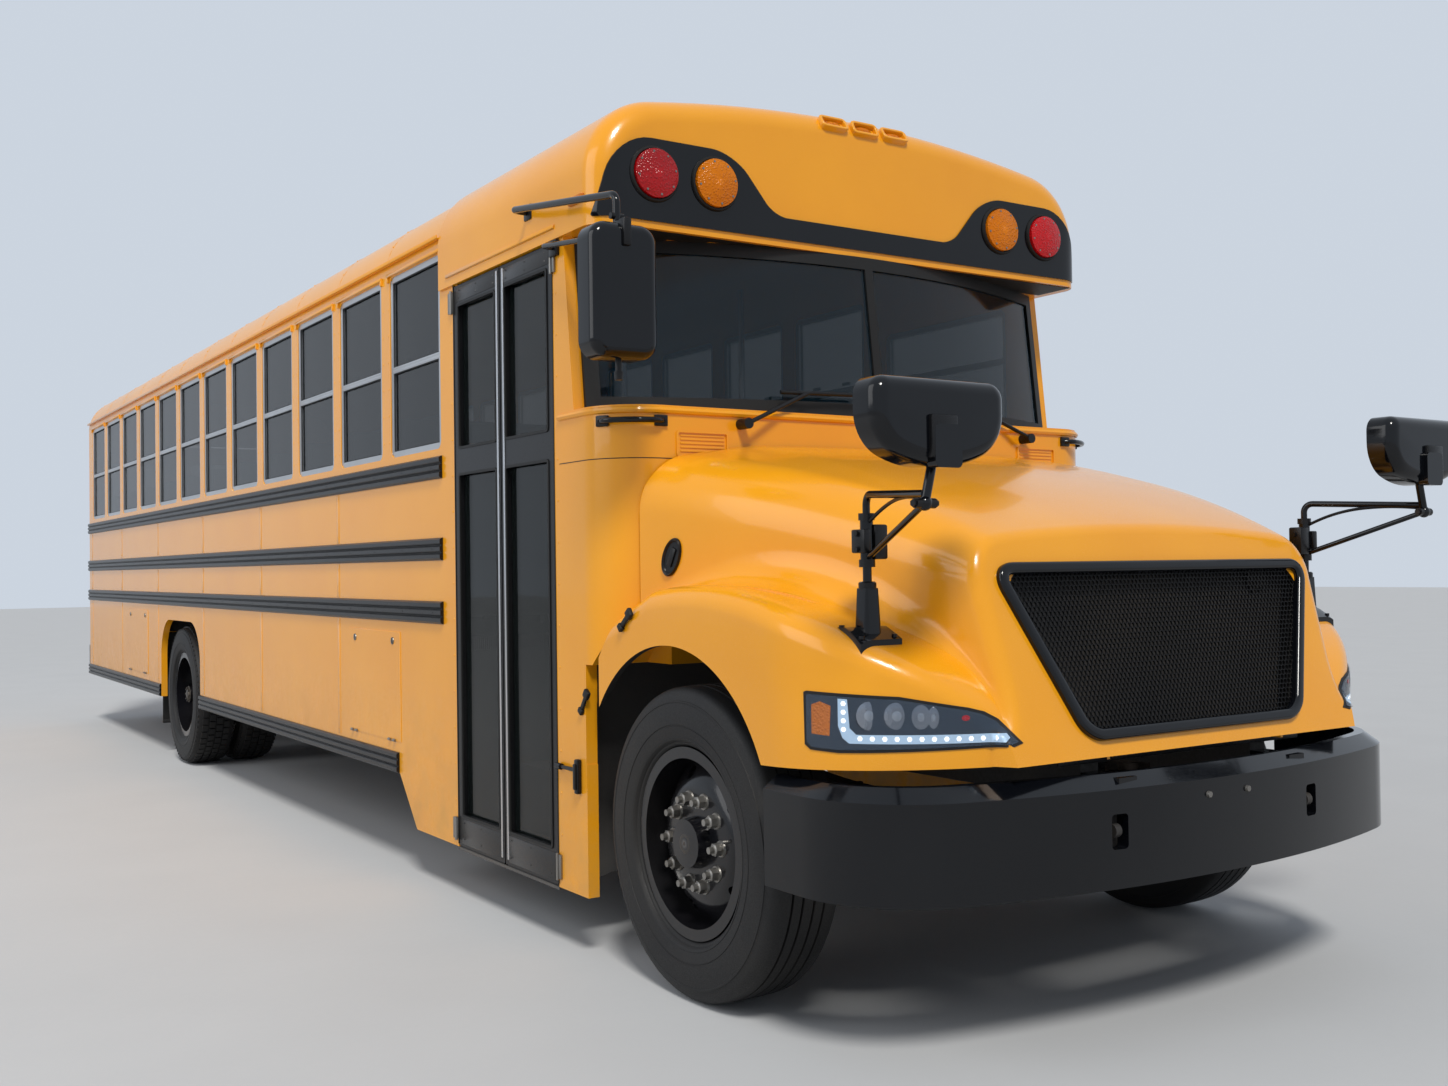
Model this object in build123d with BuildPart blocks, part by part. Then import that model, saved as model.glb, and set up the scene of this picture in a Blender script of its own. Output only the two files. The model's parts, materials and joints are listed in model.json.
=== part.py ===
"""A conventional school bus: steel body on a ladder frame, with a tilting nose ahead of the windshield.

The front of the bus faces -Y, its right side with the entry door faces -X, and +Z is up.
The origin is on the ground, at the middle of the overall length. All sizes are in millimetres.
"""

from build123d import *
from build123d import *
from math import cos, radians, sin, sqrt, tan
import os
os.makedirs("parts", exist_ok=True)

# Places along the bus
FRONT_AXLE_Y = -4940
WHEELBASE = 7112
REAR_AXLE_Y = FRONT_AXLE_Y + WHEELBASE
BODY_REAR_Y = FRONT_AXLE_Y + 10985
CAP_FRONT_Y = FRONT_AXLE_Y + 480
CAP_REAR_Y = FRONT_AXLE_Y + 1940
DOOR_FRONT_Y = FRONT_AXLE_Y + 844
DOOR_REAR_Y = FRONT_AXLE_Y + 1802

# Body shell
BODY_WIDTH = 2438
HALF = BODY_WIDTH / 2
WALL = 45
ROOF_TOP = 3190
ROOF_EDGE_Z = 3065
ROOF_CORNER_RADIUS = 300
EAVE_Z = 2825
CAP_PROUD = 12
CAP_BOTTOM_Z = 2634
CAP_NOSE_RADIUS = 100
SKIRT_Z = 453
STEP_SKIRT_Z = 222
STEP_SKIRT_REAR_Y = FRONT_AXLE_Y + 2290
SKIRT_FRONT_Y = FRONT_AXLE_Y + 2505
FLOOR_Z = 1120
FLOOR_THICK = 60

# Rear wheel arch in the side walls
REAR_ARCH_HALF = 640
REAR_ARCH_TOP_Z = 1060
REAR_ARCH_RADIUS = 300

# Side windows
WINDOW_COUNT = 12
WINDOW_PITCH = 745
WINDOW_WIDTH = 625
WINDOW_FIRST_Y = FRONT_AXLE_Y + 1955
WINDOW_SILL_Z = 1945
WINDOW_HEIGHT = 860
WINDOW_RADIUS = 40
GLASS = 6
SASH = 28
SASH_DEPTH = 30
SASH_RAIL_Z = 2360
DRIVER_WINDOW_FRONT_Y = FRONT_AXLE_Y + 900
DRIVER_WINDOW_LENGTH = 880
DRIVER_WINDOW_HEIGHT = 620

# Windshield: it follows an arc in plan and leans back
ARC_SIDE_Y = FRONT_AXLE_Y + 690
ARC_NOSE_Y = FRONT_AXLE_Y + 400
ARC_SAG = ARC_SIDE_Y - ARC_NOSE_Y
ARC_RADIUS = (HALF**2 + ARC_SAG**2) / (2 * ARC_SAG)
ARC_CENTRE_Y = ARC_NOSE_Y + ARC_RADIUS
SILL_Z = 1985
RAKE_SHIFT = 75
GASKET = 50
GASKET_DEPTH = 26
CENTRE_POST = 40

# Cowl below the windshield
COWL_FRONT_Y = FRONT_AXLE_Y + 400
COWL_CORNER_RADIUS = 210
COWL_BOTTOM_Z = FLOOR_Z - FLOOR_THICK
KICK_FRONT_Y = FRONT_AXLE_Y + 612

# Rub rails
RAIL_HEIGHT = 100
RAIL_PROUD = 16
RAIL_LEVELS = (1812, 1451, 1170)
SKIRT_RAIL_HEIGHT = 96

# Wheels
TYRE_RADIUS = 510
TYRE_WIDTH = 280
RIM_RADIUS = 286
FLANGE_RADIUS = 311
RIM_HALF_WIDTH = 114
FLANGE_THICK = 10
BARREL_THICK = 12
TYRE_SEAT_GAP = 0.3
TRACK_HALF = 1059
DUAL_OUTER_X = 1069
DUAL_SPACING = 320
KINGPIN_X = 930
HUB_RADIUS = 110
HAND_HOLE_COUNT = 5

# Nose: arch and tilt pivot
ARCH_RADIUS = 590
ARCH_CENTRE_Z = 560
NOSE_BOTTOM_Z = 841
NOSE_SKIN = 25
NOSE_GAP = 14
PIVOT_Y = FRONT_AXLE_Y - 1050
PIVOT_Z = 845
FENDER_X = 1215

# Frame rails
RAIL_OUTER_X = 432
RAIL_THICK = 75
RAIL_BOTTOM_Z = 700
RAIL_TOP_Z = 955
RAIL_FRONT_Y = FRONT_AXLE_Y - 1000
RAIL_REAR_Y = BODY_REAR_Y - 60

# Doors
DOOR_BOTTOM_Z = 229
DOOR_TOP_Z = 2628
LEAF_GAP = 10
LEAF_FRAME = 42
LEAF_GLASS_TOP_Z = 2540
LEAF_BAND_TOP_Z = 1930
LEAF_BAND_BOTTOM_Z = 1815
LEAF_KICK_Z = 360
DOOR_PIN_RADIUS = 8
DOOR_PIN_LENGTH = 30
DOOR_PIN_INSET = 12
DOOR_PIN_X = -HALF + DOOR_PIN_INSET
DOOR_PIN_PLACES = (DOOR_FRONT_Y + LEAF_GAP + DOOR_PIN_INSET, DOOR_REAR_Y - LEAF_GAP - DOOR_PIN_INSET)

# Emergency door in the rear wall
EXIT_HALF_WIDTH = 380
EXIT_BOTTOM_Z = FLOOR_Z + 10
EXIT_TOP_Z = 2700
HINGE_RADIUS = 9
HINGE_HALF = 45
HINGE_PLATE = 5
HINGE_LEVELS = (1300, 1900, 2500)
HINGE_Y = BODY_REAR_Y + HINGE_RADIUS


def front_y(x, offset=0):
    """The Y of the windshield arc at a given X, moved forward by an offset."""
    return ARC_CENTRE_Y - sqrt((ARC_RADIUS + offset) ** 2 - x**2)


def cross_plane(y):
    """A plane across the bus: sketch X is X, sketch Y is Z, and it faces the front."""
    return Plane.XZ.offset(-y)


def side_plane(x):
    """A plane along the bus: sketch X is Y, sketch Y is Z, and it faces +X."""
    return Plane.YZ.offset(x)


def body_section(y, inset, bottom):
    """The body's cross-section above a level, drawn inside the outer skin by an inset."""
    half = HALF - inset
    edge = ROOF_EDGE_Z - inset
    with BuildSketch(cross_plane(y)) as section:
        with BuildLine():
            ThreePointArc((-half, edge), (0, ROOF_TOP - inset), (half, edge))
            Polyline((half, edge), (half, SKIRT_Z), (-half, SKIRT_Z), (-half, edge))
        make_face()
        corners = [v for v in section.vertices() if abs(v.Y - edge) < 1]
        fillet(corners, ROOF_CORNER_RADIUS - inset)
        if bottom > SKIRT_Z:
            with Locations((0, (bottom + SKIRT_Z) / 2)):
                Rectangle(3 * half, bottom - SKIRT_Z, mode=Mode.SUBTRACT)
    return section.sketch


def arc_band(z, front_offset, back_offset, inner_x, outer_x):
    """A plan strip of the windshield arc between two offsets and two distances from the middle."""
    with BuildSketch(Plane.XY.offset(z)) as band:
        with BuildLine():
            middle = (inner_x + outer_x) / 2
            ThreePointArc(
                (inner_x, front_y(inner_x, front_offset)),
                (middle, front_y(middle, front_offset)),
                (outer_x, front_y(outer_x, front_offset)),
            )
            Line((outer_x, front_y(outer_x, front_offset)), (outer_x, front_y(outer_x, back_offset)))
            ThreePointArc(
                (outer_x, front_y(outer_x, back_offset)),
                (middle, front_y(middle, back_offset)),
                (inner_x, front_y(inner_x, back_offset)),
            )
            Line((inner_x, front_y(inner_x, back_offset)), (inner_x, front_y(inner_x, front_offset)))
        make_face()
    return band.sketch


def tube(points, bend, radius):
    """A round bar along straight runs joined by bends."""
    with BuildPart() as bar:
        with BuildLine() as path:
            if len(points) > 2:
                FilletPolyline(*points, radius=bend)
            else:
                Line(*points)
        with BuildSketch(Plane(origin=path.line @ 0, z_dir=path.line % 0)):
            Circle(radius)
        sweep()
    return bar.part


def save(part, label):
    """Names a finished piece and writes it as one file."""
    part.label = label
    export_step(part, f"parts/{label}.step")


# Chassis frame: two rails, cross members, leaf springs and the tilt hinge brackets
CROSS_HEIGHT = 150
CROSS_WIDTH = 90
CROSS_PLACES = (-560, 250, 1500, 3000, 4500, 6100, 8150, 9500, 10700)
SPRING_X = RAIL_OUTER_X - RAIL_THICK / 2
SPRING_WIDTH = 72
SPRING_THICK = 52
SPRING_HALF_LENGTH = 680
HANGER_WIDTH = 90
FRONT_SPRING_PAD_Z = 560
REAR_SPRING_PAD_Z = 600
BRACKET_X = RAIL_OUTER_X - 42
BRACKET_THICK = 12
BRACKET_RADIUS = 14
PIN_RADIUS = 8
PIN_CLEAR = 0.5
# Each row: axle place, height of the spring's underside at its middle
SPRING_ROWS = (
    (FRONT_AXLE_Y, FRONT_SPRING_PAD_Z),
    (REAR_AXLE_Y, REAR_SPRING_PAD_Z),
)

with BuildPart() as chassis_frame:
    for side in (-1, 1):
        with Locations((side * SPRING_X, (RAIL_FRONT_Y + RAIL_REAR_Y) / 2, (RAIL_BOTTOM_Z + RAIL_TOP_Z) / 2)):
            Box(RAIL_THICK, RAIL_REAR_Y - RAIL_FRONT_Y, RAIL_TOP_Z - RAIL_BOTTOM_Z)
    for place in CROSS_PLACES:
        with Locations((0, FRONT_AXLE_Y + place, RAIL_TOP_Z - CROSS_HEIGHT / 2)):
            Box(2 * SPRING_X, CROSS_WIDTH, CROSS_HEIGHT)
    for axle_y, pad_z in SPRING_ROWS:
        for side in (-1, 1):
            start_x = side * SPRING_X - SPRING_WIDTH / 2
            with BuildSketch(side_plane(start_x)):
                with BuildLine():
                    end_z = RAIL_BOTTOM_Z - SPRING_THICK
                    ThreePointArc(
                        (axle_y - SPRING_HALF_LENGTH, end_z),
                        (axle_y, pad_z),
                        (axle_y + SPRING_HALF_LENGTH, end_z),
                    )
                    Line(
                        (axle_y + SPRING_HALF_LENGTH, end_z),
                        (axle_y + SPRING_HALF_LENGTH, end_z + SPRING_THICK),
                    )
                    ThreePointArc(
                        (axle_y + SPRING_HALF_LENGTH, end_z + SPRING_THICK),
                        (axle_y, pad_z + SPRING_THICK),
                        (axle_y - SPRING_HALF_LENGTH, end_z + SPRING_THICK),
                    )
                    Line(
                        (axle_y - SPRING_HALF_LENGTH, end_z + SPRING_THICK),
                        (axle_y - SPRING_HALF_LENGTH, end_z),
                    )
                make_face()
                with Locations((axle_y, pad_z + SPRING_THICK / 2)):
                    Rectangle(HANGER_WIDTH, SPRING_THICK)
                with Locations(
                    (axle_y - SPRING_HALF_LENGTH + HANGER_WIDTH / 2, RAIL_BOTTOM_Z - SPRING_THICK / 2),
                    (axle_y + SPRING_HALF_LENGTH - HANGER_WIDTH / 2, RAIL_BOTTOM_Z - SPRING_THICK / 2),
                ):
                    Rectangle(HANGER_WIDTH, SPRING_THICK)
            extrude(amount=SPRING_WIDTH)
    for side in (-1, 1):
        with BuildSketch(side_plane(side * BRACKET_X - BRACKET_THICK / 2)):
            with Locations((PIVOT_Y, PIVOT_Z)):
                Circle(BRACKET_RADIUS)
            with Locations(((PIVOT_Y + RAIL_FRONT_Y + 20) / 2, PIVOT_Z)):
                Rectangle(RAIL_FRONT_Y + 20 - PIVOT_Y, 2 * BRACKET_RADIUS)
        extrude(amount=BRACKET_THICK)
        with BuildSketch(side_plane(side * BRACKET_X)):
            with Locations((PIVOT_Y, PIVOT_Z)):
                Circle(PIN_RADIUS)
        extrude(amount=side * (BRACKET_THICK / 2 + 22))
save(chassis_frame.part, "chassis_frame")

# Front axle: dropped beam with kingpin eyes and spring seats
BEAM_DEPTH = 100
EYE_RADIUS = 45
EYE_HALF_HEIGHT = 80
PIN_HOLE = 22.5
AXLE_Z = TYRE_RADIUS
BEAM_LOW_Z = 385
BEAM_TOP_Z = 475
BEAM_RISE = 80

with BuildPart() as front_axle:
    with BuildSketch(cross_plane(FRONT_AXLE_Y + BEAM_DEPTH / 2)):
        with BuildLine():
            Polyline(
                (0, BEAM_LOW_Z), (620, BEAM_LOW_Z), (780, BEAM_LOW_Z + BEAM_RISE),
                (KINGPIN_X - 30, BEAM_LOW_Z + BEAM_RISE), (KINGPIN_X - 30, BEAM_TOP_Z + BEAM_RISE),
                (750, BEAM_TOP_Z + BEAM_RISE), (600, BEAM_TOP_Z), (0, BEAM_TOP_Z), close=True,
            )
        make_face()
        mirror(about=Plane.YZ)
    extrude(amount=BEAM_DEPTH)
    for side in (-1, 1):
        with Locations((side * KINGPIN_X, FRONT_AXLE_Y, AXLE_Z)):
            Cylinder(EYE_RADIUS, 2 * EYE_HALF_HEIGHT)
        with Locations((side * SPRING_X, FRONT_AXLE_Y, (BEAM_TOP_Z - 5 + FRONT_SPRING_PAD_Z) / 2)):
            Box(SPRING_WIDTH, HANGER_WIDTH, FRONT_SPRING_PAD_Z - BEAM_TOP_Z + 5)
    for side in (-1, 1):
        with Locations((side * KINGPIN_X, FRONT_AXLE_Y, AXLE_Z)):
            Cylinder(PIN_HOLE, 2 * EYE_HALF_HEIGHT + 2, mode=Mode.SUBTRACT)
save(front_axle.part, "front_axle")

# Rear axle: banjo housing, tubes, spring seats, brake plates and spindles
AXLE_TUBE_RADIUS = 65
AXLE_TUBE_HALF = 745
BANJO_RADIUS = 205
BANJO_HALF = 110
PINION_RADIUS = 95
PINION_LENGTH = 320
BRAKE_RADIUS = 195
BRAKE_X = 690
BRAKE_THICK = 45
SPINDLE_RADIUS = 45
SPINDLE_END_X = 875
with BuildPart() as rear_axle:
    with BuildSketch(Plane.YZ):
        with Locations((REAR_AXLE_Y, AXLE_Z)):
            Circle(AXLE_TUBE_RADIUS)
    extrude(amount=AXLE_TUBE_HALF, both=True)
    with BuildSketch(Plane.YZ):
        with Locations((REAR_AXLE_Y, AXLE_Z)):
            Circle(BANJO_RADIUS)
    extrude(amount=BANJO_HALF, both=True)
    with BuildSketch(Plane.XZ.offset(-REAR_AXLE_Y)):
        with Locations((0, AXLE_Z)):
            Circle(PINION_RADIUS)
    extrude(amount=PINION_LENGTH)
    for side in (-1, 1):
        with BuildSketch(side_plane(side * BRAKE_X)):
            with Locations((REAR_AXLE_Y, AXLE_Z)):
                Circle(BRAKE_RADIUS)
        extrude(amount=side * BRAKE_THICK)
        with BuildSketch(side_plane(side * (BRAKE_X + 10))):
            with Locations((REAR_AXLE_Y, AXLE_Z)):
                Circle(SPINDLE_RADIUS)
        extrude(amount=side * (SPINDLE_END_X - BRAKE_X - 10))
        with Locations((side * SPRING_X, REAR_AXLE_Y, (AXLE_Z + REAR_SPRING_PAD_Z) / 2)):
            Box(SPRING_WIDTH, HANGER_WIDTH, REAR_SPRING_PAD_Z - AXLE_Z)
save(rear_axle.part, "rear_axle")
# Drive shaft from the gearbox tail to the axle nose
SHAFT_RADIUS = 45
SHAFT_FRONT_Y = FRONT_AXLE_Y + 650
SHAFT_MIDDLE_Y = FRONT_AXLE_Y + 3600
SHAFT_Z = 700
PINION_Y = REAR_AXLE_Y - PINION_LENGTH
SHAFT_POINTS = (
    (0, SHAFT_FRONT_Y, SHAFT_Z),
    (0, SHAFT_MIDDLE_Y, SHAFT_Z),
    (0, PINION_Y - 400, AXLE_Z),
    (0, PINION_Y, AXLE_Z),
)
save(tube(SHAFT_POINTS, 1500, SHAFT_RADIUS), "drive_shaft")

# Engine: one plain block on the front cross members, with the gearbox behind it
ENGINE_HALF_WIDTH = 300
ENGINE_TOP_Z = 1480
ENGINE_LENGTH = 1000
ENGINE_Y = FRONT_AXLE_Y - 230
SUMP_WIDTH = 400
SUMP_LENGTH = 520
SUMP_LOW_Z = 750
GEARBOX_RADIUS = 95
GEARBOX_LENGTH = 700
with BuildPart() as engine_block:
    with Locations((0, ENGINE_Y, (RAIL_TOP_Z + ENGINE_TOP_Z) / 2)):
        Box(2 * ENGINE_HALF_WIDTH, ENGINE_LENGTH, ENGINE_TOP_Z - RAIL_TOP_Z)
    with Locations((0, FRONT_AXLE_Y - 100, (SUMP_LOW_Z + RAIL_TOP_Z + 35) / 2)):
        Box(SUMP_WIDTH, SUMP_LENGTH, RAIL_TOP_Z + 35 - SUMP_LOW_Z)
    with BuildSketch(cross_plane(SHAFT_FRONT_Y)):
        with Locations((0, SHAFT_Z)):
            Circle(GEARBOX_RADIUS)
    extrude(amount=GEARBOX_LENGTH)
save(engine_block.part, "engine_block")

# Radiator behind the grille, standing on the front cross member
RADIATOR_FRONT_Y = FRONT_AXLE_Y - 890
RADIATOR_DEPTH = 90
RADIATOR_TOP_Z = 1330
RADIATOR_HALF = 600
with BuildPart() as radiator:
    with Locations((0, RADIATOR_FRONT_Y + RADIATOR_DEPTH / 2, (RAIL_TOP_Z + RADIATOR_TOP_Z) / 2)):
        Box(2 * RADIATOR_HALF, RADIATOR_DEPTH, RADIATOR_TOP_Z - RAIL_TOP_Z)
save(radiator.part, "radiator")

# Fuel tank on the right rail, behind the entrance
TANK_FRONT_Y = FRONT_AXLE_Y + 2700
TANK_LENGTH = 1400
TANK_WIDTH = 620
TANK_LOW_Z = 500
TANK_HIGH_Z = 940
TANK_ROUND = 60
with BuildPart() as fuel_tank:
    tank_x = -RAIL_OUTER_X - TANK_WIDTH / 2
    with Locations((tank_x, TANK_FRONT_Y + TANK_LENGTH / 2, (TANK_LOW_Z + TANK_HIGH_Z) / 2)):
        Box(TANK_WIDTH, TANK_LENGTH, TANK_HIGH_Z - TANK_LOW_Z)
    fillet(fuel_tank.edges().filter_by(Axis.Y), TANK_ROUND)
save(fuel_tank.part, "fuel_tank")

# Floor with its cross bows, and the raised front part beside the steps
STEP_INNER_X = -445
BOW_WIDTH = 60
BOW_HEIGHT = COWL_BOTTOM_Z - RAIL_TOP_Z
BOW_PITCH = 745
BOW_COUNT = 13
FLOOR_REAR_Y = BODY_REAR_Y - WALL
FLOOR_HALF = HALF - WALL
with BuildPart() as floor:
    with Locations((0, (DOOR_REAR_Y + FLOOR_REAR_Y) / 2, FLOOR_Z - FLOOR_THICK / 2)):
        Box(2 * FLOOR_HALF, FLOOR_REAR_Y - DOOR_REAR_Y, FLOOR_THICK)
    front_width = FLOOR_HALF - STEP_INNER_X
    with Locations(
        (FLOOR_HALF - front_width / 2, (DOOR_FRONT_Y + DOOR_REAR_Y) / 2, FLOOR_Z - FLOOR_THICK / 2)
    ):
        Box(front_width, DOOR_REAR_Y - DOOR_FRONT_Y, FLOOR_THICK)
    for i in range(BOW_COUNT):
        bow_y = WINDOW_FIRST_Y - 30 + i * BOW_PITCH
        reach = FLOOR_HALF
        if abs(bow_y - REAR_AXLE_Y) < REAR_ARCH_HALF:
            reach = RAIL_OUTER_X + 80
        with Locations((0, bow_y, COWL_BOTTOM_Z - BOW_HEIGHT / 2)):
            Box(2 * reach, BOW_WIDTH, BOW_HEIGHT)
save(floor.part, "floor")

# Entrance steps: three treads folded from sheet, closed by a plate at each end
STEP_COUNT = 3
STEP_SHEET = 12
STEP_OUTER_X = -(HALF - WALL - 4)
STEP_BOTTOM_Z = 275
DOOR_SILL_Z = STEP_SKIRT_Z
SILL_PLATE = 90
STEP_RISE = (FLOOR_Z - STEP_BOTTOM_Z) / STEP_COUNT
STEP_RUN = (STEP_INNER_X - STEP_OUTER_X) / STEP_COUNT
with BuildPart() as entrance_steps:
    with BuildSketch(cross_plane(DOOR_REAR_Y - 2)):
        for i in range(STEP_COUNT):
            tread_z = STEP_BOTTOM_Z + i * STEP_RISE
            left = STEP_OUTER_X + i * STEP_RUN
            with Locations((left + STEP_RUN / 2, tread_z - STEP_SHEET / 2)):
                Rectangle(STEP_RUN, STEP_SHEET)
            with Locations((left + STEP_RUN - STEP_SHEET / 2, tread_z + (STEP_RISE - STEP_SHEET) / 2)):
                Rectangle(STEP_SHEET, STEP_RISE + STEP_SHEET)
    extrude(amount=DOOR_REAR_Y - DOOR_FRONT_Y - 4)
    for end_y in (DOOR_REAR_Y - 2, DOOR_FRONT_Y + 2 + STEP_SHEET):
        with BuildSketch(cross_plane(end_y)):
            with BuildLine():
                Polyline(
                    (STEP_OUTER_X, DOOR_SILL_Z - STEP_SHEET),
                    (STEP_OUTER_X, FLOOR_Z - FLOOR_THICK),
                    (STEP_INNER_X, FLOOR_Z - FLOOR_THICK),
                    (STEP_INNER_X, STEP_BOTTOM_Z + 2 * STEP_RISE - STEP_SHEET),
                    (STEP_OUTER_X + STEP_RUN, STEP_BOTTOM_Z - STEP_SHEET),
                    close=True,
                )
            make_face()
        extrude(amount=STEP_SHEET)
    with Locations((-HALF + SILL_PLATE / 2, (DOOR_FRONT_Y + DOOR_REAR_Y) / 2, DOOR_SILL_Z - STEP_SHEET / 2)):
        Box(SILL_PLATE, DOOR_REAR_Y - DOOR_FRONT_Y - 4, STEP_SHEET)
    for pin_y in DOOR_PIN_PLACES:
        with BuildSketch(Plane.XY.offset(DOOR_SILL_Z - STEP_SHEET)):
            with Locations((DOOR_PIN_X, pin_y)):
                Circle(DOOR_PIN_RADIUS)
        extrude(amount=STEP_SHEET + DOOR_PIN_LENGTH + 6)
save(entrance_steps.part, "entrance_steps")
def wall_sketch(x, front_low):
    """The side wall seen from the side: skirt, jog, rear arch and eave."""
    with BuildSketch(side_plane(x)) as wall:
        with BuildLine():
            Polyline(
                (front_low, STEP_SKIRT_Z),
                (STEP_SKIRT_REAR_Y, STEP_SKIRT_Z),
                (SKIRT_FRONT_Y, SKIRT_Z),
                (FLOOR_REAR_Y, SKIRT_Z),
                (FLOOR_REAR_Y, EAVE_Z),
                (CAP_REAR_Y, EAVE_Z),
                (CAP_REAR_Y, CAP_BOTTOM_Z),
                (front_low, CAP_BOTTOM_Z),
                close=True,
            )
        make_face()
        arch_height = REAR_ARCH_TOP_Z - SKIRT_Z + REAR_ARCH_RADIUS
        with Locations((REAR_AXLE_Y, REAR_ARCH_TOP_Z - arch_height / 2)):
            RectangleRounded(2 * REAR_ARCH_HALF, arch_height, REAR_ARCH_RADIUS - 1, mode=Mode.SUBTRACT)
        for i in range(WINDOW_COUNT):
            with Locations(
                (WINDOW_FIRST_Y + WINDOW_WIDTH / 2 + i * WINDOW_PITCH, WINDOW_SILL_Z + WINDOW_HEIGHT / 2)
            ):
                RectangleRounded(WINDOW_WIDTH, WINDOW_HEIGHT, WINDOW_RADIUS, mode=Mode.SUBTRACT)
    return wall.sketch


# Side walls
with BuildPart() as right_wall:
    extrude(wall_sketch(-HALF, DOOR_REAR_Y), amount=WALL)
save(right_wall.part, "right_wall")

DRIVER_WINDOW_Y = DRIVER_WINDOW_FRONT_Y + DRIVER_WINDOW_LENGTH / 2
DRIVER_WINDOW_Z = SILL_Z + DRIVER_WINDOW_HEIGHT / 2
with BuildPart() as left_wall:
    extrude(wall_sketch(HALF - WALL, DOOR_FRONT_Y), amount=WALL)
    with BuildSketch(side_plane(HALF - WALL)):
        with Locations((DRIVER_WINDOW_Y, DRIVER_WINDOW_Z)):
            RectangleRounded(DRIVER_WINDOW_LENGTH, DRIVER_WINDOW_HEIGHT, WINDOW_RADIUS)
    extrude(amount=WALL, mode=Mode.SUBTRACT)
save(left_wall.part, "left_wall")

# Window frames and panes: each row holds a side, an opening's middle, its size and its rail height
SASH_OUTER_X = HALF - 5
SASH_MIDDLE_X = SASH_OUTER_X - SASH_DEPTH / 2
window_rows = [
    (side, WINDOW_FIRST_Y + WINDOW_WIDTH / 2 + i * WINDOW_PITCH, WINDOW_WIDTH, WINDOW_SILL_Z, WINDOW_HEIGHT)
    for side in (-1, 1)
    for i in range(WINDOW_COUNT)
]
window_rows.append((1, DRIVER_WINDOW_Y, DRIVER_WINDOW_LENGTH, SILL_Z, DRIVER_WINDOW_HEIGHT))

EXIT_GLASS_HALF = 270
# Each row: middle X, bottom Z, width, height of a pane opening in the fixed rear wall
REAR_PANES = (
    (-800, 1945, 460, 560),
    (800, 1945, 460, 560),
)

with BuildPart() as window_frames:
    for side, middle_y, width, sill, height in window_rows:
        with BuildSketch(side_plane(side * SASH_MIDDLE_X - SASH_DEPTH / 2)):
            with Locations((middle_y, sill + height / 2)):
                RectangleRounded(width, height, WINDOW_RADIUS)
                Rectangle(width - 2 * SASH, height - 2 * SASH, mode=Mode.SUBTRACT)
            with Locations((middle_y, SASH_RAIL_Z)):
                Rectangle(width - 2 * SASH, SASH)
        extrude(amount=SASH_DEPTH)
    for middle_x, bottom, width, height in REAR_PANES:
        with BuildSketch(cross_plane(BODY_REAR_Y - 5)):
            with Locations((middle_x, bottom + height / 2)):
                RectangleRounded(width, height, WINDOW_RADIUS)
                Rectangle(width - 2 * SASH, height - 2 * SASH, mode=Mode.SUBTRACT)
        extrude(amount=SASH_DEPTH)
save(window_frames.part, "window_frames")

with BuildPart() as side_glass:
    for side, middle_y, width, sill, height in window_rows:
        low = sill + SASH
        high = sill + height - SASH
        for bottom, top in ((low, SASH_RAIL_Z - SASH / 2), (SASH_RAIL_Z + SASH / 2, high)):
            with Locations((side * SASH_MIDDLE_X, middle_y, (bottom + top) / 2)):
                Box(GLASS, width - 2 * SASH, top - bottom)
    for middle_x, bottom, width, height in REAR_PANES:
        with Locations((middle_x, BODY_REAR_Y - 5 - SASH_DEPTH / 2, bottom + height / 2)):
            Box(width - 2 * SASH, GLASS, height - 2 * SASH)
save(side_glass.part, "side_glass")

# Roof shell
with BuildPart() as roof:
    extrude(body_section(FLOOR_REAR_Y, 0, EAVE_Z), amount=FLOOR_REAR_Y - CAP_REAR_Y)
    extrude(body_section(FLOOR_REAR_Y, WALL, EAVE_Z), amount=FLOOR_REAR_Y - CAP_REAR_Y, mode=Mode.SUBTRACT)
save(roof.part, "roof")

# Rear wall with its emergency door opening, panes and hinge halves
with BuildPart() as rear_wall:
    extrude(body_section(BODY_REAR_Y, 0, SKIRT_Z), amount=WALL)
    with BuildSketch(cross_plane(BODY_REAR_Y)):
        with Locations((0, (EXIT_BOTTOM_Z + EXIT_TOP_Z) / 2)):
            Rectangle(2 * EXIT_HALF_WIDTH, EXIT_TOP_Z - EXIT_BOTTOM_Z)
        for middle_x, bottom, width, height in REAR_PANES:
            with Locations((middle_x, bottom + height / 2)):
                RectangleRounded(width, height, WINDOW_RADIUS)
    extrude(amount=WALL, mode=Mode.SUBTRACT)
    for level in HINGE_LEVELS:
        with Locations((-EXIT_HALF_WIDTH, HINGE_Y, level - HINGE_HALF / 2)):
            Cylinder(HINGE_RADIUS, HINGE_HALF)
        with Locations((-EXIT_HALF_WIDTH - 30, BODY_REAR_Y + HINGE_PLATE / 2, level - HINGE_HALF / 2)):
            Box(60, HINGE_PLATE, HINGE_HALF)
save(rear_wall.part, "rear_wall")

# Front cap: the rounded header over the windshield and the entry door


def cap_block(grow, bottom):
    """The cap's outer form as a full block, grown outwards by a thickness."""
    with BuildPart() as block:
        extrude(body_section(CAP_REAR_Y, -CAP_PROUD - grow, bottom), amount=CAP_REAR_Y - CAP_FRONT_Y + grow)
        rim = block.faces().sort_by(Axis.Y)[0].edges()
        fillet([e for e in rim if e.center().Z > bottom + 1], CAP_NOSE_RADIUS + grow)
    return block.part


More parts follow.
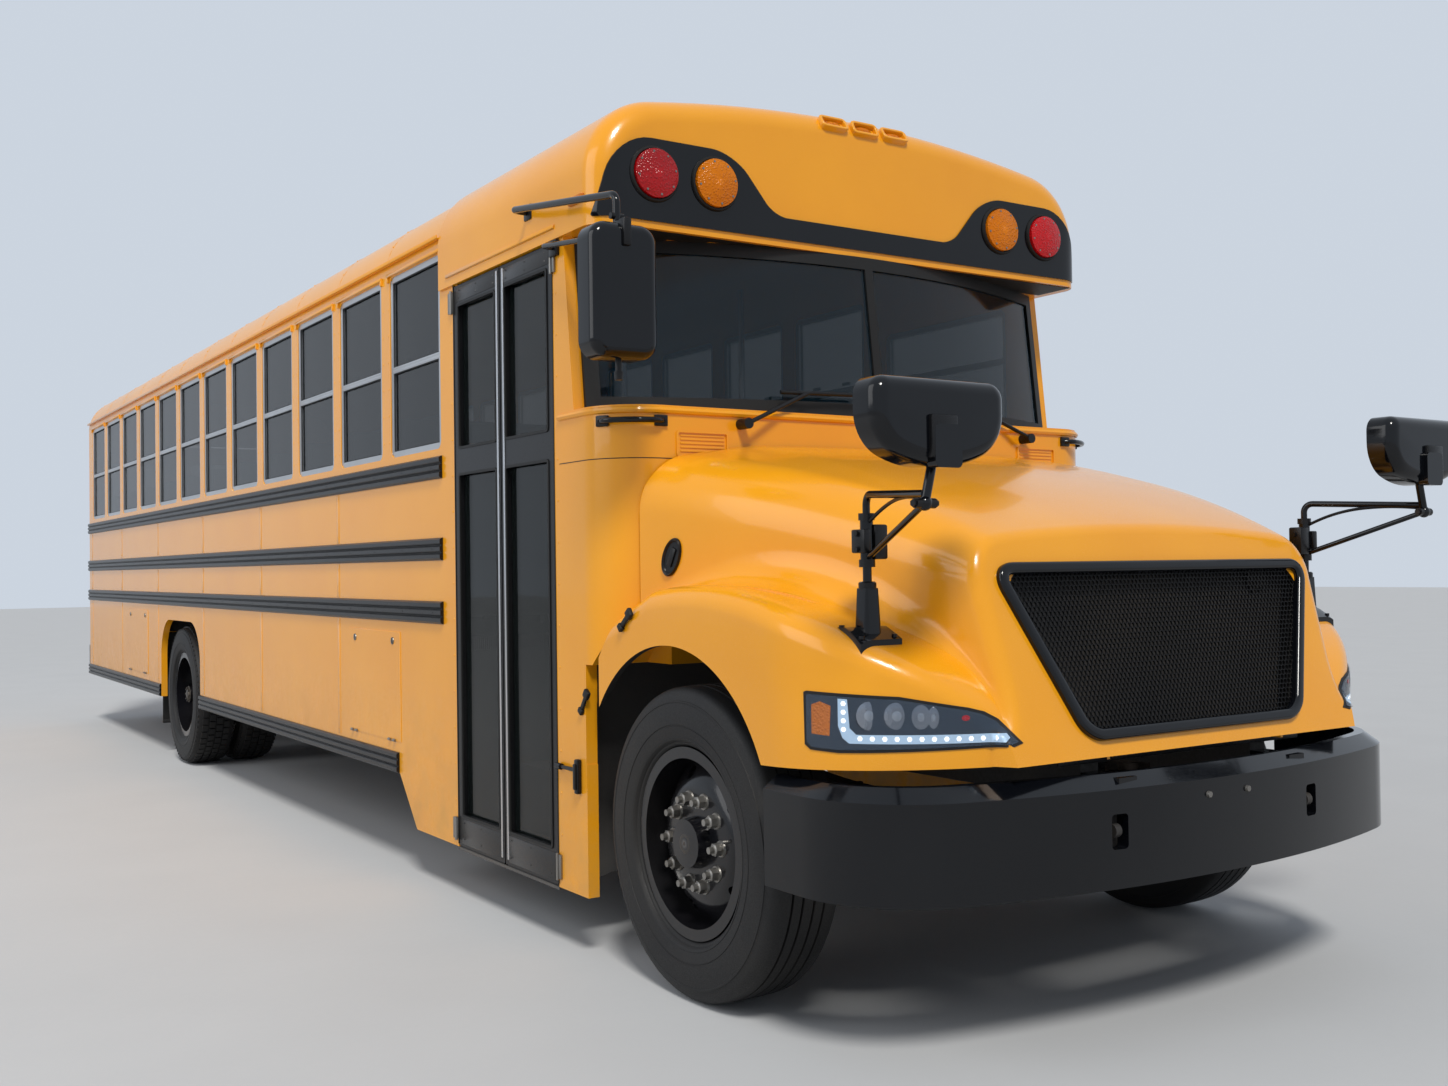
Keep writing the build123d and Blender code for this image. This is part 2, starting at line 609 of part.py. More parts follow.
with BuildPart() as front_cap:
    add(cap_block(0, CAP_BOTTOM_Z))
    extrude(
        body_section(CAP_REAR_Y, WALL, CAP_BOTTOM_Z),
        amount=CAP_REAR_Y - CAP_FRONT_Y - WALL,
        mode=Mode.SUBTRACT,
    )
    with BuildSketch(Plane.XY.offset(CAP_BOTTOM_Z)):
        with BuildLine():
            soffit = HALF - WALL
            back = front_y(soffit, -GASKET_DEPTH) + RAKE_SHIFT
            front = CAP_FRONT_Y + WALL / 2
            ThreePointArc((-soffit, back), (0, front_y(0, -GASKET_DEPTH - 20) + RAKE_SHIFT), (soffit, back))
            Polyline((soffit, back), (soffit, front), (-soffit, front), (-soffit, back))
        make_face()
    extrude(amount=WALL / 2)
    for pin_y in DOOR_PIN_PLACES:
        with BuildSketch(Plane.XY.offset(CAP_BOTTOM_Z)):
            with Locations((DOOR_PIN_X, pin_y)):
                Circle(DOOR_PIN_RADIUS)
        extrude(amount=-DOOR_PIN_LENGTH)
save(front_cap.part, "front_cap")

# Header lamp panel: a glossy plate over the cap's front face, bent round its corners
PANEL_THICK = 7
# Outline of the left half seen from the front: X and Z, from the middle band outwards
PANEL_OUTLINE = (
    (455, 2740), (560, 2870), (650, 2962), (1020, 2962), (1130, 2915), (1200, 2790), (1222, 2665),
)
with BuildPart() as lamp_panel:
    add(cap_block(PANEL_THICK, CAP_BOTTOM_Z + 1))
    add(cap_block(0, CAP_BOTTOM_Z), mode=Mode.SUBTRACT)
    with BuildSketch(cross_plane(CAP_FRONT_Y + CAP_NOSE_RADIUS)):
        with BuildLine():
            Polyline(*PANEL_OUTLINE, *[(-x, z) for x, z in reversed(PANEL_OUTLINE)], close=True)
        make_face()
    extrude(amount=2 * CAP_NOSE_RADIUS, mode=Mode.INTERSECT)
save(lamp_panel.part, "lamp_panel")

# Warning lamps: a short drum with a domed lens, four in front and four behind
LAMP_RADIUS = 89
LAMP_RIM = 22
LAMP_DOME = 14
RED_LAMP_X = 988
AMBER_LAMP_X = 728
LAMP_Z = 2831
LAMP_FRONT_Y = CAP_FRONT_Y - PANEL_THICK
REAR_LAMP_Z = 2870
REAR_RED_X = 870
REAR_AMBER_X = 640
# Each row: distance from the middle, height and radius of a lamp low on the rear wall
BRAKE_LAMPS = ((1020, 1660, LAMP_RADIUS), (1020, 1375, 55))
TURN_LAMP = (830, 1660, 70)


def lamp_at(x, y, z, facing, radius, rim, dome):
    """A round lamp whose flat back lies on a plane across the bus."""
    ball = (radius**2 + dome**2) / (2 * dome)
    middle = rim + dome - ball + sqrt(ball**2 - (radius / 2) ** 2)
    with BuildPart() as lamp:
        with BuildSketch(Plane(origin=(x, y, z), x_dir=(1, 0, 0), z_dir=(0, 0, 1))):
            with BuildLine():
                Polyline((0, 0), (radius, 0), (radius, facing * rim))
                ThreePointArc(
                    (radius, facing * rim), (radius / 2, facing * middle), (0, facing * (rim + dome))
                )
                Line((0, facing * (rim + dome)), (0, 0))
            make_face()
        revolve(axis=Axis((x, y, z), (0, 1, 0)))
    return lamp.part


with BuildPart() as red_lamps:
    for side in (-1, 1):
        add(lamp_at(side * RED_LAMP_X, LAMP_FRONT_Y, LAMP_Z, -1, LAMP_RADIUS, LAMP_RIM, LAMP_DOME))
        add(lamp_at(side * REAR_RED_X, BODY_REAR_Y, REAR_LAMP_Z, 1, LAMP_RADIUS, LAMP_RIM, LAMP_DOME))
        for x, z, radius in BRAKE_LAMPS:
            add(lamp_at(side * x, BODY_REAR_Y, z, 1, radius, LAMP_RIM, LAMP_DOME))
save(red_lamps.part, "red_lamps")

with BuildPart() as amber_lamps:
    for side in (-1, 1):
        add(lamp_at(side * AMBER_LAMP_X, LAMP_FRONT_Y, LAMP_Z, -1, LAMP_RADIUS, LAMP_RIM, LAMP_DOME))
        add(lamp_at(side * REAR_AMBER_X, BODY_REAR_Y, REAR_LAMP_Z, 1, LAMP_RADIUS, LAMP_RIM, LAMP_DOME))
        x, z, radius = TURN_LAMP
        add(lamp_at(side * x, BODY_REAR_Y, z, 1, radius, LAMP_RIM, LAMP_DOME))
save(amber_lamps.part, "amber_lamps")

# Cowl: firewall, rounded corners, sill ledge, kick panels and windshield posts
PILLAR_FRONT_Y = DOOR_FRONT_Y - 165


def cowl_plan(z, inset, back_y):
    """The plan of the cowl between its front and a line across, with rounded front corners."""
    half = HALF - inset
    front = COWL_FRONT_Y + inset
    with BuildSketch(Plane.XY.offset(z)) as plan:
        with BuildLine():
            Polyline((-half, back_y), (-half, front), (half, front), (half, back_y), close=True)
        make_face()
        fillet(plan.vertices().group_by(Axis.Y)[0], COWL_CORNER_RADIUS - inset)
    return plan.sketch


# Rear edge of the fender seen from the side, from its tip up and forward: Y from the axle, and Z
FENDER_TAIL = ((602, 780), (602, 900), (560, 1040), (429, 1205), (300, 1290), (200, 1330))
TAIL_X = 1000
TAIL_FRONT_Y = FRONT_AXLE_Y + 120


def tail_sketch(x, grow):
    """The space that the fender's tail takes, seen from the side and grown by a clearance."""
    tail = [(FRONT_AXLE_Y + y + grow, z + grow) for y, z in FENDER_TAIL]
    with BuildSketch(side_plane(x)) as space:
        with BuildLine():
            Polyline(
                *tail, (TAIL_FRONT_Y, tail[-1][1]), (TAIL_FRONT_Y, RAIL_BOTTOM_Z),
                (tail[0][0], RAIL_BOTTOM_Z), close=True,
            )
        make_face()
    return space.sketch


POCKET_WALL = 32
with BuildPart() as pockets:
    for side in (-1, 1):
        extrude(
            tail_sketch(side * (TAIL_X - NOSE_GAP - POCKET_WALL), NOSE_GAP + POCKET_WALL),
            amount=side * (HALF - TAIL_X + NOSE_GAP + POCKET_WALL),
        )
    extrude(
        cowl_plan(COWL_BOTTOM_Z, 0, DOOR_FRONT_Y), amount=SILL_Z - COWL_BOTTOM_Z, mode=Mode.INTERSECT
    )

with BuildPart() as cowl:
    extrude(cowl_plan(COWL_BOTTOM_Z, 0, DOOR_FRONT_Y), amount=SILL_Z - COWL_BOTTOM_Z)
    extrude(
        cowl_plan(COWL_BOTTOM_Z, WALL, DOOR_FRONT_Y), amount=SILL_Z - WALL - COWL_BOTTOM_Z, mode=Mode.SUBTRACT
    )
    with BuildSketch(Plane.XY.offset(SILL_Z - WALL)):
        with BuildLine():
            half = HALF - WALL
            back = front_y(half, -GASKET_DEPTH - 20)
            ThreePointArc((-half, back), (0, front_y(0, -GASKET_DEPTH - 60)), (half, back))
            Polyline((half, back), (half, DOOR_FRONT_Y), (-half, DOOR_FRONT_Y), (-half, back))
        make_face()
    extrude(amount=WALL, mode=Mode.SUBTRACT)
    for side in (-1, 1):
        start_x = side * (HALF - WALL / 2) - WALL / 2
        with BuildSketch(side_plane(start_x)):
            with BuildLine():
                Polyline(
                    (KICK_FRONT_Y, STEP_SKIRT_Z), (DOOR_FRONT_Y, STEP_SKIRT_Z),
                    (DOOR_FRONT_Y, CAP_BOTTOM_Z), (PILLAR_FRONT_Y + RAKE_SHIFT, CAP_BOTTOM_Z),
                    (PILLAR_FRONT_Y, SILL_Z - WALL), (PILLAR_FRONT_Y, COWL_BOTTOM_Z + 20),
                    (KICK_FRONT_Y, COWL_BOTTOM_Z), close=True,
                )
            make_face()
        extrude(amount=WALL)
    add(pockets.part)
    for side in (-1, 1):
        extrude(
            tail_sketch(side * (TAIL_X - NOSE_GAP), NOSE_GAP),
            amount=side * (HALF - TAIL_X + NOSE_GAP + 1), mode=Mode.SUBTRACT,
        )
save(cowl.part, "cowl")

# Windshield: two curved panes in a rubber gasket with a centre post
RAKE_HEIGHT = CAP_BOTTOM_Z - SILL_Z
RAKE_DIRECTION = Vector(0, RAKE_SHIFT, RAKE_HEIGHT).normalized()
GASKET_X = HALF - WALL
PANE_X = GASKET_X - GASKET
PANE_LOW_Z = SILL_Z + GASKET
PANE_HIGH_Z = CAP_BOTTOM_Z - GASKET


def leaning_band(low_z, high_z, front_offset, back_offset, inner_x, outer_x):
    """A curved upright strip that leans back with the windshield."""
    shift = RAKE_SHIFT * (low_z - SILL_Z) / RAKE_HEIGHT
    length = (high_z - low_z) / RAKE_DIRECTION.Z
    foot = arc_band(0, front_offset, back_offset, inner_x, outer_x).moved(Location((0, shift, low_z)))
    return Solid.extrude(foot.face(), RAKE_DIRECTION * length)


with BuildPart() as windshield_gasket:
    add(leaning_band(SILL_Z, CAP_BOTTOM_Z, 0, -GASKET_DEPTH, -GASKET_X, GASKET_X))
    for low_x, high_x in ((-PANE_X, -CENTRE_POST / 2), (CENTRE_POST / 2, PANE_X)):
        add(leaning_band(PANE_LOW_Z, PANE_HIGH_Z, 9, -GASKET_DEPTH - 9, low_x, high_x), mode=Mode.SUBTRACT)
save(windshield_gasket.part, "windshield_gasket")

with BuildPart() as windshield_glass:
    for low_x, high_x in ((-PANE_X, -CENTRE_POST / 2), (CENTRE_POST / 2, PANE_X)):
        add(leaning_band(PANE_LOW_Z, PANE_HIGH_Z, -8, -8 - GLASS, low_x, high_x))
save(windshield_glass.part, "windshield_glass")

# Wipers: a pivot boss on the sill, an arm and a blade for each pane
WIPER_Z = 1929
WIPER_LIFT = 60
BLADE_LIFT = 34
ARM_HALF = 8
# Each row: pivot X, tip X and its height, far end of the blade as X and height
WIPER_ROWS = ((-678, -370, 2061, -40, 2066), (765, 460, 2066, 60, 2052))
with BuildPart() as wipers:
    for pivot_x, tip_x, tip_z, end_x, end_z in WIPER_ROWS:
        pivot_y = COWL_FRONT_Y - WIPER_LIFT
        start_x = tip_x - (end_x - tip_x) * 0.35
        blade = [
            (x, front_y(x) - BLADE_LIFT, z) for x, z in ((start_x, tip_z), (tip_x, tip_z), (end_x, end_z))
        ]
        add(tube(((pivot_x, COWL_FRONT_Y - 0.3, WIPER_Z), (pivot_x, pivot_y, WIPER_Z)), 0, 20))
        add(tube(((pivot_x, pivot_y + ARM_HALF, WIPER_Z), blade[1]), 0, ARM_HALF))
        add(tube(blade, 200, ARM_HALF))
save(wipers.part, "wipers")

# Nose: a lofted middle between two arched fenders, hollow and open below
SHOULDER_FALL = radians(8)
# Each row: place from the axle, crown height, crease half width and height, side half width,
# shoulder radius, radius of the flare at the foot of the side, foot height
NOSE_ROWS = (
    (400, 1859, 650, 1850, 1110, 215, 60, 1215),
    (-150, 1768, 655, 1752, 1000, 200, 110, 1341),
    (-600, 1640, 655, 1618, 880, 180, 120, 1262),
    (-1120, 1400, 600, 1375, 745, 90, 25, 850),
)
FACE_TOP = (FRONT_AXLE_Y - 939, 1401)
FACE_BOTTOM = (FRONT_AXLE_Y - 1086, 884)
FACE_SLOPE = (FACE_TOP[0] - FACE_BOTTOM[0]) / (FACE_TOP[1] - FACE_BOTTOM[1])
FACE_LIP = 60
FACE_CUT_LOW_Z = 500
FACE_CUT_HIGH_Z = 2000
FACE_CUT_Y = FRONT_AXLE_Y - 1500


def face_y(z):
    """The Y of the raked front face at a height."""
    return FACE_BOTTOM[0] + FACE_SLOPE * (z - FACE_BOTTOM[1])


def nose_section(row, inset):
    """One cross-section of the nose's middle, drawn inside its skin by an inset and then straight-sided."""
    place, crown_z, crease_x, crease_z, side_x, shoulder, flare, foot_z = row
    round_x = side_x - shoulder
    fall = round_x + shoulder * sin(SHOULDER_FALL) - crease_x
    round_z = crease_z - fall * tan(SHOULDER_FALL) - shoulder * cos(SHOULDER_FALL)
    small = shoulder - inset
    bottom = NOSE_BOTTOM_Z - inset
    low_x = side_x - inset if inset > 0 else side_x + flare
    with BuildSketch(cross_plane(FRONT_AXLE_Y + place)) as section:
        with BuildLine():
            crown = ((-crease_x, crease_z - inset), (0, crown_z - inset), (crease_x, crease_z - inset))
            if inset > 0:
                Polyline(*crown)
            else:
                ThreePointArc(*crown)
            for hand in (-1, 1):
                top = (
                    hand * (round_x + small * sin(SHOULDER_FALL)),
                    round_z + small * cos(SHOULDER_FALL),
                )
                side = (hand * (round_x + small), round_z)
                Line((hand * crease_x, crease_z - inset), top)
                if inset > 0:
                    Polyline(top, side, (side[0], bottom))
                else:
                    RadiusArc(top, side, hand * small)
                    foot = (hand * (side_x - inset), foot_z + flare)
                    toe = (hand * low_x, foot_z - inset)
                    Line(side, foot)
                    RadiusArc(foot, toe, -hand * (flare + inset))
                    Line(toe, (toe[0], bottom))
            Line((-low_x, bottom), (low_x, bottom))
        make_face()
    return section.sketch.face()


def nose_middle(inset):
    """The lofted middle of the nose, cut to its raked front face and rounded into it."""
    with BuildPart() as middle:
        loft([nose_section(row, inset) for row in NOSE_ROWS], ruled=inset > 0)
        with BuildSketch(side_plane(-HALF)):
            with BuildLine():
                Polyline(
                    (face_y(FACE_CUT_LOW_Z) + inset, FACE_CUT_LOW_Z),
                    (face_y(FACE_CUT_HIGH_Z) + inset, FACE_CUT_HIGH_Z),
                    (FACE_CUT_Y, FACE_CUT_HIGH_Z),
                    (FACE_CUT_Y, FACE_CUT_LOW_Z),
                    close=True,
                )
            make_face()
        extrude(amount=2 * HALF, mode=Mode.SUBTRACT)
        if inset <= 0:
            face = middle.faces().sort_by(Axis.Y)[0]
            fillet([e for e in face.edges() if e.center().Z > 1000], FACE_LIP - inset)
    return middle.part


# Fender outline: the crest seen from the side as Y from the axle and Z, and the wing seen from above
FENDER_INNER_X = 560
FENDER_ROUND = 75
CREST_MIDDLE = (-150, 1345)
CREST_FRONT = (-520, 1290)
CREST_LAMP = (-860, 1152)
CREST_TIP = (-1072, 880)
WING_START_Y = FRONT_AXLE_Y - 520
WING_LAMP = (1080, FRONT_AXLE_Y - 860)
WING_END = (671, FRONT_AXLE_Y - 1070)
FENDER_BACK_Y = FRONT_AXLE_Y + 700


def fender(side, inset):
    """One fender block between its inner side and its outer plane, drawn inside its skin by an inset."""
    outer = side * (FENDER_X - inset)
    inner = side * (FENDER_INNER_X - 10)
    bottom = NOSE_BOTTOM_Z - inset
    tail = [(FRONT_AXLE_Y + y - inset, z - inset) for y, z in FENDER_TAIL]
    middle, front, lamp = [
        (FRONT_AXLE_Y + y + inset * 0.4, z - inset) for y, z in (CREST_MIDDLE, CREST_FRONT, CREST_LAMP)
    ]
    tip = (FRONT_AXLE_Y + CREST_TIP[0] + inset, CREST_TIP[1] - inset)
    wing_lamp = (side * (WING_LAMP[0] - inset * 0.8), WING_LAMP[1] + inset * 0.6)
    wing_end = (side * WING_END[0], WING_END[1] + inset)
    with BuildPart() as block:
        with BuildSketch(side_plane(side * FENDER_INNER_X)):
            with BuildLine():
                Polyline(*tail)
                crest = ThreePointArc(tail[-1], middle, front)
                brow = TangentArc(front, lamp, tangent=crest % 1)
                TangentArc(lamp, tip, tangent=brow % 1)
                Polyline(tip, (tip[0], bottom), tail[0])
            make_face()
        extrude(amount=side * (FENDER_X - FENDER_INNER_X - inset))
        with BuildSketch(Plane.XY.offset(bottom - 200)):
            with BuildLine():
                wing = TangentArc((outer, WING_START_Y), wing_lamp, tangent=(0, -1))
                TangentArc(wing_lamp, wing_end, tangent=wing % 1)
                Polyline(
                    wing_end, (inner, wing_end[1]), (inner, FENDER_BACK_Y), (outer, FENDER_BACK_Y),
                    (outer, WING_START_Y),
                )
            make_face()
        extrude(amount=900, mode=Mode.INTERSECT)
        rims = [
            e for e in block.edges()
            if e.center().Z > 1010 and e.center().Y < FRONT_AXLE_Y + 330
            and abs((e @ 0).X - (e @ 1).X) < 330
            and min(abs((e @ 0).X), abs((e @ 1).X)) > 640
            and abs((e @ 0).Y - (e @ 1).Y) > 1
        ]
        fillet(rims, FENDER_ROUND - inset)
    return block.part


LUG_RADIUS = 14
LUG_REACH = 34
LUG_THICK = 12
LUG_GAP = 4
GRILLE_HALF_TOP = 716
GRILLE_HALF_BOTTOM = 482
GRILLE_TOP_Z = 1384
GRILLE_BOTTOM_Z = 905
GRILLE_HIGH_CORNER = 75
GRILLE_LOW_CORNER = 50
ARCH_INNER_X = FENDER_INNER_X + 100
with BuildPart() as hood:
    add(nose_middle(0))
    for side in (-1, 1):
        add(fender(side, 0))
    add(nose_middle(NOSE_SKIN), mode=Mode.SUBTRACT)
    for side in (-1, 1):
        add(fender(side, NOSE_SKIN), mode=Mode.SUBTRACT)
        with BuildSketch(side_plane(side * ARCH_INNER_X)):
            with Locations((FRONT_AXLE_Y + 50, ARCH_CENTRE_Z)):
                Circle(ARCH_RADIUS)
        extrude(amount=side * (HALF - ARCH_INNER_X + 100), mode=Mode.SUBTRACT)
    extrude(
        cowl_plan(STEP_SKIRT_Z, -NOSE_GAP, DOOR_FRONT_Y),
        amount=ROOF_TOP - STEP_SKIRT_Z,
        mode=Mode.SUBTRACT,
    )
    with BuildSketch(cross_plane(PIVOT_Y)) as mouth:
        with BuildLine():
            Polyline(
                (GRILLE_HALF_TOP, GRILLE_TOP_Z), (GRILLE_HALF_BOTTOM, GRILLE_BOTTOM_Z),
                (-GRILLE_HALF_BOTTOM, GRILLE_BOTTOM_Z), (-GRILLE_HALF_TOP, GRILLE_TOP_Z), close=True,
            )
        make_face()
        fillet(mouth.vertices().sort_by(Axis.Y)[2:], GRILLE_HIGH_CORNER)
        fillet(mouth.vertices().sort_by(Axis.Y)[:2], GRILLE_LOW_CORNER)
    extrude(amount=200, both=True, mode=Mode.SUBTRACT)
    for side in (-1, 1):
        with BuildSketch(side_plane(side * (BRACKET_X + BRACKET_THICK / 2 + LUG_GAP))):
            with Locations((PIVOT_Y, PIVOT_Z)):
                Circle(LUG_RADIUS)
            with Locations((PIVOT_Y - LUG_REACH / 2, PIVOT_Z)):
                Rectangle(LUG_REACH, 2 * LUG_RADIUS)
            with Locations((PIVOT_Y, PIVOT_Z)):
                Circle(PIN_RADIUS + PIN_CLEAR, mode=Mode.SUBTRACT)
        extrude(amount=side * LUG_THICK)
save(hood.part, "hood")

# Grille: a black frame seated on the raked face, with a rim through the mouth and stiffening bars
SEAT_GAP = 0.3
GRILLE_FRAME = 34
GRILLE_OUTSIDE = 20
GRILLE_INSIDE = GRILLE_FRAME - GRILLE_OUTSIDE
GRILLE_DEPTH = 22
GRILLE_RIM_BACK = 30
GRILLE_RIM_GAP = 6
MESH_BACK = 12
MESH_BAR = 9
MESH_COLUMNS = 5
MESH_ROWS = 3
FACE_PLANE = Plane(
    origin=(0, face_y(NOSE_BOTTOM_Z), NOSE_BOTTOM_Z),
    x_dir=(1, 0, 0),
    z_dir=Vector(0, -1, FACE_SLOPE),
)
FACE_LENGTH_SCALE = sqrt(1 + FACE_SLOPE**2)
GRILLE_LOW = (GRILLE_BOTTOM_Z - NOSE_BOTTOM_Z) * FACE_LENGTH_SCALE
GRILLE_HIGH = (GRILLE_TOP_Z - NOSE_BOTTOM_Z) * FACE_LENGTH_SCALE


def grille_face(offset, grow):
    """The grille opening's outline on a plane before the raked face, grown by a margin."""
    half_top = GRILLE_HALF_TOP + grow * 1.3
    half_bottom = GRILLE_HALF_BOTTOM + grow * 0.8
    with BuildSketch(FACE_PLANE.offset(offset)) as outline:
        with BuildLine():
            Polyline(
                (half_top, GRILLE_HIGH + grow), (half_bottom, GRILLE_LOW - grow),
                (-half_bottom, GRILLE_LOW - grow), (-half_top, GRILLE_HIGH + grow), close=True,
            )
        make_face()
        fillet(outline.vertices().sort_by(Axis.Y)[2:], GRILLE_HIGH_CORNER + grow)
        fillet(outline.vertices().sort_by(Axis.Y)[:2], GRILLE_LOW_CORNER + grow)
    return outline.sketch


with BuildPart() as grille_bars:
    with BuildSketch(FACE_PLANE.offset(-MESH_BACK)):
        span = GRILLE_HIGH - GRILLE_LOW
        for i in range(1, MESH_ROWS):
            with Locations((0, GRILLE_LOW + span * i / MESH_ROWS)):
                Rectangle(2 * GRILLE_HALF_TOP, MESH_BAR)
        for i in range(1, MESH_COLUMNS):
            with Locations((GRILLE_HALF_TOP * (2 * i / MESH_COLUMNS - 1), (GRILLE_LOW + GRILLE_HIGH) / 2)):
                Rectangle(MESH_BAR, span)
    extrude(amount=MESH_BAR)
    extrude(grille_face(-MESH_BACK, 2 - GRILLE_INSIDE), amount=MESH_BAR, mode=Mode.INTERSECT)

with BuildPart() as grille:
    extrude(grille_face(-GRILLE_RIM_BACK, GRILLE_OUTSIDE), amount=GRILLE_RIM_BACK + GRILLE_DEPTH)
    add(nose_middle(-SEAT_GAP), mode=Mode.SUBTRACT)
    extrude(grille_face(-MESH_BACK, -GRILLE_RIM_GAP), amount=MESH_BACK + 1)
    extrude(
        grille_face(-GRILLE_RIM_BACK, -GRILLE_INSIDE),
        amount=GRILLE_RIM_BACK + GRILLE_DEPTH,
        mode=Mode.SUBTRACT,
    )
    add(grille_bars.part)
save(grille.part, "grille")

# Headlamps: bent lens blocks let into the front corners of the fenders
LAMP_PROUD = 8
LAMP_CORNER = 22
LAMP_BACK_Y = FRONT_AXLE_Y - 640
# Lens outline seen from the front: X from the middle, and Z
HEADLAMP_OUTLINE = (
    (1184, 1049), (1000, 1046), (748, 1006), (690, 965), (655, 880), (1000, 878), (1172, 882),
)


def headlamp(side):
    """One lamp: the fender's outer form grown a little, cut to the lens outline."""
    with BuildPart() as lamp:
        add(fender(side, -LAMP_PROUD))
        with BuildSketch(cross_plane(LAMP_BACK_Y)) as lens:
            with BuildLine():
                Polyline(*[(side * x, z) for x, z in HEADLAMP_OUTLINE], close=True)
            make_face()
            fillet(lens.vertices(), LAMP_CORNER)
        extrude(amount=600, mode=Mode.INTERSECT)
        add(fender(side, 0), mode=Mode.SUBTRACT)
        add(nose_middle(0), mode=Mode.SUBTRACT)
    return lamp.part


with BuildPart() as headlamps:
    for side in (-1, 1):
        add(headlamp(side))
save(headlamps.part, "headlamps")

# Crossview mirrors: a seated foot, a mast with a side arm and a strut, a stem and a head
FOOT_X = 1027
FOOT_Y = FRONT_AXLE_Y - 757
FOOT_Z = 1213
FOOT_PLATE = 14
FOOT_WIDTH = 150
FOOT_LENGTH = 120
FOOT_DEPTH = 120
POST_WIDTH = 66
POST_TOP_Z = 1338
MAST_RADIUS = 13
MAST_TOP_Z = 1606
SLEEVE_RADIUS = 19
SLEEVE_LOW_Z = 1410
SLEEVE_HIGH_Z = 1540
ARM_RADIUS = 11
STRUT_RADIUS = 9
JOINT_X = 1146
JOINT_Z = 1562
JOINT_RADIUS = 20
HEAD_X = 1115
HEAD_Y = FRONT_AXLE_Y - 1143
HEAD_Z = 1768
HEAD_HALF_WIDTH = 225
HEAD_HALF_HEIGHT = 117
CHEEK_X = 147
CHEEK_Z = 85
HEAD_DEPTH = 96
HEAD_ROUND = 40
HEAD_CORNER = 48
BLOCK_WIDTH = 92
BLOCK_HEIGHT = 112
BLOCK_PROUD = 14


def crossview_head(side):
    """The head: a deep shell with a flat top and a round belly, with the stem's block on its back."""
    front = Plane(origin=(side * HEAD_X, HEAD_Y, HEAD_Z), x_dir=(1, 0, 0), z_dir=(0, -1, 0))
    with BuildPart() as head:
        with BuildSketch(front.offset(-HEAD_DEPTH / 2)) as shell:
            with BuildLine():
                cheek = TangentArc((-HEAD_HALF_WIDTH, 30), (-CHEEK_X, -CHEEK_Z), tangent=(0, -1))
                belly = TangentArc((-CHEEK_X, -CHEEK_Z), (CHEEK_X, -CHEEK_Z), tangent=cheek % 1)
                TangentArc((CHEEK_X, -CHEEK_Z), (HEAD_HALF_WIDTH, 30), tangent=belly % 1)
                Polyline(
                    (HEAD_HALF_WIDTH, 30), (HEAD_HALF_WIDTH, HEAD_HALF_HEIGHT),
                    (-HEAD_HALF_WIDTH, HEAD_HALF_HEIGHT), (-HEAD_HALF_WIDTH, 30),
                )
            make_face()
            fillet([v for v in shell.vertices() if v.Y > HEAD_HALF_HEIGHT - 1], HEAD_CORNER)
        extrude(amount=HEAD_DEPTH)
        fillet(head.faces().sort_by(Axis.Y)[0].edges(), HEAD_ROUND)
        with BuildSketch(front.offset(HEAD_DEPTH / 2 - 20)):
            with Locations((0, -HEAD_HALF_HEIGHT + BLOCK_HEIGHT / 2)):
                RectangleRounded(BLOCK_WIDTH, BLOCK_HEIGHT, 16)
        extrude(amount=20 + BLOCK_PROUD)
    return head.part


def crossview(side):
    """One crossview mirror."""
    foot_x = side * FOOT_X
    joint = (side * JOINT_X, HEAD_Y, JOINT_Z)
    with BuildPart() as mirror_arm:
        with Locations((foot_x, FOOT_Y, FOOT_Z + FOOT_PLATE - FOOT_DEPTH / 2)):
            Box(FOOT_WIDTH, FOOT_LENGTH, FOOT_DEPTH)
        add(fender(side, -FOOT_PLATE), mode=Mode.INTERSECT)
        with BuildSketch(Plane.XY.offset(FOOT_Z - FOOT_DEPTH / 2)):
            with Locations((foot_x, FOOT_Y)):
                RectangleRounded(POST_WIDTH, POST_WIDTH, 16)
        extrude(amount=POST_TOP_Z - FOOT_Z + FOOT_DEPTH / 2, taper=3)
        add(fender(side, -SEAT_GAP), mode=Mode.SUBTRACT)
        add(nose_middle(-SEAT_GAP), mode=Mode.SUBTRACT)
        for low, high, radius in (
            (POST_TOP_Z - 20, SLEEVE_LOW_Z + 20, MAST_RADIUS),
            (SLEEVE_LOW_Z, SLEEVE_HIGH_Z, SLEEVE_RADIUS),
        ):
            with Locations((foot_x, FOOT_Y, (low + high) / 2)):
                Cylinder(radius, high - low)
        arm = (
            (foot_x, FOOT_Y, SLEEVE_HIGH_Z - 20), (foot_x, FOOT_Y, MAST_TOP_Z),
            (joint[0], joint[1], JOINT_Z + 24),
        )
        add(tube(arm, 30, ARM_RADIUS))
        add(tube(((foot_x, FOOT_Y, SLEEVE_LOW_Z + 12), joint), 0, STRUT_RADIUS))
        add(tube((joint, (side * HEAD_X, HEAD_Y, HEAD_Z - HEAD_HALF_HEIGHT + 30)), 0, ARM_RADIUS + 2))
        with Locations(joint):
            Sphere(JOINT_RADIUS)
        add(crossview_head(side))
    return mirror_arm.part


with BuildPart() as crossview_mirrors:
    for side in (-1, 1):
        add(crossview(side))
save(crossview_mirrors.part, "crossview_mirrors")

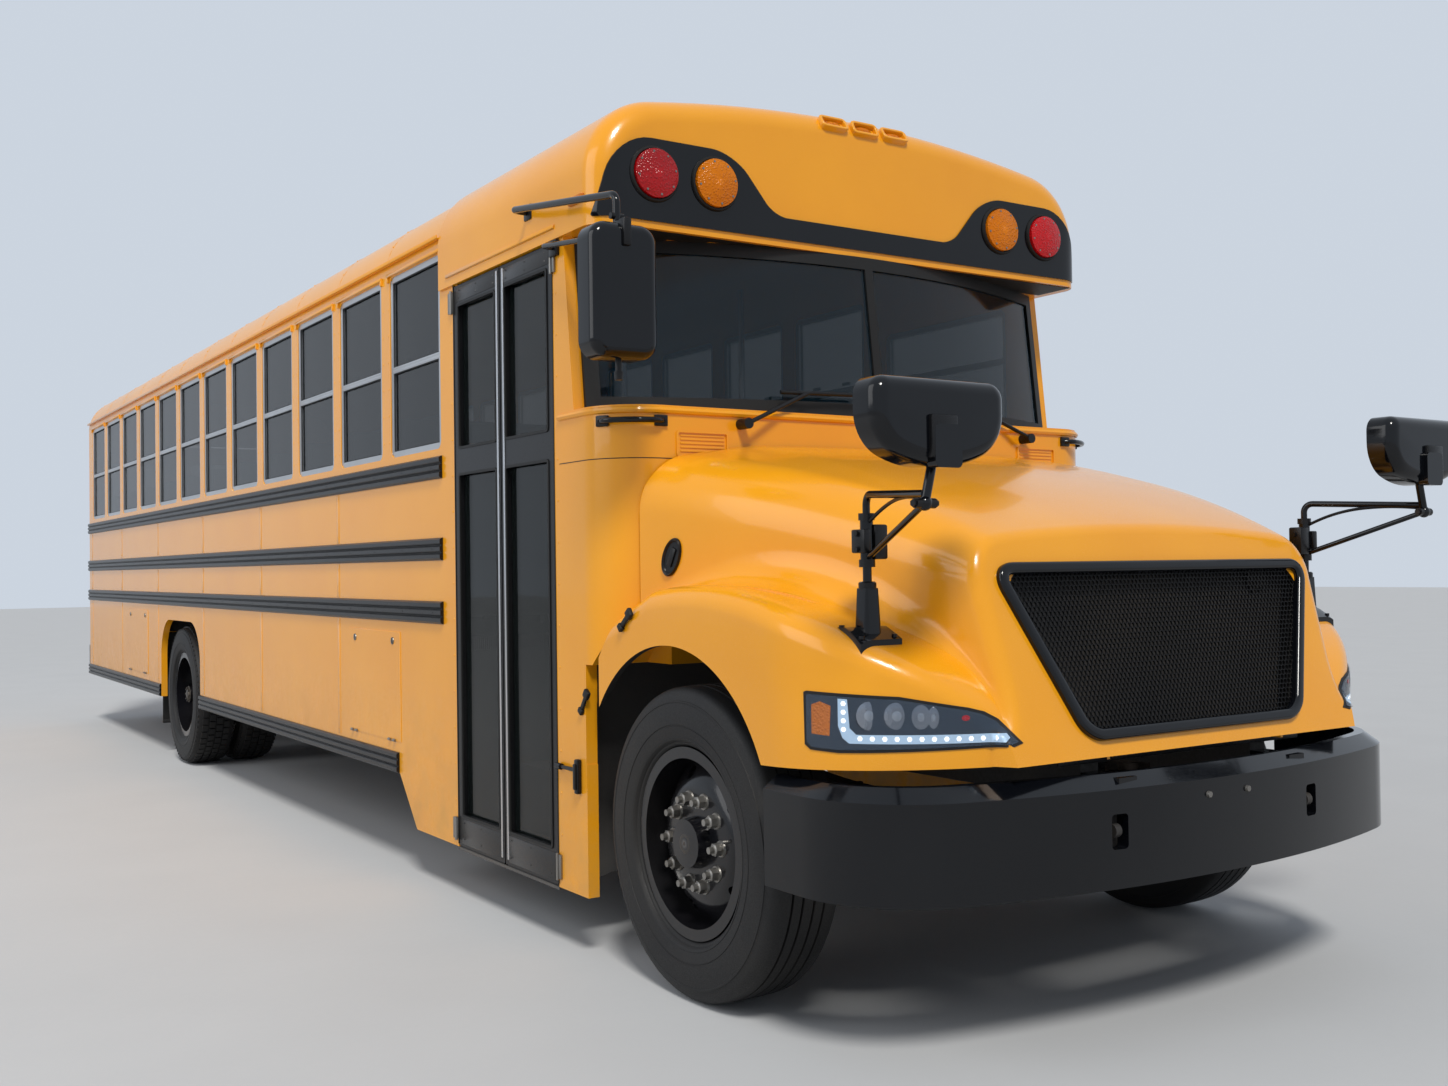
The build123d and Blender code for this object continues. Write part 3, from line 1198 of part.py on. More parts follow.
# Right side mirror: a tall housing on a hooped bracket from the front corner of the header
SIDE_MIRROR_X = -1326
SIDE_MIRROR_Y = FRONT_AXLE_Y + 140
SIDE_MIRROR_WIDTH = 250
SIDE_MIRROR_LOW_Z = 2090
SIDE_MIRROR_HIGH_Z = 2535
SIDE_MIRROR_DEPTH = 105
HOOP_Y = SIDE_MIRROR_Y + 10
HOOP_RADIUS = 13
HOOP_POINTS = (
    (-HALF - CAP_PROUD - SEAT_GAP, FRONT_AXLE_Y + 1020, 2780), (-1300, FRONT_AXLE_Y + 1020, 2780),
    (SIDE_MIRROR_X, HOOP_Y, 2640), (SIDE_MIRROR_X, HOOP_Y, SIDE_MIRROR_HIGH_Z - 60),
)
STAY_RADIUS = 10
STAY_POINTS = (
    (-HALF - SEAT_GAP, DOOR_FRONT_Y - 44, 2600), (-1280, DOOR_FRONT_Y - 44, 2600),
    (SIDE_MIRROR_X, HOOP_Y, SIDE_MIRROR_HIGH_Z - 30),
)
with BuildPart() as side_mirror:
    with BuildSketch(cross_plane(SIDE_MIRROR_Y + SIDE_MIRROR_DEPTH / 2)):
        with Locations((SIDE_MIRROR_X, (SIDE_MIRROR_LOW_Z + SIDE_MIRROR_HIGH_Z) / 2)):
            RectangleRounded(SIDE_MIRROR_WIDTH, SIDE_MIRROR_HIGH_Z - SIDE_MIRROR_LOW_Z, 60)
    extrude(amount=SIDE_MIRROR_DEPTH)
    fillet(side_mirror.faces().sort_by(Axis.Y)[0].edges(), 35)
    add(tube(HOOP_POINTS, 40, HOOP_RADIUS))
    add(tube(STAY_POINTS, 25, STAY_RADIUS))
save(side_mirror.part, "side_mirror")

# Front bumper: a deep curved beam with a bevelled top, tow slots and two brackets to the frame
BUMPER_MIDDLE_Y = FRONT_AXLE_Y - 1185
BUMPER_SIDE_Y = FRONT_AXLE_Y - 975
BUMPER_LOW_Z = 475
BUMPER_HIGH_Z = 795
BUMPER_HALF = 1232
BUMPER_DEPTH = 70
BUMPER_CORNER = 380
BUMPER_TAIL_Y = FRONT_AXLE_Y - 515
BUMPER_BEVEL_FALL = 38
BUMPER_BEVEL_RUN = 50
TOW_SLOT_X = 446
TOW_SLOT_Z = 637


def bumper_plan(z, inset):
    """The plan of the front bumper, drawn inside its face by an inset."""
    half = BUMPER_HALF - inset
    shoulder_y = BUMPER_SIDE_Y + inset
    with BuildSketch(Plane.XY.offset(z)) as plan:
        with BuildLine():
            ThreePointArc((-half, shoulder_y), (0, BUMPER_MIDDLE_Y + inset), (half, shoulder_y))
            Polyline(
                (half, shoulder_y), (half, BUMPER_TAIL_Y), (-half, BUMPER_TAIL_Y), (-half, shoulder_y),
            )
        make_face()
        corners = [v for v in plan.vertices() if abs(v.Y - shoulder_y) < 1]
        fillet(corners, BUMPER_CORNER - inset)
    return plan.sketch


with BuildPart() as front_bumper:
    extrude(bumper_plan(BUMPER_LOW_Z, 0), amount=BUMPER_HIGH_Z - BUMPER_LOW_Z)
    rim = front_bumper.faces().sort_by(Axis.Z)[-1].edges()
    chamfer([e for e in rim if e.center().Y < BUMPER_TAIL_Y - 1], BUMPER_BEVEL_FALL, BUMPER_BEVEL_RUN)
    extrude(
        bumper_plan(BUMPER_LOW_Z, BUMPER_DEPTH),
        amount=BUMPER_HIGH_Z - BUMPER_LOW_Z,
        mode=Mode.SUBTRACT,
    )
    for side in (-1, 1):
        with Locations((side * SPRING_X, (RAIL_FRONT_Y + BUMPER_MIDDLE_Y) / 2 + 20, 745)):
            Box(RAIL_THICK, RAIL_FRONT_Y - BUMPER_MIDDLE_Y - 40, 80)
        with BuildSketch(cross_plane(BUMPER_MIDDLE_Y + 200)):
            with Locations((side * TOW_SLOT_X, TOW_SLOT_Z)):
                RectangleRounded(60, 100, 12)
        extrude(amount=300, mode=Mode.SUBTRACT)
save(front_bumper.part, "front_bumper")

# Rear bumper
REAR_BUMPER_LOW_Z = 490
REAR_BUMPER_HEIGHT = 240
REAR_BUMPER_DEPTH = 80
with BuildPart() as rear_bumper:
    with BuildSketch(Plane.XY.offset(REAR_BUMPER_LOW_Z)):
        with Locations((0, BODY_REAR_Y + REAR_BUMPER_DEPTH / 2)):
            RectangleRounded(2 * HALF, REAR_BUMPER_DEPTH, REAR_BUMPER_DEPTH / 2 - 1)
        with Locations((0, BODY_REAR_Y + REAR_BUMPER_DEPTH / 4)):
            Rectangle(2 * HALF, REAR_BUMPER_DEPTH / 2)
    extrude(amount=REAR_BUMPER_HEIGHT)
save(rear_bumper.part, "rear_bumper")

# Rub rails: ribbed strips along both sides, and plain strips along the skirts
RIB_COUNT = 3


def ribbed_profile(side, low_z, height):
    """The cross-section of a rub rail with its ribs, standing on the wall's face."""
    pitch = height / RIB_COUNT
    face = side * (HALF + 0.3)
    base = side * (HALF + RAIL_PROUD * 0.45)
    crest = side * (HALF + RAIL_PROUD)
    points = [(face, low_z)]
    for i in range(RIB_COUNT):
        points += [
            (base, low_z + i * pitch), (crest, low_z + i * pitch + pitch * 0.25),
            (crest, low_z + i * pitch + pitch * 0.75), (base, low_z + (i + 1) * pitch - 1),
        ]
    points.append((face, low_z + height))
    return points


# Each row: side, front end, rear end, bottom and height of a strip
ARCH_FRONT_Y = REAR_AXLE_Y - REAR_ARCH_HALF
ARCH_REAR_Y = REAR_AXLE_Y + REAR_ARCH_HALF
rail_rows = [(-1, WINDOW_FIRST_Y - 10, BODY_REAR_Y, z, RAIL_HEIGHT) for z in RAIL_LEVELS]
rail_rows += [(1, DOOR_FRONT_Y + 16, BODY_REAR_Y, z, RAIL_HEIGHT) for z in RAIL_LEVELS]
for side in (-1, 1):
    rail_rows.append((side, SKIRT_FRONT_Y + 4, ARCH_FRONT_Y - 4, SKIRT_Z + 2, SKIRT_RAIL_HEIGHT))
    rail_rows.append((side, ARCH_REAR_Y + 4, BODY_REAR_Y, SKIRT_Z + 2, SKIRT_RAIL_HEIGHT))

with BuildPart() as rub_rails:
    for side, front, rear, low, height in rail_rows:
        with BuildSketch(cross_plane(rear)):
            with BuildLine():
                Polyline(*ribbed_profile(side, low, height), close=True)
            make_face()
        extrude(amount=rear - front)
save(rub_rails.part, "rub_rails")


# Wheels: one hollow tyre profile and two rim profiles, turned about the axle line
def turned(profile, wheel_x, side, axle_y):
    """Turns a profile of (outward distance, radius) points about the axle line."""
    with BuildPart() as wheel:
        with BuildSketch(cross_plane(axle_y)):
            with BuildLine():
                Polyline(*[(side * (wheel_x + u), AXLE_Z + r) for u, r in profile], close=True)
            make_face()
        revolve(axis=Axis((0, axle_y, AXLE_Z), (1, 0, 0)))
    return wheel.part


SEAT_R = RIM_RADIUS + TYRE_SEAT_GAP
BEAD = RIM_HALF_WIDTH - FLANGE_THICK - 0.5
TYRE_HALF = TYRE_WIDTH / 2
CROWN_HALF = TYRE_HALF - 44
TYRE_PROFILE = (
    (-BEAD, SEAT_R), (-BEAD, FLANGE_RADIUS + 1), (-TYRE_HALF, 400), (-TYRE_HALF + 10, 474),
    (-CROWN_HALF, TYRE_RADIUS), (CROWN_HALF, TYRE_RADIUS), (TYRE_HALF - 10, 474), (TYRE_HALF, 400),
    (BEAD, FLANGE_RADIUS + 1), (BEAD, SEAT_R),
)
INNER_R = RIM_RADIUS - BARREL_THICK
FLANGE_X = RIM_HALF_WIDTH - FLANGE_THICK
# Front wheel: the disc bulges outwards to the hub
FRONT_RIM = (
    (-RIM_HALF_WIDTH, INNER_R), (-RIM_HALF_WIDTH, FLANGE_RADIUS), (-FLANGE_X, FLANGE_RADIUS),
    (-FLANGE_X, RIM_RADIUS), (FLANGE_X, RIM_RADIUS), (FLANGE_X, FLANGE_RADIUS),
    (RIM_HALF_WIDTH, FLANGE_RADIUS), (RIM_HALF_WIDTH, INNER_R), (20, INNER_R), (72, 205),
    (80, 180), (80, 85), (126, 78), (130, 0), (56, 0), (56, 35.5), (-22, 35.5), (-22, 110),
    (62, 110), (62, 175), (52, 205), (0, INNER_R),
)
# Rear pair: two dished discs bolted back to back, joining an outer and an inner barrel
DUAL_INNER_X = DUAL_OUTER_X - DUAL_SPACING
DUAL_MIDDLE_X = (DUAL_OUTER_X + DUAL_INNER_X) / 2
REAR_DISC = 12


def barrel_outside(middle_x, towards):
    """Points round the outside of one barrel, from one inner edge to the other."""
    near = middle_x - towards * RIM_HALF_WIDTH
    far = middle_x + towards * RIM_HALF_WIDTH
    return (
        (far, INNER_R), (far, FLANGE_RADIUS), (far - towards * FLANGE_THICK, FLANGE_RADIUS),
        (far - towards * FLANGE_THICK, RIM_RADIUS), (near + towards * FLANGE_THICK, RIM_RADIUS),
        (near + towards * FLANGE_THICK, FLANGE_RADIUS), (near, FLANGE_RADIUS), (near, INNER_R),
    )


REAR_RIMS = (
    *barrel_outside(DUAL_OUTER_X, 1),
    (DUAL_MIDDLE_X + 80, INNER_R), (DUAL_MIDDLE_X, 200), (DUAL_MIDDLE_X - 80, INNER_R),
    *barrel_outside(DUAL_INNER_X, 1),
    (DUAL_MIDDLE_X - 100, INNER_R), (DUAL_MIDDLE_X - 28, 215), (DUAL_MIDDLE_X - REAR_DISC, 180),
    (DUAL_MIDDLE_X - REAR_DISC, HUB_RADIUS), (DUAL_MIDDLE_X - 145, HUB_RADIUS), (DUAL_MIDDLE_X - 145, 45.5),
    (DUAL_MIDDLE_X - 20, 45.5), (DUAL_MIDDLE_X - 20, 0), (DUAL_OUTER_X + 86, 0), (DUAL_OUTER_X + 86, 60),
    (DUAL_MIDDLE_X + REAR_DISC, 85), (DUAL_MIDDLE_X + REAR_DISC, 180),
    (DUAL_MIDDLE_X + 28, 215), (DUAL_MIDDLE_X + 100, INNER_R),
)
HOLE_RING = 228
HAND_HOLE_RADIUS = 21

with BuildPart() as rear_rims:
    add(turned(REAR_RIMS, 0, -1, REAR_AXLE_Y))
    with BuildSketch(side_plane(-DUAL_MIDDLE_X)):
        with Locations((REAR_AXLE_Y, AXLE_Z)):
            with PolarLocations(HOLE_RING, HAND_HOLE_COUNT):
                Circle(HAND_HOLE_RADIUS)
    extrude(amount=100, both=True, mode=Mode.SUBTRACT)

PRONG_THICK = 40
PRONG_RISE = EYE_HALF_HEIGHT + 3 + PRONG_THICK / 2
KNUCKLE_HEIGHT = 2 * (PRONG_RISE + PRONG_THICK / 2)
STUB_RADIUS = 35
for side, name in ((-1, "right"), (1, "left")):
    with BuildPart() as front_tyre:
        add(turned(TYRE_PROFILE, TRACK_HALF, side, FRONT_AXLE_Y))
    save(front_tyre.part, f"front_tyre_{name}")

    with BuildPart() as front_rim:
        add(turned(FRONT_RIM, TRACK_HALF, side, FRONT_AXLE_Y))
        with BuildSketch(side_plane(side * TRACK_HALF)):
            with Locations((FRONT_AXLE_Y, AXLE_Z)):
                with PolarLocations(HOLE_RING, HAND_HOLE_COUNT):
                    Circle(HAND_HOLE_RADIUS)
        extrude(amount=side * 90, mode=Mode.SUBTRACT)
    save(front_rim.part, f"front_rim_{name}")

    with BuildPart() as rear_tyres:
        add(turned(TYRE_PROFILE, DUAL_OUTER_X, side, REAR_AXLE_Y))
        add(turned(TYRE_PROFILE, DUAL_OUTER_X - DUAL_SPACING, side, REAR_AXLE_Y))
    save(rear_tyres.part, f"rear_tyres_{name}")

    save(rear_rims.part if side < 0 else rear_rims.part.mirror(Plane.YZ), f"rear_rims_{name}")

    # Steering knuckle: a fork round the kingpin eye, a brake plate and the spindle
    with BuildPart() as knuckle:
        for prong_z in (AXLE_Z - PRONG_RISE, AXLE_Z + PRONG_RISE):
            with Locations((side * 942, FRONT_AXLE_Y, prong_z)):
                Box(114, 90, PRONG_THICK)
        with Locations((side * 998, FRONT_AXLE_Y, AXLE_Z)):
            Box(26, 120, KNUCKLE_HEIGHT)
        with Locations((side * KINGPIN_X, FRONT_AXLE_Y, AXLE_Z)):
            Cylinder(PIN_HOLE - PIN_CLEAR, KNUCKLE_HEIGHT)
        with BuildSketch(side_plane(side * 1011)):
            with Locations((FRONT_AXLE_Y, AXLE_Z)):
                Circle(BRAKE_RADIUS)
        extrude(amount=side * 18)
        with BuildSketch(side_plane(side * 1000)):
            with Locations((FRONT_AXLE_Y, AXLE_Z)):
                Circle(STUB_RADIUS)
        extrude(amount=side * 110)
    save(knuckle.part, f"knuckle_{name}")

# Entry door: two leaves that swing outwards from the jambs
LEAF_LENGTH = (DOOR_REAR_Y - DOOR_FRONT_Y - 3 * LEAF_GAP) / 2
LEAF_ROWS = (("front", DOOR_FRONT_Y + LEAF_GAP), ("rear", DOOR_FRONT_Y + 2 * LEAF_GAP + LEAF_LENGTH))
# Each row: bottom and top of a pane
LEAF_PANES = ((LEAF_KICK_Z, LEAF_BAND_BOTTOM_Z), (LEAF_BAND_TOP_Z, LEAF_GLASS_TOP_Z))
for name, start in LEAF_ROWS:
    with BuildPart() as leaf:
        with BuildSketch(side_plane(-HALF)):
            with Locations((start + LEAF_LENGTH / 2, (DOOR_BOTTOM_Z + DOOR_TOP_Z) / 2)):
                Rectangle(LEAF_LENGTH, DOOR_TOP_Z - DOOR_BOTTOM_Z)
            for low, high in LEAF_PANES:
                with Locations((start + LEAF_LENGTH / 2, (low + high) / 2)):
                    Rectangle(LEAF_LENGTH - 2 * LEAF_FRAME, high - low, mode=Mode.SUBTRACT)
        extrude(amount=WALL)
        pin_y = DOOR_PIN_PLACES[0] if name == "front" else DOOR_PIN_PLACES[1]
        for low, high in ((DOOR_BOTTOM_Z, DOOR_SILL_Z + 40), (CAP_BOTTOM_Z - 34, DOOR_TOP_Z)):
            with BuildSketch(Plane.XY.offset(low)):
                with Locations((DOOR_PIN_X, pin_y)):
                    Circle(DOOR_PIN_RADIUS + PIN_CLEAR)
            extrude(amount=high - low, mode=Mode.SUBTRACT)
    save(leaf.part, f"entry_door_{name}")
    with BuildPart() as leaf_glass:
        for low, high in LEAF_PANES:
            with Locations((-HALF + WALL / 2, start + LEAF_LENGTH / 2, (low + high) / 2)):
                Box(GLASS, LEAF_LENGTH - 2 * LEAF_FRAME, high - low)
    save(leaf_glass.part, f"entry_glass_{name}")

# Emergency door in the rear wall
EXIT_LOW_Z = EXIT_BOTTOM_Z + LEAF_GAP
EXIT_HIGH_Z = EXIT_TOP_Z - LEAF_GAP
EXIT_PANES = ((1330, 1800), (1945, 2520))
with BuildPart() as exit_door:
    with BuildSketch(cross_plane(BODY_REAR_Y)):
        with Locations((0, (EXIT_LOW_Z + EXIT_HIGH_Z) / 2)):
            Rectangle(2 * EXIT_HALF_WIDTH - 2 * LEAF_GAP, EXIT_HIGH_Z - EXIT_LOW_Z)
        for low, high in EXIT_PANES:
            with Locations((0, (low + high) / 2)):
                RectangleRounded(2 * EXIT_GLASS_HALF, high - low, WINDOW_RADIUS, mode=Mode.SUBTRACT)
    extrude(amount=WALL)
    with Locations((EXIT_HALF_WIDTH - 90, BODY_REAR_Y + 20, 1880)):
        Box(120, 40, 30)
    for level in HINGE_LEVELS:
        with Locations((-EXIT_HALF_WIDTH, HINGE_Y, level + HINGE_HALF / 2)):
            Cylinder(HINGE_RADIUS, HINGE_HALF - 0.3)
        with Locations((-EXIT_HALF_WIDTH + 30, BODY_REAR_Y + HINGE_PLATE / 2, level + HINGE_HALF / 2)):
            Box(60, HINGE_PLATE, HINGE_HALF - 0.3)
save(exit_door.part, "exit_door")
with BuildPart() as exit_glass:
    with BuildSketch(cross_plane(BODY_REAR_Y - WALL / 2)):
        for low, high in EXIT_PANES:
            with Locations((0, (low + high) / 2)):
                RectangleRounded(2 * EXIT_GLASS_HALF, high - low, WINDOW_RADIUS)
    extrude(amount=GLASS)
save(exit_glass.part, "exit_glass")

# Bench seats: cushions, backs and their frames, twelve rows on each side of the aisle
SEAT_PITCH = 745
SEAT_ROWS = 12
SEAT_FIRST_Y = FRONT_AXLE_Y + 2150
SEAT_INNER_X = 185
SEAT_OUTER_X = HALF - WALL - 8
SEAT_TOP_Z = FLOOR_Z + 440
CUSHION_HEIGHT = 110
CUSHION_DEPTH = 400
BACK_HEIGHT = 700
BACK_DEPTH = 90
SEAT_WIDTH = SEAT_OUTER_X - SEAT_INNER_X
SEAT_MIDDLE_X = (SEAT_OUTER_X + SEAT_INNER_X) / 2
SOFT_GAP = 0.3
seat_places = [
    (side * SEAT_MIDDLE_X, SEAT_FIRST_Y + i * SEAT_PITCH) for side in (-1, 1) for i in range(SEAT_ROWS)
]
with BuildPart() as seat_cushions:
    for x, y in seat_places:
        with Locations((x, y + CUSHION_DEPTH / 2, SEAT_TOP_Z - CUSHION_HEIGHT / 2)):
            Box(SEAT_WIDTH, CUSHION_DEPTH, CUSHION_HEIGHT)
        back_y = y + CUSHION_DEPTH + 8 + BACK_DEPTH / 2
        with Locations((x, back_y, SEAT_TOP_Z - CUSHION_HEIGHT + BACK_HEIGHT / 2)):
            Box(SEAT_WIDTH, BACK_DEPTH, BACK_HEIGHT)
save(seat_cushions.part, "seat_cushions")

SEAT_FRAME = 28
with BuildPart() as seat_frames:
    for x, y in seat_places:
        frame_top = SEAT_TOP_Z - CUSHION_HEIGHT - SOFT_GAP
        with Locations((x, y + CUSHION_DEPTH / 2 + 40, frame_top - SEAT_FRAME / 2)):
            Box(SEAT_WIDTH, CUSHION_DEPTH, SEAT_FRAME)
        inner_x = x / abs(x) * (SEAT_INNER_X + 60)
        for leg_y in (y + 90, y + CUSHION_DEPTH):
            with Locations((inner_x, leg_y, (FLOOR_Z + frame_top) / 2)):
                Box(SEAT_FRAME, SEAT_FRAME, frame_top - FLOOR_Z)
        outer_x = x / abs(x) * (SEAT_OUTER_X - 40)
        with Locations((outer_x, y + CUSHION_DEPTH / 2 + 40, (FLOOR_Z + frame_top) / 2)):
            Box(SEAT_FRAME, SEAT_FRAME, frame_top - FLOOR_Z)
save(seat_frames.part, "seat_frames")

# Driver's seat, dashboard and steering wheel
DRIVER_X = 590
DRIVER_Y = FRONT_AXLE_Y + 1290
PEDESTAL = 300
DRIVER_SEAT_WIDTH = 520
DRIVER_SEAT_DEPTH = 500
DRIVER_SEAT_HEIGHT = 120
DRIVER_BACK_HEIGHT = 800
DRIVER_BACK_DEPTH = 110
with BuildPart() as driver_seat:
    with Locations((DRIVER_X, DRIVER_Y, FLOOR_Z + PEDESTAL / 2)):
        Box(PEDESTAL, PEDESTAL, PEDESTAL)
    with Locations((DRIVER_X, DRIVER_Y, FLOOR_Z + PEDESTAL + DRIVER_SEAT_HEIGHT / 2)):
        Box(DRIVER_SEAT_WIDTH, DRIVER_SEAT_DEPTH, DRIVER_SEAT_HEIGHT)
    back_y = DRIVER_Y + DRIVER_SEAT_DEPTH / 2 + 10
    with Locations((DRIVER_X, back_y, FLOOR_Z + PEDESTAL + DRIVER_BACK_HEIGHT / 2)):
        Box(DRIVER_SEAT_WIDTH - 20, DRIVER_BACK_DEPTH, DRIVER_BACK_HEIGHT)
save(driver_seat.part, "driver_seat")

DASH_HALF = 1000
# The dashboard seen from the side: Y from the front axle, and Z
DASH_OUTLINE = ((445, 1560), (445, 1890), (640, 1930), (760, 1850), (740, 1620), (620, 1560))
with BuildPart() as dashboard:
    with BuildSketch(side_plane(-DASH_HALF)):
        with BuildLine():
            Polyline(*[(FRONT_AXLE_Y + y, z) for y, z in DASH_OUTLINE], close=True)
        make_face()
    extrude(amount=2 * DASH_HALF)
save(dashboard.part, "dashboard")

STEERING_RADIUS = 225
STEERING_GRIP = 15
STEERING_SIDES = 24
SPOKE = 40
BOSS_RADIUS = 60
COLUMN_RADIUS = 28
COLUMN_LENGTH = 320
WHEEL_PLANE = Plane(
    origin=(DRIVER_X, FRONT_AXLE_Y + 960, 1870), x_dir=(1, 0, 0), z_dir=(0, 0.75, 0.66)
)
with BuildPart() as steering_wheel:
    with BuildSketch(WHEEL_PLANE.offset(-STEERING_GRIP)):
        RegularPolygon(STEERING_RADIUS + STEERING_GRIP, STEERING_SIDES)
        RegularPolygon(STEERING_RADIUS - STEERING_GRIP, STEERING_SIDES, mode=Mode.SUBTRACT)
    extrude(amount=2 * STEERING_GRIP)
    ends = steering_wheel.faces().filter_by(Axis(WHEEL_PLANE.origin, WHEEL_PLANE.z_dir))
    chamfer(ends.edges(), STEERING_GRIP * 0.6)
    with BuildSketch(WHEEL_PLANE.offset(-SPOKE / 5)):
        Rectangle(2 * STEERING_RADIUS, SPOKE)
        with Locations((0, -STEERING_RADIUS / 2)):
            Rectangle(SPOKE, STEERING_RADIUS)
        Circle(BOSS_RADIUS)
    extrude(amount=SPOKE * 0.4)
    with BuildSketch(WHEEL_PLANE.offset(-1)):
        Circle(COLUMN_RADIUS)
    extrude(amount=-COLUMN_LENGTH)
    add(dashboard.part, mode=Mode.SUBTRACT)
save(steering_wheel.part, "steering_wheel")

# Entrance grab rail: it rises from the floor and turns forward into the dashboard
GRAB_X = STEP_INNER_X + 40
GRAB_Y = DOOR_FRONT_Y + 60
GRAB_TOP_Z = 1780
GRAB_END_Y = FRONT_AXLE_Y + 735
GRAB_BEND = 60
GRAB_RADIUS = 16
GRAB_POINTS = ((GRAB_X, GRAB_Y, FLOOR_Z), (GRAB_X, GRAB_Y, GRAB_TOP_Z), (GRAB_X, GRAB_END_Y, GRAB_TOP_Z))
with BuildPart() as grab_rail:
    add(tube(GRAB_POINTS, GRAB_BEND, GRAB_RADIUS))
    add(dashboard.part, mode=Mode.SUBTRACT)
save(grab_rail.part, "grab_rail")

# Stop arm on the left wall, under the driver's window
STOP_Y = FRONT_AXLE_Y + 1890
STOP_Z = 1680
STOP_RADIUS = 228
STOP_PIN_X = HALF + 36
STOP_PIN_RADIUS = 6
STOP_BARREL_RADIUS = 14
STOP_THICK = 12
STOP_BARREL_LENGTH = 98
STOP_REACH = 330
STOP_NECK = 140
STOP_KNUCKLE = 30
STOP_END_GAP = 0.5
with BuildPart() as stop_arm:
    with BuildSketch(side_plane(STOP_PIN_X - STOP_THICK / 2)):
        with Locations((STOP_Y + STOP_REACH, STOP_Z)):
            RegularPolygon(STOP_RADIUS, 8, rotation=22.5)
        with Locations((STOP_Y + STOP_NECK / 2, STOP_Z)):
            Rectangle(STOP_NECK, STOP_BARREL_LENGTH)
    extrude(amount=STOP_THICK)
    with Locations((STOP_PIN_X, STOP_Y, STOP_Z)):
        Cylinder(STOP_BARREL_RADIUS, STOP_BARREL_LENGTH)
        Cylinder(STOP_PIN_RADIUS + PIN_CLEAR, STOP_BARREL_LENGTH + 2, mode=Mode.SUBTRACT)
save(stop_arm.part, "stop_arm")

with BuildPart() as stop_bracket:
    wall_x = HALF + SEAT_GAP
    knuckle_rise = STOP_BARREL_LENGTH / 2 + STOP_END_GAP + STOP_KNUCKLE / 2
    for knuckle_z in (STOP_Z - knuckle_rise, STOP_Z + knuckle_rise):
        with Locations((STOP_PIN_X, STOP_Y, knuckle_z)):
            Cylinder(STOP_BARREL_RADIUS, STOP_KNUCKLE)
        with Locations(((wall_x + STOP_PIN_X) / 2, STOP_Y - 20, knuckle_z)):
            Box(STOP_PIN_X - wall_x, 40, STOP_KNUCKLE)
    with Locations((wall_x + STOP_THICK / 2, STOP_Y - 50, STOP_Z)):
        Box(STOP_THICK, 60, 180)
    with Locations((STOP_PIN_X, STOP_Y, STOP_Z)):
        Cylinder(STOP_PIN_RADIUS, STOP_BARREL_LENGTH + STOP_THICK)
save(stop_bracket.part, "stop_bracket")

# Marker lamps: three in front over the windshield and one at each upper corner
MARKER_PROUD = 14
MARKER_X = 165
MARKER_Z = 3165
MARKER_SIDE_Z = 2737
with BuildPart() as marker_places:
    for x in (-MARKER_X, 0, MARKER_X):
        with Locations((x, CAP_FRONT_Y + 20, MARKER_Z)):
            Box(96, 60, 40)
    for side in (-1, 1):
        with Locations((side * HALF, CAP_FRONT_Y + 150, MARKER_SIDE_Z)):
            Box(120, 84, 34)

with BuildPart() as marker_lamps:
    add(cap_block(MARKER_PROUD, CAP_BOTTOM_Z + 1))
    add(cap_block(0, CAP_BOTTOM_Z), mode=Mode.SUBTRACT)
    add(marker_places.part, mode=Mode.INTERSECT)
save(marker_lamps.part, "marker_lamps")
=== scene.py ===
"""School bus: the dressed model, its finishes and a plain studio."""

import json
import logging
import math
from dataclasses import dataclass
from enum import Enum

import bmesh
import bpy
from mathutils import Matrix, Vector
from mathutils.bvhtree import BVHTree


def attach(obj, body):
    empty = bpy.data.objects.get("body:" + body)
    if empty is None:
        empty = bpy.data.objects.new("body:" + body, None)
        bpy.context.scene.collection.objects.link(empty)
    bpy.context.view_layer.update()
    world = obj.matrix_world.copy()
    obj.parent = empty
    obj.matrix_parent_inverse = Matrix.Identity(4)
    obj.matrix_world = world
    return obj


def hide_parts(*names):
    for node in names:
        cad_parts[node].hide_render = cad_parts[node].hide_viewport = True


Mesh = bmesh.types.BMesh
Socket = bpy.types.NodeSocket
Piece = bpy.types.Object
Triple = tuple[float, float, float]

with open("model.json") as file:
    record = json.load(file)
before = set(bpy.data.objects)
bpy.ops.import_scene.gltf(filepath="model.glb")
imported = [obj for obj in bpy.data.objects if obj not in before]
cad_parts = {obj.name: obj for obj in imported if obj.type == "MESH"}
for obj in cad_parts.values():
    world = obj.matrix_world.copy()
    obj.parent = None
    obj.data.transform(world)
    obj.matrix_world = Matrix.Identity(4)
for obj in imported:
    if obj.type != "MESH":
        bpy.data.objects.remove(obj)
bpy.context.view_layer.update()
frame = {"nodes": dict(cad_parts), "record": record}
log = logging.getLogger("school_bus")

FRONT_AXLE_Y = -4.940
REAR_AXLE_Y = 2.172
AXLE_Z = 0.510
WALL_X = 1.219


class Pattern(Enum):
    """How a finish varies from place to place."""

    COATED = "even paint with a faint ripple"
    CAST = "rough cast or forged skin"
    BRUSHED = "fine lines along the length"
    MOULDED = "fine moulded grain"
    HIDE = "creased upholstery grain"
    RIBBED = "fine ribs across the floor"
    DOTTED = "small round prisms"


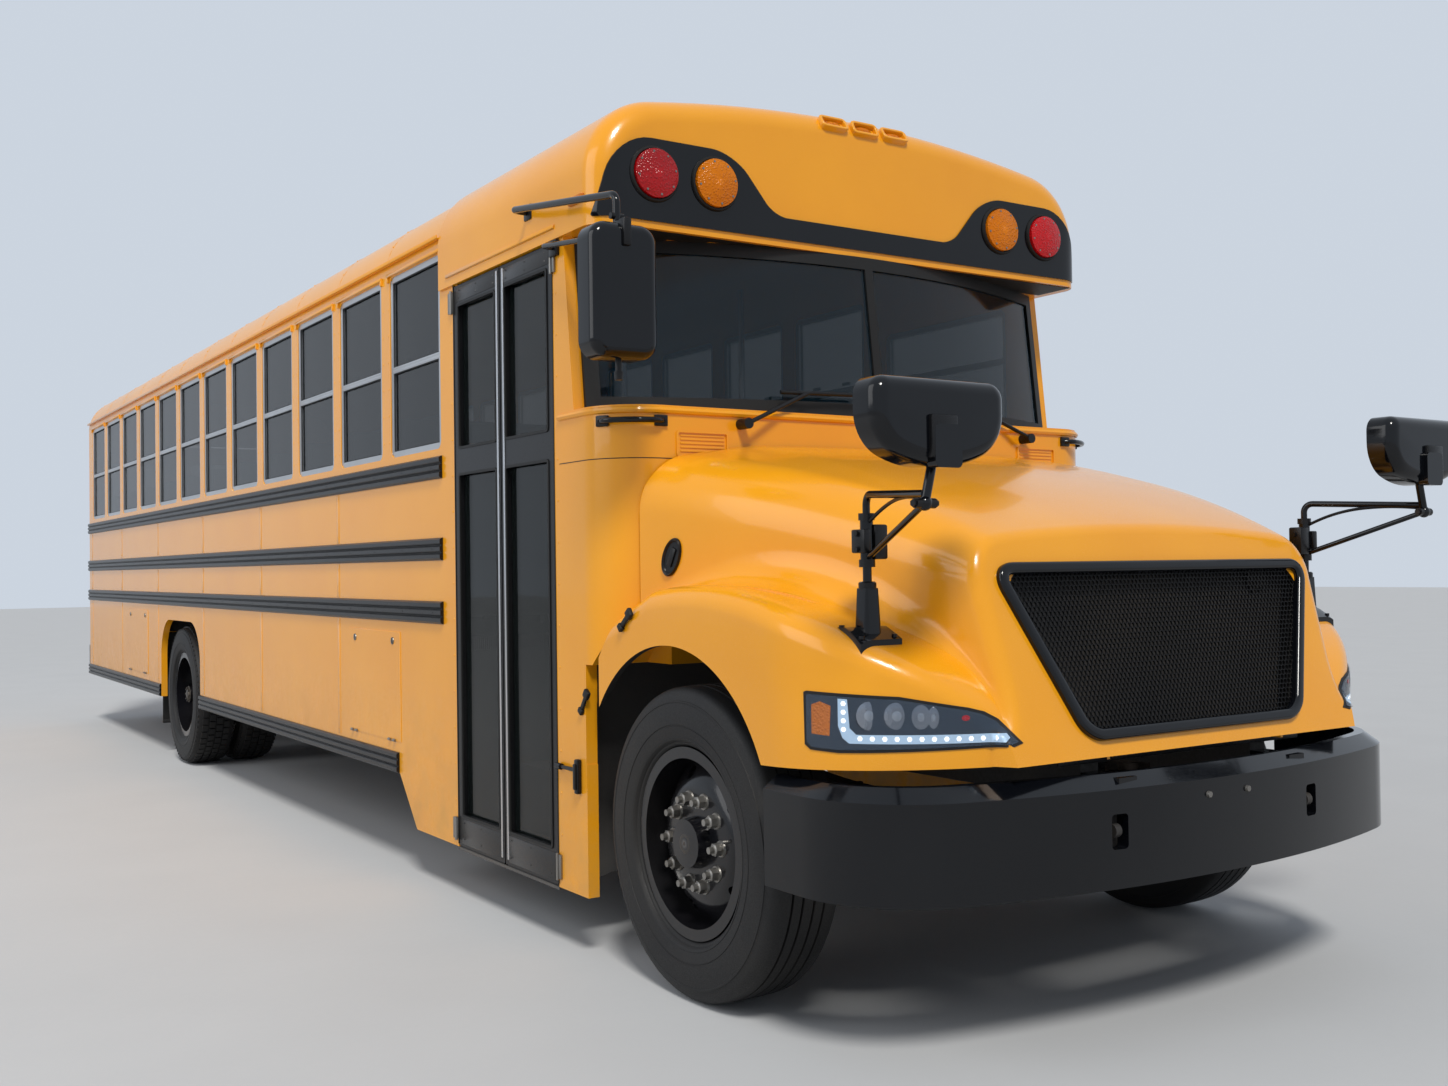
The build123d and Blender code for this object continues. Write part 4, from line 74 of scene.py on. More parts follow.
class Graph:
    """A material's node graph, with short ways to add what the finishes share."""

    def __init__(self, name: str) -> None:
        """Starts a material with one main shader.

        Args:
            name: The material's name.
        """
        self.material = bpy.data.materials.new(name)
        self.material.use_nodes = True
        self.nodes = self.material.node_tree.nodes
        self.links = self.material.node_tree.links
        self.shader = self.nodes["Principled BSDF"]
        self.place = self.nodes.new("ShaderNodeTexCoord").outputs["Object"]

    def stretched(self, scale: Triple) -> Socket:
        """Object coordinates scaled by axis.

        Args:
            scale: The factor for each axis.

        Returns:
            The scaled coordinates.
        """
        mapping = self.nodes.new("ShaderNodeMapping")
        mapping.inputs["Scale"].default_value = scale
        self.links.new(self.place, mapping.inputs["Vector"])
        return mapping.outputs["Vector"]

    def noise(self, scale: float, detail: float = 3.0, source: Socket | None = None) -> Socket:
        """Soft noise over the object's own coordinates.

        Args:
            scale: Patches in a metre.
            detail: Octaves of finer noise.
            source: Other coordinates to read.

        Returns:
            The noise value.
        """
        node = self.nodes.new("ShaderNodeTexNoise")
        node.inputs["Scale"].default_value = scale
        node.inputs["Detail"].default_value = detail
        self.links.new(source or self.place, node.inputs["Vector"])
        return node.outputs["Fac"]

    def cells(self, scale: float, distance: bool = True) -> Socket:
        """Cells over the object's own coordinates.

        Args:
            scale: Cells in a metre.
            distance: True for the distance from each cell's middle, False for its colour.

        Returns:
            The cell value.
        """
        node = self.nodes.new("ShaderNodeTexVoronoi")
        node.inputs["Scale"].default_value = scale
        self.links.new(self.place, node.inputs["Vector"])
        return node.outputs["Distance" if distance else "Color"]

    def spread(
        self, value: Socket, low: float, high: float, start: float = 0.3, end: float = 0.7
    ) -> Socket:
        """Maps a value from one range to another, clamped.

        Args:
            value: The value to map.
            low: The result at the start.
            high: The result at the end.
            start: Where the source range starts.
            end: Where the source range ends.

        Returns:
            The mapped value.
        """
        node = self.nodes.new("ShaderNodeMapRange")
        for socket, number in zip(("From Min", "From Max", "To Min", "To Max"), (start, end, low, high)):
            node.inputs[socket].default_value = number
        self.links.new(value, node.inputs["Value"])
        return node.outputs["Result"]

    def maths(self, operation: str, first: Socket, second: Socket | float) -> Socket:
        """One sum on two values.

        Args:
            operation: The operation's name.
            first: The first value.
            second: The second value or a number.

        Returns:
            The result.
        """
        node = self.nodes.new("ShaderNodeMath")
        node.operation = operation
        self.links.new(first, node.inputs[0])
        if isinstance(second, (int, float)):
            node.inputs[1].default_value = second
        else:
            self.links.new(second, node.inputs[1])
        return node.outputs[0]

    def axis(self, letter: str) -> Socket:
        """One of the object's own coordinates.

        Args:
            letter: X, Y or Z.

        Returns:
            That coordinate in metres.
        """
        node = self.nodes.new("ShaderNodeSeparateXYZ")
        self.links.new(self.place, node.inputs[0])
        return node.outputs[letter]

    def blend(self, amount: Socket, first: tuple | Socket, second: tuple | Socket) -> Socket:
        """A colour between two others.

        Args:
            amount: 0 for the first, 1 for the second.
            first: A colour or a socket.
            second: A colour or a socket.

        Returns:
            The blended colour.
        """
        node = self.nodes.new("ShaderNodeMix")
        node.data_type = "RGBA"
        self.links.new(amount, node.inputs["Factor"])
        for socket, colour in ((node.inputs[6], first), (node.inputs[7], second)):
            if isinstance(colour, tuple):
                socket.default_value = (*colour, 1.0)
            else:
                self.links.new(colour, socket)
        return node.outputs[2]

    def relief(self, height: Socket, depth: float, strength: float = 1.0) -> None:
        """Adds relief to the surface, on top of any already there.

        Args:
            height: The height from 0 to 1.
            depth: How deep it is, in metres.
            strength: How strongly it shows.
        """
        node = self.nodes.new("ShaderNodeBump")
        node.inputs["Distance"].default_value = depth
        node.inputs["Strength"].default_value = strength
        self.links.new(height, node.inputs["Height"])
        normal = self.shader.inputs["Normal"]
        if normal.is_linked:
            self.links.new(normal.links[0].from_socket, node.inputs["Normal"])
        self.links.new(node.outputs["Normal"], normal)

    def feed(self, name: str, value: Socket) -> None:
        """Links a value to the shader's socket of that name."""
        self.links.new(value, self.shader.inputs[name])

    def fix(self, **numbers: float) -> None:
        """Sets constant values on the shader, named with underscores for spaces."""
        for name, number in numbers.items():
            self.shader.inputs[name.replace("_", " ")].default_value = number


@dataclass(frozen=True)
class Finish:
    """A finish for one kind of surface.

    Attributes:
        name: The material's name.
        colour: Its main colour, linear.
        rough: Roughness in its cleanest and dullest places.
        worn: The colour that it drifts towards in patches.
        drift: How far it drifts.
        metal: 1 for bare metal.
        coat: Clear coat weight.
        pattern: How it varies.
        grain: Patches of the fine pattern in a metre.
        depth: Depth of the relief in metres.
        alpha: How solid it is, below 1 for glass.
        glow: Strength of its own light.
        shine: Strength of its mirror reflection.
    """

    name: str
    colour: Triple
    rough: tuple[float, float] = (0.3, 0.45)
    worn: Triple = (0.2, 0.18, 0.15)
    drift: float = 0.15
    metal: float = 0.0
    coat: float = 0.0
    pattern: Pattern = Pattern.COATED
    grain: float = 60.0
    depth: float = 0.0004
    alpha: float = 1.0
    glow: float = 0.0
    shine: float = 0.5

    def build(self) -> bpy.types.Material:
        """Builds the material once and returns it.

        Returns:
            The material.
        """
        made = bpy.data.materials.get(f"bus_{self.name}")
        if made:
            return made
        graph = Graph(f"bus_{self.name}")
        graph.fix(
            Metallic=self.metal, Coat_Weight=self.coat, Coat_Roughness=0.04, Specular_IOR_Level=self.shine
        )
        patches = graph.noise(2.3, 5.0)
        graph.feed(
            "Base Color", graph.blend(graph.spread(patches, 0.0, self.drift), self.colour, self.worn)
        )
        fine = graph.noise(self.grain, 4.0)
        graph.feed("Roughness", graph.spread(fine, *self.rough))
        self.texture(graph, fine)
        self.extra(graph)
        if self.alpha < 1:
            graph.fix(Alpha=self.alpha)
        if self.glow:
            graph.shader.inputs["Emission Color"].default_value = (*self.colour, 1)
            graph.fix(Emission_Strength=self.glow)
        return graph.material

    def texture(self, graph: Graph, fine: Socket) -> None:
        """Adds the relief of the finish's pattern.

        Args:
            graph: The material's graph.
            fine: Fine noise to start from.
        """
        if self.pattern is Pattern.BRUSHED:
            lines = graph.noise(self.grain, 2.0, graph.stretched((1.0, 0.05, 0.4)))
            graph.relief(lines, self.depth)
        elif self.pattern is Pattern.HIDE:
            graph.relief(graph.cells(self.grain), self.depth)
            graph.relief(graph.noise(9.0), self.depth * 4)
        elif self.pattern is Pattern.RIBBED:
            wave = graph.maths("SINE", graph.maths("MULTIPLY", graph.axis("X"), 700.0), 0.0)
            graph.relief(wave, self.depth)
        elif self.pattern is Pattern.DOTTED:
            graph.relief(graph.spread(graph.cells(self.grain), 1.0, 0.0, 0.0, 0.6), self.depth)
        else:
            graph.relief(fine, self.depth)

    def extra(self, graph: Graph) -> None:
        """Adds what one finish has over the others; most have nothing."""


@dataclass(frozen=True)
class CoachPaint(Finish):
    """Glossy coach paint with a faint ripple, and road dust that thickens towards the ground.

    Attributes:
        coat: Clear coat weight.
        grain: Patches of the fine pattern in a metre.
        depth: Depth of the relief in metres.
        shine: Strength of its mirror reflection.
        dust: Colour of the dust.
        dust_top: Height at which the dust ends, in metres.
    """

    coat: float = 0.35
    grain: float = 420
    depth: float = 0.00012
    shine: float = 0.35
    dust: Triple = (0.42, 0.27, 0.10)
    dust_top: float = 0.95

    def extra(self, graph: Graph) -> None:
        """Lays dust on the lower panels and a broad ripple on the sheet.

        Args:
            graph: The material's graph.
        """
        height = graph.spread(graph.axis("Z"), 0.5, 0.0, 0.25, self.dust_top)
        cloud = graph.spread(graph.noise(7.0, 8.0), 0.0, 1.0, 0.35, 0.72)
        amount = graph.maths("MULTIPLY", height, cloud)
        base = graph.shader.inputs["Base Color"].links[0].from_socket
        graph.feed("Base Color", graph.blend(amount, base, self.dust))
        rough = graph.shader.inputs["Roughness"].links[0].from_socket
        graph.feed("Roughness", graph.maths("ADD", rough, graph.maths("MULTIPLY", amount, 0.6)))
        graph.relief(graph.noise(1.6, 1.0), 0.006, 0.25)


@dataclass(frozen=True)
class NosePaint(CoachPaint):
    """Coach paint on the nose, with painted shade on its inner sides."""

    def extra(self, graph: Graph) -> None:
        """Paints shade, near black and duller, on the faces that look inwards.

        Args:
            graph: The material's graph.
        """
        super().extra(graph)
        facing = graph.nodes.new("ShaderNodeSeparateXYZ")
        graph.links.new(graph.nodes.new("ShaderNodeNewGeometry").outputs["True Normal"], facing.inputs[0])
        side = graph.maths("SIGN", graph.axis("X"), 0.0)
        across = graph.maths(
            "MULTIPLY", graph.maths("MULTIPLY", facing.outputs["X"], side),
            graph.maths("SUBTRACT", graph.maths("ABSOLUTE", graph.axis("X"), 0.0), 0.6),
        )
        along = graph.maths("MULTIPLY", facing.outputs["Y"], graph.maths("ADD", graph.axis("Y"), 4.98))
        upward = graph.maths(
            "MULTIPLY", facing.outputs["Z"], graph.maths("SUBTRACT", graph.axis("Z"), 0.60)
        )
        outward = graph.maths("ADD", graph.maths("ADD", across, along), upward)
        # Painted shade: faces that look inwards, under the lip and into the arches, go near black.
        inside = graph.spread(outward, 1.0, 0.0, -0.02, 0.02)
        base = graph.shader.inputs["Base Color"].links[0].from_socket
        graph.feed("Base Color", graph.blend(inside, base, (0.006, 0.006, 0.006)))
        rough = graph.shader.inputs["Roughness"].links[0].from_socket
        graph.feed("Roughness", graph.maths("ADD", rough, graph.maths("MULTIPLY", inside, 0.5)))


YELLOW = CoachPaint("coach_yellow", (0.86, 0.36, 0.008), (0.16, 0.30), (0.74, 0.27, 0.006), 0.35)
NOSE_YELLOW = NosePaint("nose_yellow", (0.86, 0.36, 0.008), (0.16, 0.30), (0.74, 0.27, 0.006), 0.35)
ROOF_YELLOW = CoachPaint("roof_yellow", (0.86, 0.36, 0.008), (0.2, 0.36), (0.70, 0.30, 0.02), 0.4)
GLOSS_BLACK = Finish(
    "gloss_black", (0.002, 0.0025, 0.004), (0.08, 0.16), (0.006, 0.007, 0.009), 0.3, coat=0.12, grain=200,
    depth=0.00002, shine=0.30,
)
SATIN_BLACK = Finish(
    "satin_black", (0.004, 0.004, 0.005), (0.24, 0.38), (0.014, 0.013, 0.012), 0.3, grain=300, depth=0.0001,
    shine=0.30,
)
CHASSIS = Finish(
    "chassis_black", (0.014, 0.014, 0.015), (0.5, 0.75), (0.07, 0.055, 0.04), 0.6, grain=90, depth=0.0008
)
IRON = Finish(
    "forged_iron", (0.05, 0.048, 0.046), (0.55, 0.8), (0.12, 0.07, 0.04), 0.6, metal=0.4,
    pattern=Pattern.CAST, grain=140, depth=0.0012,
)
ALUMINIUM = Finish(
    "mill_aluminium", (0.58, 0.59, 0.60), (0.28, 0.42), (0.38, 0.38, 0.38), 0.4, metal=1.0,
    pattern=Pattern.BRUSHED, grain=260, depth=0.0002,
)
STAINLESS = Finish(
    "stainless", (0.62, 0.62, 0.63), (0.18, 0.3), (0.45, 0.45, 0.45), 0.3, metal=1.0,
    pattern=Pattern.BRUSHED, grain=500, depth=0.0001,
)
SIDE_PANE = Finish(
    "tinted_pane", (0.004, 0.006, 0.007), (0.02, 0.05), (0.010, 0.011, 0.012), 0.3, grain=3, depth=0.0006,
    alpha=0.68,
)
DOOR_PANE = Finish(
    "door_pane", (0.006, 0.009, 0.009), (0.02, 0.05), (0.016, 0.018, 0.018), 0.3, grain=3, depth=0.0006,
    alpha=0.52,
)
SCREEN_PANE = Finish(
    "screen_pane", (0.003, 0.012, 0.020), (0.015, 0.04), (0.005, 0.014, 0.024), 0.3, grain=2, depth=0.0004,
    alpha=0.50,
)
RUBBER = Finish(
    "black_rubber", (0.007, 0.007, 0.007), (0.45, 0.65), (0.018, 0.017, 0.016), 0.3,
    pattern=Pattern.MOULDED, grain=350, depth=0.0003, shine=0.3,
)
TYRE = Finish(
    "tyre_rubber", (0.007, 0.007, 0.008), (0.5, 0.75), (0.026, 0.023, 0.019), 0.5, pattern=Pattern.MOULDED,
    grain=260, depth=0.0004, shine=0.35,
)
WHEEL_BLACK = Finish(
    "wheel_black", (0.005, 0.005, 0.007), (0.12, 0.26), (0.012, 0.011, 0.009), 0.4, coat=0.2, grain=160,
    depth=0.0003, shine=0.35,
)
NUT_STEEL = Finish(
    "nut_steel", (0.30, 0.29, 0.27), (0.32, 0.5), (0.14, 0.12, 0.10), 0.6, metal=0.9, grain=300,
    depth=0.0003,
)
LENS_RED = Finish(
    "lens_red", (0.52, 0.003, 0.006), (0.12, 0.22), (0.24, 0.001, 0.002), 0.8, coat=0.1,
    pattern=Pattern.DOTTED, grain=110, depth=0.0024, shine=0.3,
)
LENS_AMBER = Finish(
    "lens_amber", (0.70, 0.20, 0.0005), (0.12, 0.22), (0.42, 0.09, 0.0002), 0.8, pattern=Pattern.DOTTED,
    grain=110, depth=0.0024, shine=0.2,
)
LENS_CLEAR = Finish(
    "lens_clear", (0.10, 0.14, 0.20), (0.02, 0.05), (0.08, 0.11, 0.16), 0.3, grain=6, depth=0.0001,
    alpha=0.10,
)
VINYL = Finish(
    "seat_vinyl", (0.018, 0.030, 0.026), (0.34, 0.5), (0.05, 0.06, 0.055), 0.4, pattern=Pattern.HIDE,
    grain=420, depth=0.0006,
)
SEAT_STEEL = Finish(
    "seat_steel", (0.03, 0.03, 0.032), (0.35, 0.5), (0.06, 0.055, 0.05), 0.4, grain=200, depth=0.0002
)
INTERIOR = Finish(
    "cab_moulding", (0.030, 0.031, 0.033), (0.45, 0.65), (0.06, 0.06, 0.058), 0.3, pattern=Pattern.MOULDED,
    grain=600, depth=0.0003,
)
FLOOR_COVER = Finish(
    "floor_cover", (0.022, 0.022, 0.023), (0.5, 0.75), (0.08, 0.07, 0.06), 0.5, pattern=Pattern.RIBBED,
    grain=100, depth=0.0008,
)
STEP_STEEL = Finish(
    "step_steel", (0.05, 0.05, 0.05), (0.4, 0.6), (0.12, 0.10, 0.08), 0.5, grain=120, depth=0.0005
)
CORE_GREY = Finish(
    "core_grey", (0.03, 0.03, 0.032), (0.5, 0.7), (0.06, 0.05, 0.05), 0.5, pattern=Pattern.CAST, grain=300,
    depth=0.001,
)
TANK = Finish(
    "tank_steel", (0.02, 0.02, 0.021), (0.4, 0.6), (0.08, 0.065, 0.05), 0.5, grain=120, depth=0.0005
)
STOP_RED = Finish(
    "stop_red", (0.55, 0.012, 0.014), (0.2, 0.34), (0.4, 0.02, 0.02), 0.3, coat=0.3, grain=300, depth=0.0001
)
WHITE_GLOW = Finish(
    "lamp_strip", (0.42, 0.58, 0.76), (0.2, 0.3), (0.36, 0.50, 0.68), 0.3, grain=60, depth=0.0001, glow=0.30
)
WHITE_DOT = Finish(
    "lamp_dot", (0.95, 0.97, 1.0), (0.2, 0.3), (0.9, 0.93, 1.0), 0.3, grain=60, depth=0.0001, glow=0.9
)
CHROME = Finish(
    "reflector", (0.34, 0.37, 0.42), (0.10, 0.25), (0.12, 0.14, 0.18), 0.8, metal=1.0, grain=60,
    depth=0.0006,
)
HUB_IRON = Finish(
    "hub_iron", (0.045, 0.043, 0.042), (0.28, 0.5), (0.10, 0.075, 0.05), 0.6, metal=0.6,
    pattern=Pattern.CAST, grain=220, depth=0.0004,
)
LAMP_BOWL = Finish(
    "lamp_bowl", (0.012, 0.022, 0.038), (0.12, 0.25), (0.03, 0.045, 0.07), 0.5, grain=30, depth=0.0001
)
LAMP_GLASS = Finish(
    "lamp_projector", (0.30, 0.34, 0.40), (0.02, 0.05), (0.2, 0.22, 0.26), 0.3, metal=0.6, coat=1.0,
    grain=30, depth=0.0001,
)
MIRROR_GLASS = Finish(
    "mirror_glass", (0.72, 0.75, 0.78), (0.01, 0.03), (0.6, 0.62, 0.65), 0.3, metal=1.0, grain=20,
    depth=0.00002,
)
DOOR_PLATE = Finish(
    "door_plate", (0.028, 0.028, 0.029), (0.24, 0.38), (0.06, 0.055, 0.05), 0.4, metal=0.5,
    pattern=Pattern.BRUSHED, grain=300, depth=0.0002,
)
WHITE_TAPE = Finish(
    "white_border", (0.80, 0.80, 0.78), (0.3, 0.45), (0.6, 0.6, 0.56), 0.3, grain=200, depth=0.0001
)

SLOT_FINISH = {
    "body_paint": YELLOW, "black_gloss": GLOSS_BLACK, "black_paint": SATIN_BLACK, "chassis_black": CHASSIS,
    "axle_iron": IRON, "aluminium": ALUMINIUM, "side_pane": SIDE_PANE, "door_pane": DOOR_PANE,
    "screen_pane": SCREEN_PANE, "rubber": RUBBER, "tyre": TYRE, "wheel_black": WHEEL_BLACK,
    "lens_red": LENS_RED, "lens_amber": LENS_AMBER, "lens_clear": LENS_CLEAR, "vinyl": VINYL,
    "seat_steel": SEAT_STEEL, "interior": INTERIOR, "floor_cover": FLOOR_COVER, "step_steel": STEP_STEEL,
    "stainless": STAINLESS, "radiator_grey": CORE_GREY, "tank_steel": TANK, "stop_red": STOP_RED,
}

NODE_FINISH = {
    "hood": NOSE_YELLOW, "roof": ROOF_YELLOW, "front_bumper": GLOSS_BLACK, "crossview_mirrors": GLOSS_BLACK,
    "side_mirror": GLOSS_BLACK,
}


class Shop:
    """Short ways to shape meshes and to turn them into finished pieces."""

    @staticmethod
    def block(mesh: Mesh, low: tuple, high: tuple, edge: float = 0.0, rounds: int = 2) -> list:
        """Adds a block between two corners.

        Args:
            mesh: The mesh to add to.
            low: Its lowest corner.
            high: Its highest corner.
            edge: Size of its rounded edges.
            rounds: Faces across a rounded edge.

        Returns:
            The block's vertices.
        """
        size = Vector(high) - Vector(low)
        middle = (Vector(high) + Vector(low)) / 2
        made = bmesh.ops.create_cube(
            mesh, size=1.0, matrix=Matrix.Translation(middle) @ Matrix.Diagonal((*size, 1))
        )["verts"]
        if edge:
            edges = list({e for v in made for e in v.link_edges})
            made = Shop.rounded(mesh, edges, edge, rounds)
        return made

    @staticmethod
    def rounded(mesh: Mesh, parts: list, size: float, rounds: int, kind: str = "EDGES") -> list:
        """Rounds edges, or corners given by their vertices, and returns the new vertices."""
        return bmesh.ops.bevel(
            mesh, geom=parts, offset=size, segments=rounds, profile=0.5, affect=kind, material=-1
        )["verts"]

    @staticmethod
    def vertices(parts: list) -> list:
        """Picks the vertices out of a list of vertices, edges and faces."""
        return [v for v in parts if isinstance(v, bmesh.types.BMVert)]

    @staticmethod
    def whole(mesh: Mesh) -> list:
        """Lists a mesh's vertices, edges and faces."""
        return list(mesh.verts) + list(mesh.edges) + list(mesh.faces)

    @staticmethod
    def thicken(mesh: Mesh, faces: list, push: tuple | Vector) -> list:
        """Gives flat faces a thickness.

        Args:
            mesh: The mesh.
            faces: The faces, which stay where they are.
            push: The thickness, as a vector.

        Returns:
            The vertices of the pushed side.
        """
        made = bmesh.ops.extrude_face_region(mesh, geom=faces, use_keep_orig=True)["geom"]
        pushed = Shop.vertices(made)
        bmesh.ops.translate(mesh, vec=push, verts=pushed)
        return pushed

    @staticmethod
    def in_ring(mesh: Mesh, count: int, first: float = 0.0) -> None:
        """Repeats the whole mesh round the X axis; the first copy's place is a part of one step."""
        turns = [2 * math.pi * (n + first) / count for n in range(count)]
        Shop.copies(mesh, [Matrix.Rotation(turn, 4, "X") for turn in turns])

    @staticmethod
    def drum(
        mesh: Mesh, start: tuple, end: tuple, radius: float, far_radius: float | None = None,
        sides: int = 24,
    ) -> list:
        """Adds a round bar or cone between two points.

        Args:
            mesh: The mesh to add to.
            start: The middle of one end.
            end: The middle of the other.
            radius: Its radius at the start.
            far_radius: Its radius at the end.
            sides: Faces round it.

        Returns:
            Its vertices.
        """
        line = Vector(end) - Vector(start)
        turn = line.to_track_quat("Z", "Y").to_matrix().to_4x4()
        place = Matrix.Translation((Vector(start) + Vector(end)) / 2) @ turn
        far = radius if far_radius is None else far_radius
        return bmesh.ops.create_cone(
            mesh, cap_ends=True, segments=sides, radius1=radius, radius2=far, depth=line.length,
            matrix=place,
        )["verts"]

    @staticmethod
    def turned(mesh: Mesh, profile: list, centre: tuple, side: int, steps: int = 64) -> None:
        """Spins a profile of (outward distance, radius) about the X axis through a centre.

        Args:
            mesh: The mesh to add to.
            profile: The profile's points.
            centre: The point that the distances start from.
            side: 1 where outwards is +X, -1 where it is -X.
            steps: Steps in a full turn.
        """
        middle = Vector(centre)
        verts = [mesh.verts.new(middle + Vector((side * u, 0, r))) for u, r in profile]
        edges = [mesh.edges.new(pair) for pair in zip(verts, verts[1:])]
        bmesh.ops.spin(
            mesh, geom=verts + edges, cent=middle, axis=(1, 0, 0), angle=2 * math.pi, steps=steps,
            use_merge=True,
        )

    @staticmethod
    def copies(mesh: Mesh, places: list) -> None:
        """Repeats the whole mesh at a list of places.

        Args:
            mesh: The mesh to repeat.
            places: One matrix for each copy, the original being dropped.
        """
        first = Shop.whole(mesh)
        for place in places:
            made = bmesh.ops.duplicate(mesh, geom=first)["geom"]
            bmesh.ops.transform(mesh, matrix=place, verts=Shop.vertices(made))
        bmesh.ops.delete(mesh, geom=Shop.vertices(first), context="VERTS")

    @staticmethod
    def lathe(mesh: Mesh, profile: list, centre: tuple, axis: tuple, steps: int = 32) -> None:
        """Spins a profile of (distance along, radius) about any line through a centre.

        Args:
            mesh: The mesh to add to.
            profile: The profile's points.
            centre: The point that the distances start from.
            axis: The line's direction.
            steps: Steps in a full turn.
        """
        middle, line = Vector(centre), Vector(axis).normalized()
        out = line.orthogonal().normalized()
        verts = [mesh.verts.new(middle + line * u + out * r) for u, r in profile]
        edges = [mesh.edges.new(pair) for pair in zip(verts, verts[1:])]
        bmesh.ops.spin(
            mesh, geom=verts + edges, cent=middle, axis=line, angle=2 * math.pi, steps=steps, use_merge=True
        )

    @staticmethod
    def join(mesh: Mesh, other: Mesh) -> None:
        """Adds another mesh to a mesh.

        Args:
            mesh: The mesh to add to.
            other: The mesh to add, which is freed.
        """
        data = bpy.data.meshes.new("joined")
        other.to_mesh(data)
        other.free()
        mesh.from_mesh(data)
        bpy.data.meshes.remove(data)

    @staticmethod
    def mirrored(mesh: Mesh) -> None:
        """Adds the mesh's own mirror image on the bus's other side.

        Args:
            mesh: The mesh.
        """
        made = bmesh.ops.duplicate(mesh, geom=Shop.whole(mesh))["geom"]
        bmesh.ops.scale(mesh, vec=(-1, 1, 1), verts=Shop.vertices(made))
        bmesh.ops.reverse_faces(mesh, faces=[f for f in made if isinstance(f, bmesh.types.BMFace)])

    @staticmethod
    def outline_rim(mesh: Mesh, points: list, width: float, push: tuple) -> None:
        """Adds a flat rim inside an outline, with a thickness.

        Args:
            mesh: The mesh to add to.
            points: The outline's corners.
            width: The rim's width.
            push: The thickness, as a vector.
        """
        face = mesh.faces.new([mesh.verts.new(p) for p in points])
        face.normal_update()
        rim = bmesh.ops.inset_individual(mesh, faces=[face], thickness=width, use_even_offset=True)["faces"]
        bmesh.ops.delete(mesh, geom=[face], context="FACES_ONLY")
        Shop.thicken(mesh, rim, push)

    @staticmethod
    def corners(first: float, last: float, low: float, high: float, round_by: float) -> list:
        """The corners of an upright rectangle, each cut into three points.

        Args:
            first: The rectangle's lowest place across.
            last: Its highest place across.
            low: Its bottom.
            high: Its top.
            round_by: How far each corner is cut back.

        Returns:
            The points, as pairs of (place across, height).
        """
        cut = []
        for u, v, du, dv in (
            (first, low, 1, 1), (last, low, -1, 1), (last, high, -1, -1), (first, high, 1, -1)
        ):
            points = [
                (u, v + dv * round_by), (u + du * round_by * 0.29, v + dv * round_by * 0.29),
                (u + du * round_by, v),
            ]
            cut += points if du * dv > 0 else points[::-1]
        return cut

    @staticmethod
    def ring_frame(
        mesh: Mesh, face: tuple, first: float, last: float, low: float, high: float, width: float,
        depth: float,
    ) -> None:
        """Adds a rounded frame on a side wall, between two Y and two Z, deep along X."""
        points = [(face[0], u, v) for u, v in Shop.corners(first, last, low, high, width * 1.4)]
        Shop.outline_rim(mesh, points, width, (depth, 0, 0))

    @staticmethod
    def ring_frame_y(
        mesh: Mesh, face: float, first: float, last: float, low: float, high: float, width: float,
        depth: float,
    ) -> None:
        """Adds a rounded frame on a wall across the bus, between two X and two Z, deep along Y."""
        points = [(u, face, v) for u, v in Shop.corners(first, last, low, high, width * 1.4)]
        Shop.outline_rim(mesh, points, width, (0, depth, 0))

    @staticmethod
    def oval(u: float, v: float, wide: float, tall: float, count: int, first: float = 0.0) -> list:
        """Lists the corners of a regular outline.

        Args:
            u: The middle's place across.
            v: Its height.
            wide: Half of its width.
            tall: Half of its height.
            count: Number of corners.
            first: Place of the first corner, as a part of one step.

        Returns:
            The corners, as pairs of (place across, height).
        """
        turns = [2 * math.pi * (n + first) / count for n in range(count)]
        return [(u + wide * math.cos(turn), v + tall * math.sin(turn)) for turn in turns]

    @staticmethod
    def tube(
        name: str, points: list, radius: float, finish: Finish, body: str = "bus_body", bend: float = 0.0,
        sides: int = 3,
    ) -> Piece:
        """Makes a round tube along a path of points.

        Args:
            name: The piece's name.
            points: The path.
            radius: The tube's radius.
            finish: Its finish.
            body: The body that it rides on.
            bend: Above 0 for smooth bends.
            sides: Resolution round the tube.

        Returns:
            The piece.
        """
        curve = bpy.data.curves.new(name, "CURVE")
        curve.dimensions = "3D"
        curve.bevel_depth = radius
        curve.bevel_resolution = sides
        curve.use_fill_caps = True
        kind = "NURBS" if bend else "POLY"
        spline = curve.splines.new(kind)
        spline.points.add(len(points) - 1)
        for point, place in zip(spline.points, points):
            point.co = (*place, 1)
        if bend:
            spline.order_u = 3
            spline.use_endpoint_u = True
        holder = bpy.data.objects.new(name + "_path", curve)
        shape = bpy.data.meshes.new_from_object(holder)
        bpy.data.objects.remove(holder)
        mesh = bmesh.new()
        mesh.from_mesh(shape)
        bpy.data.meshes.remove(shape)
        return Shop.finish(name, mesh, finish, body)

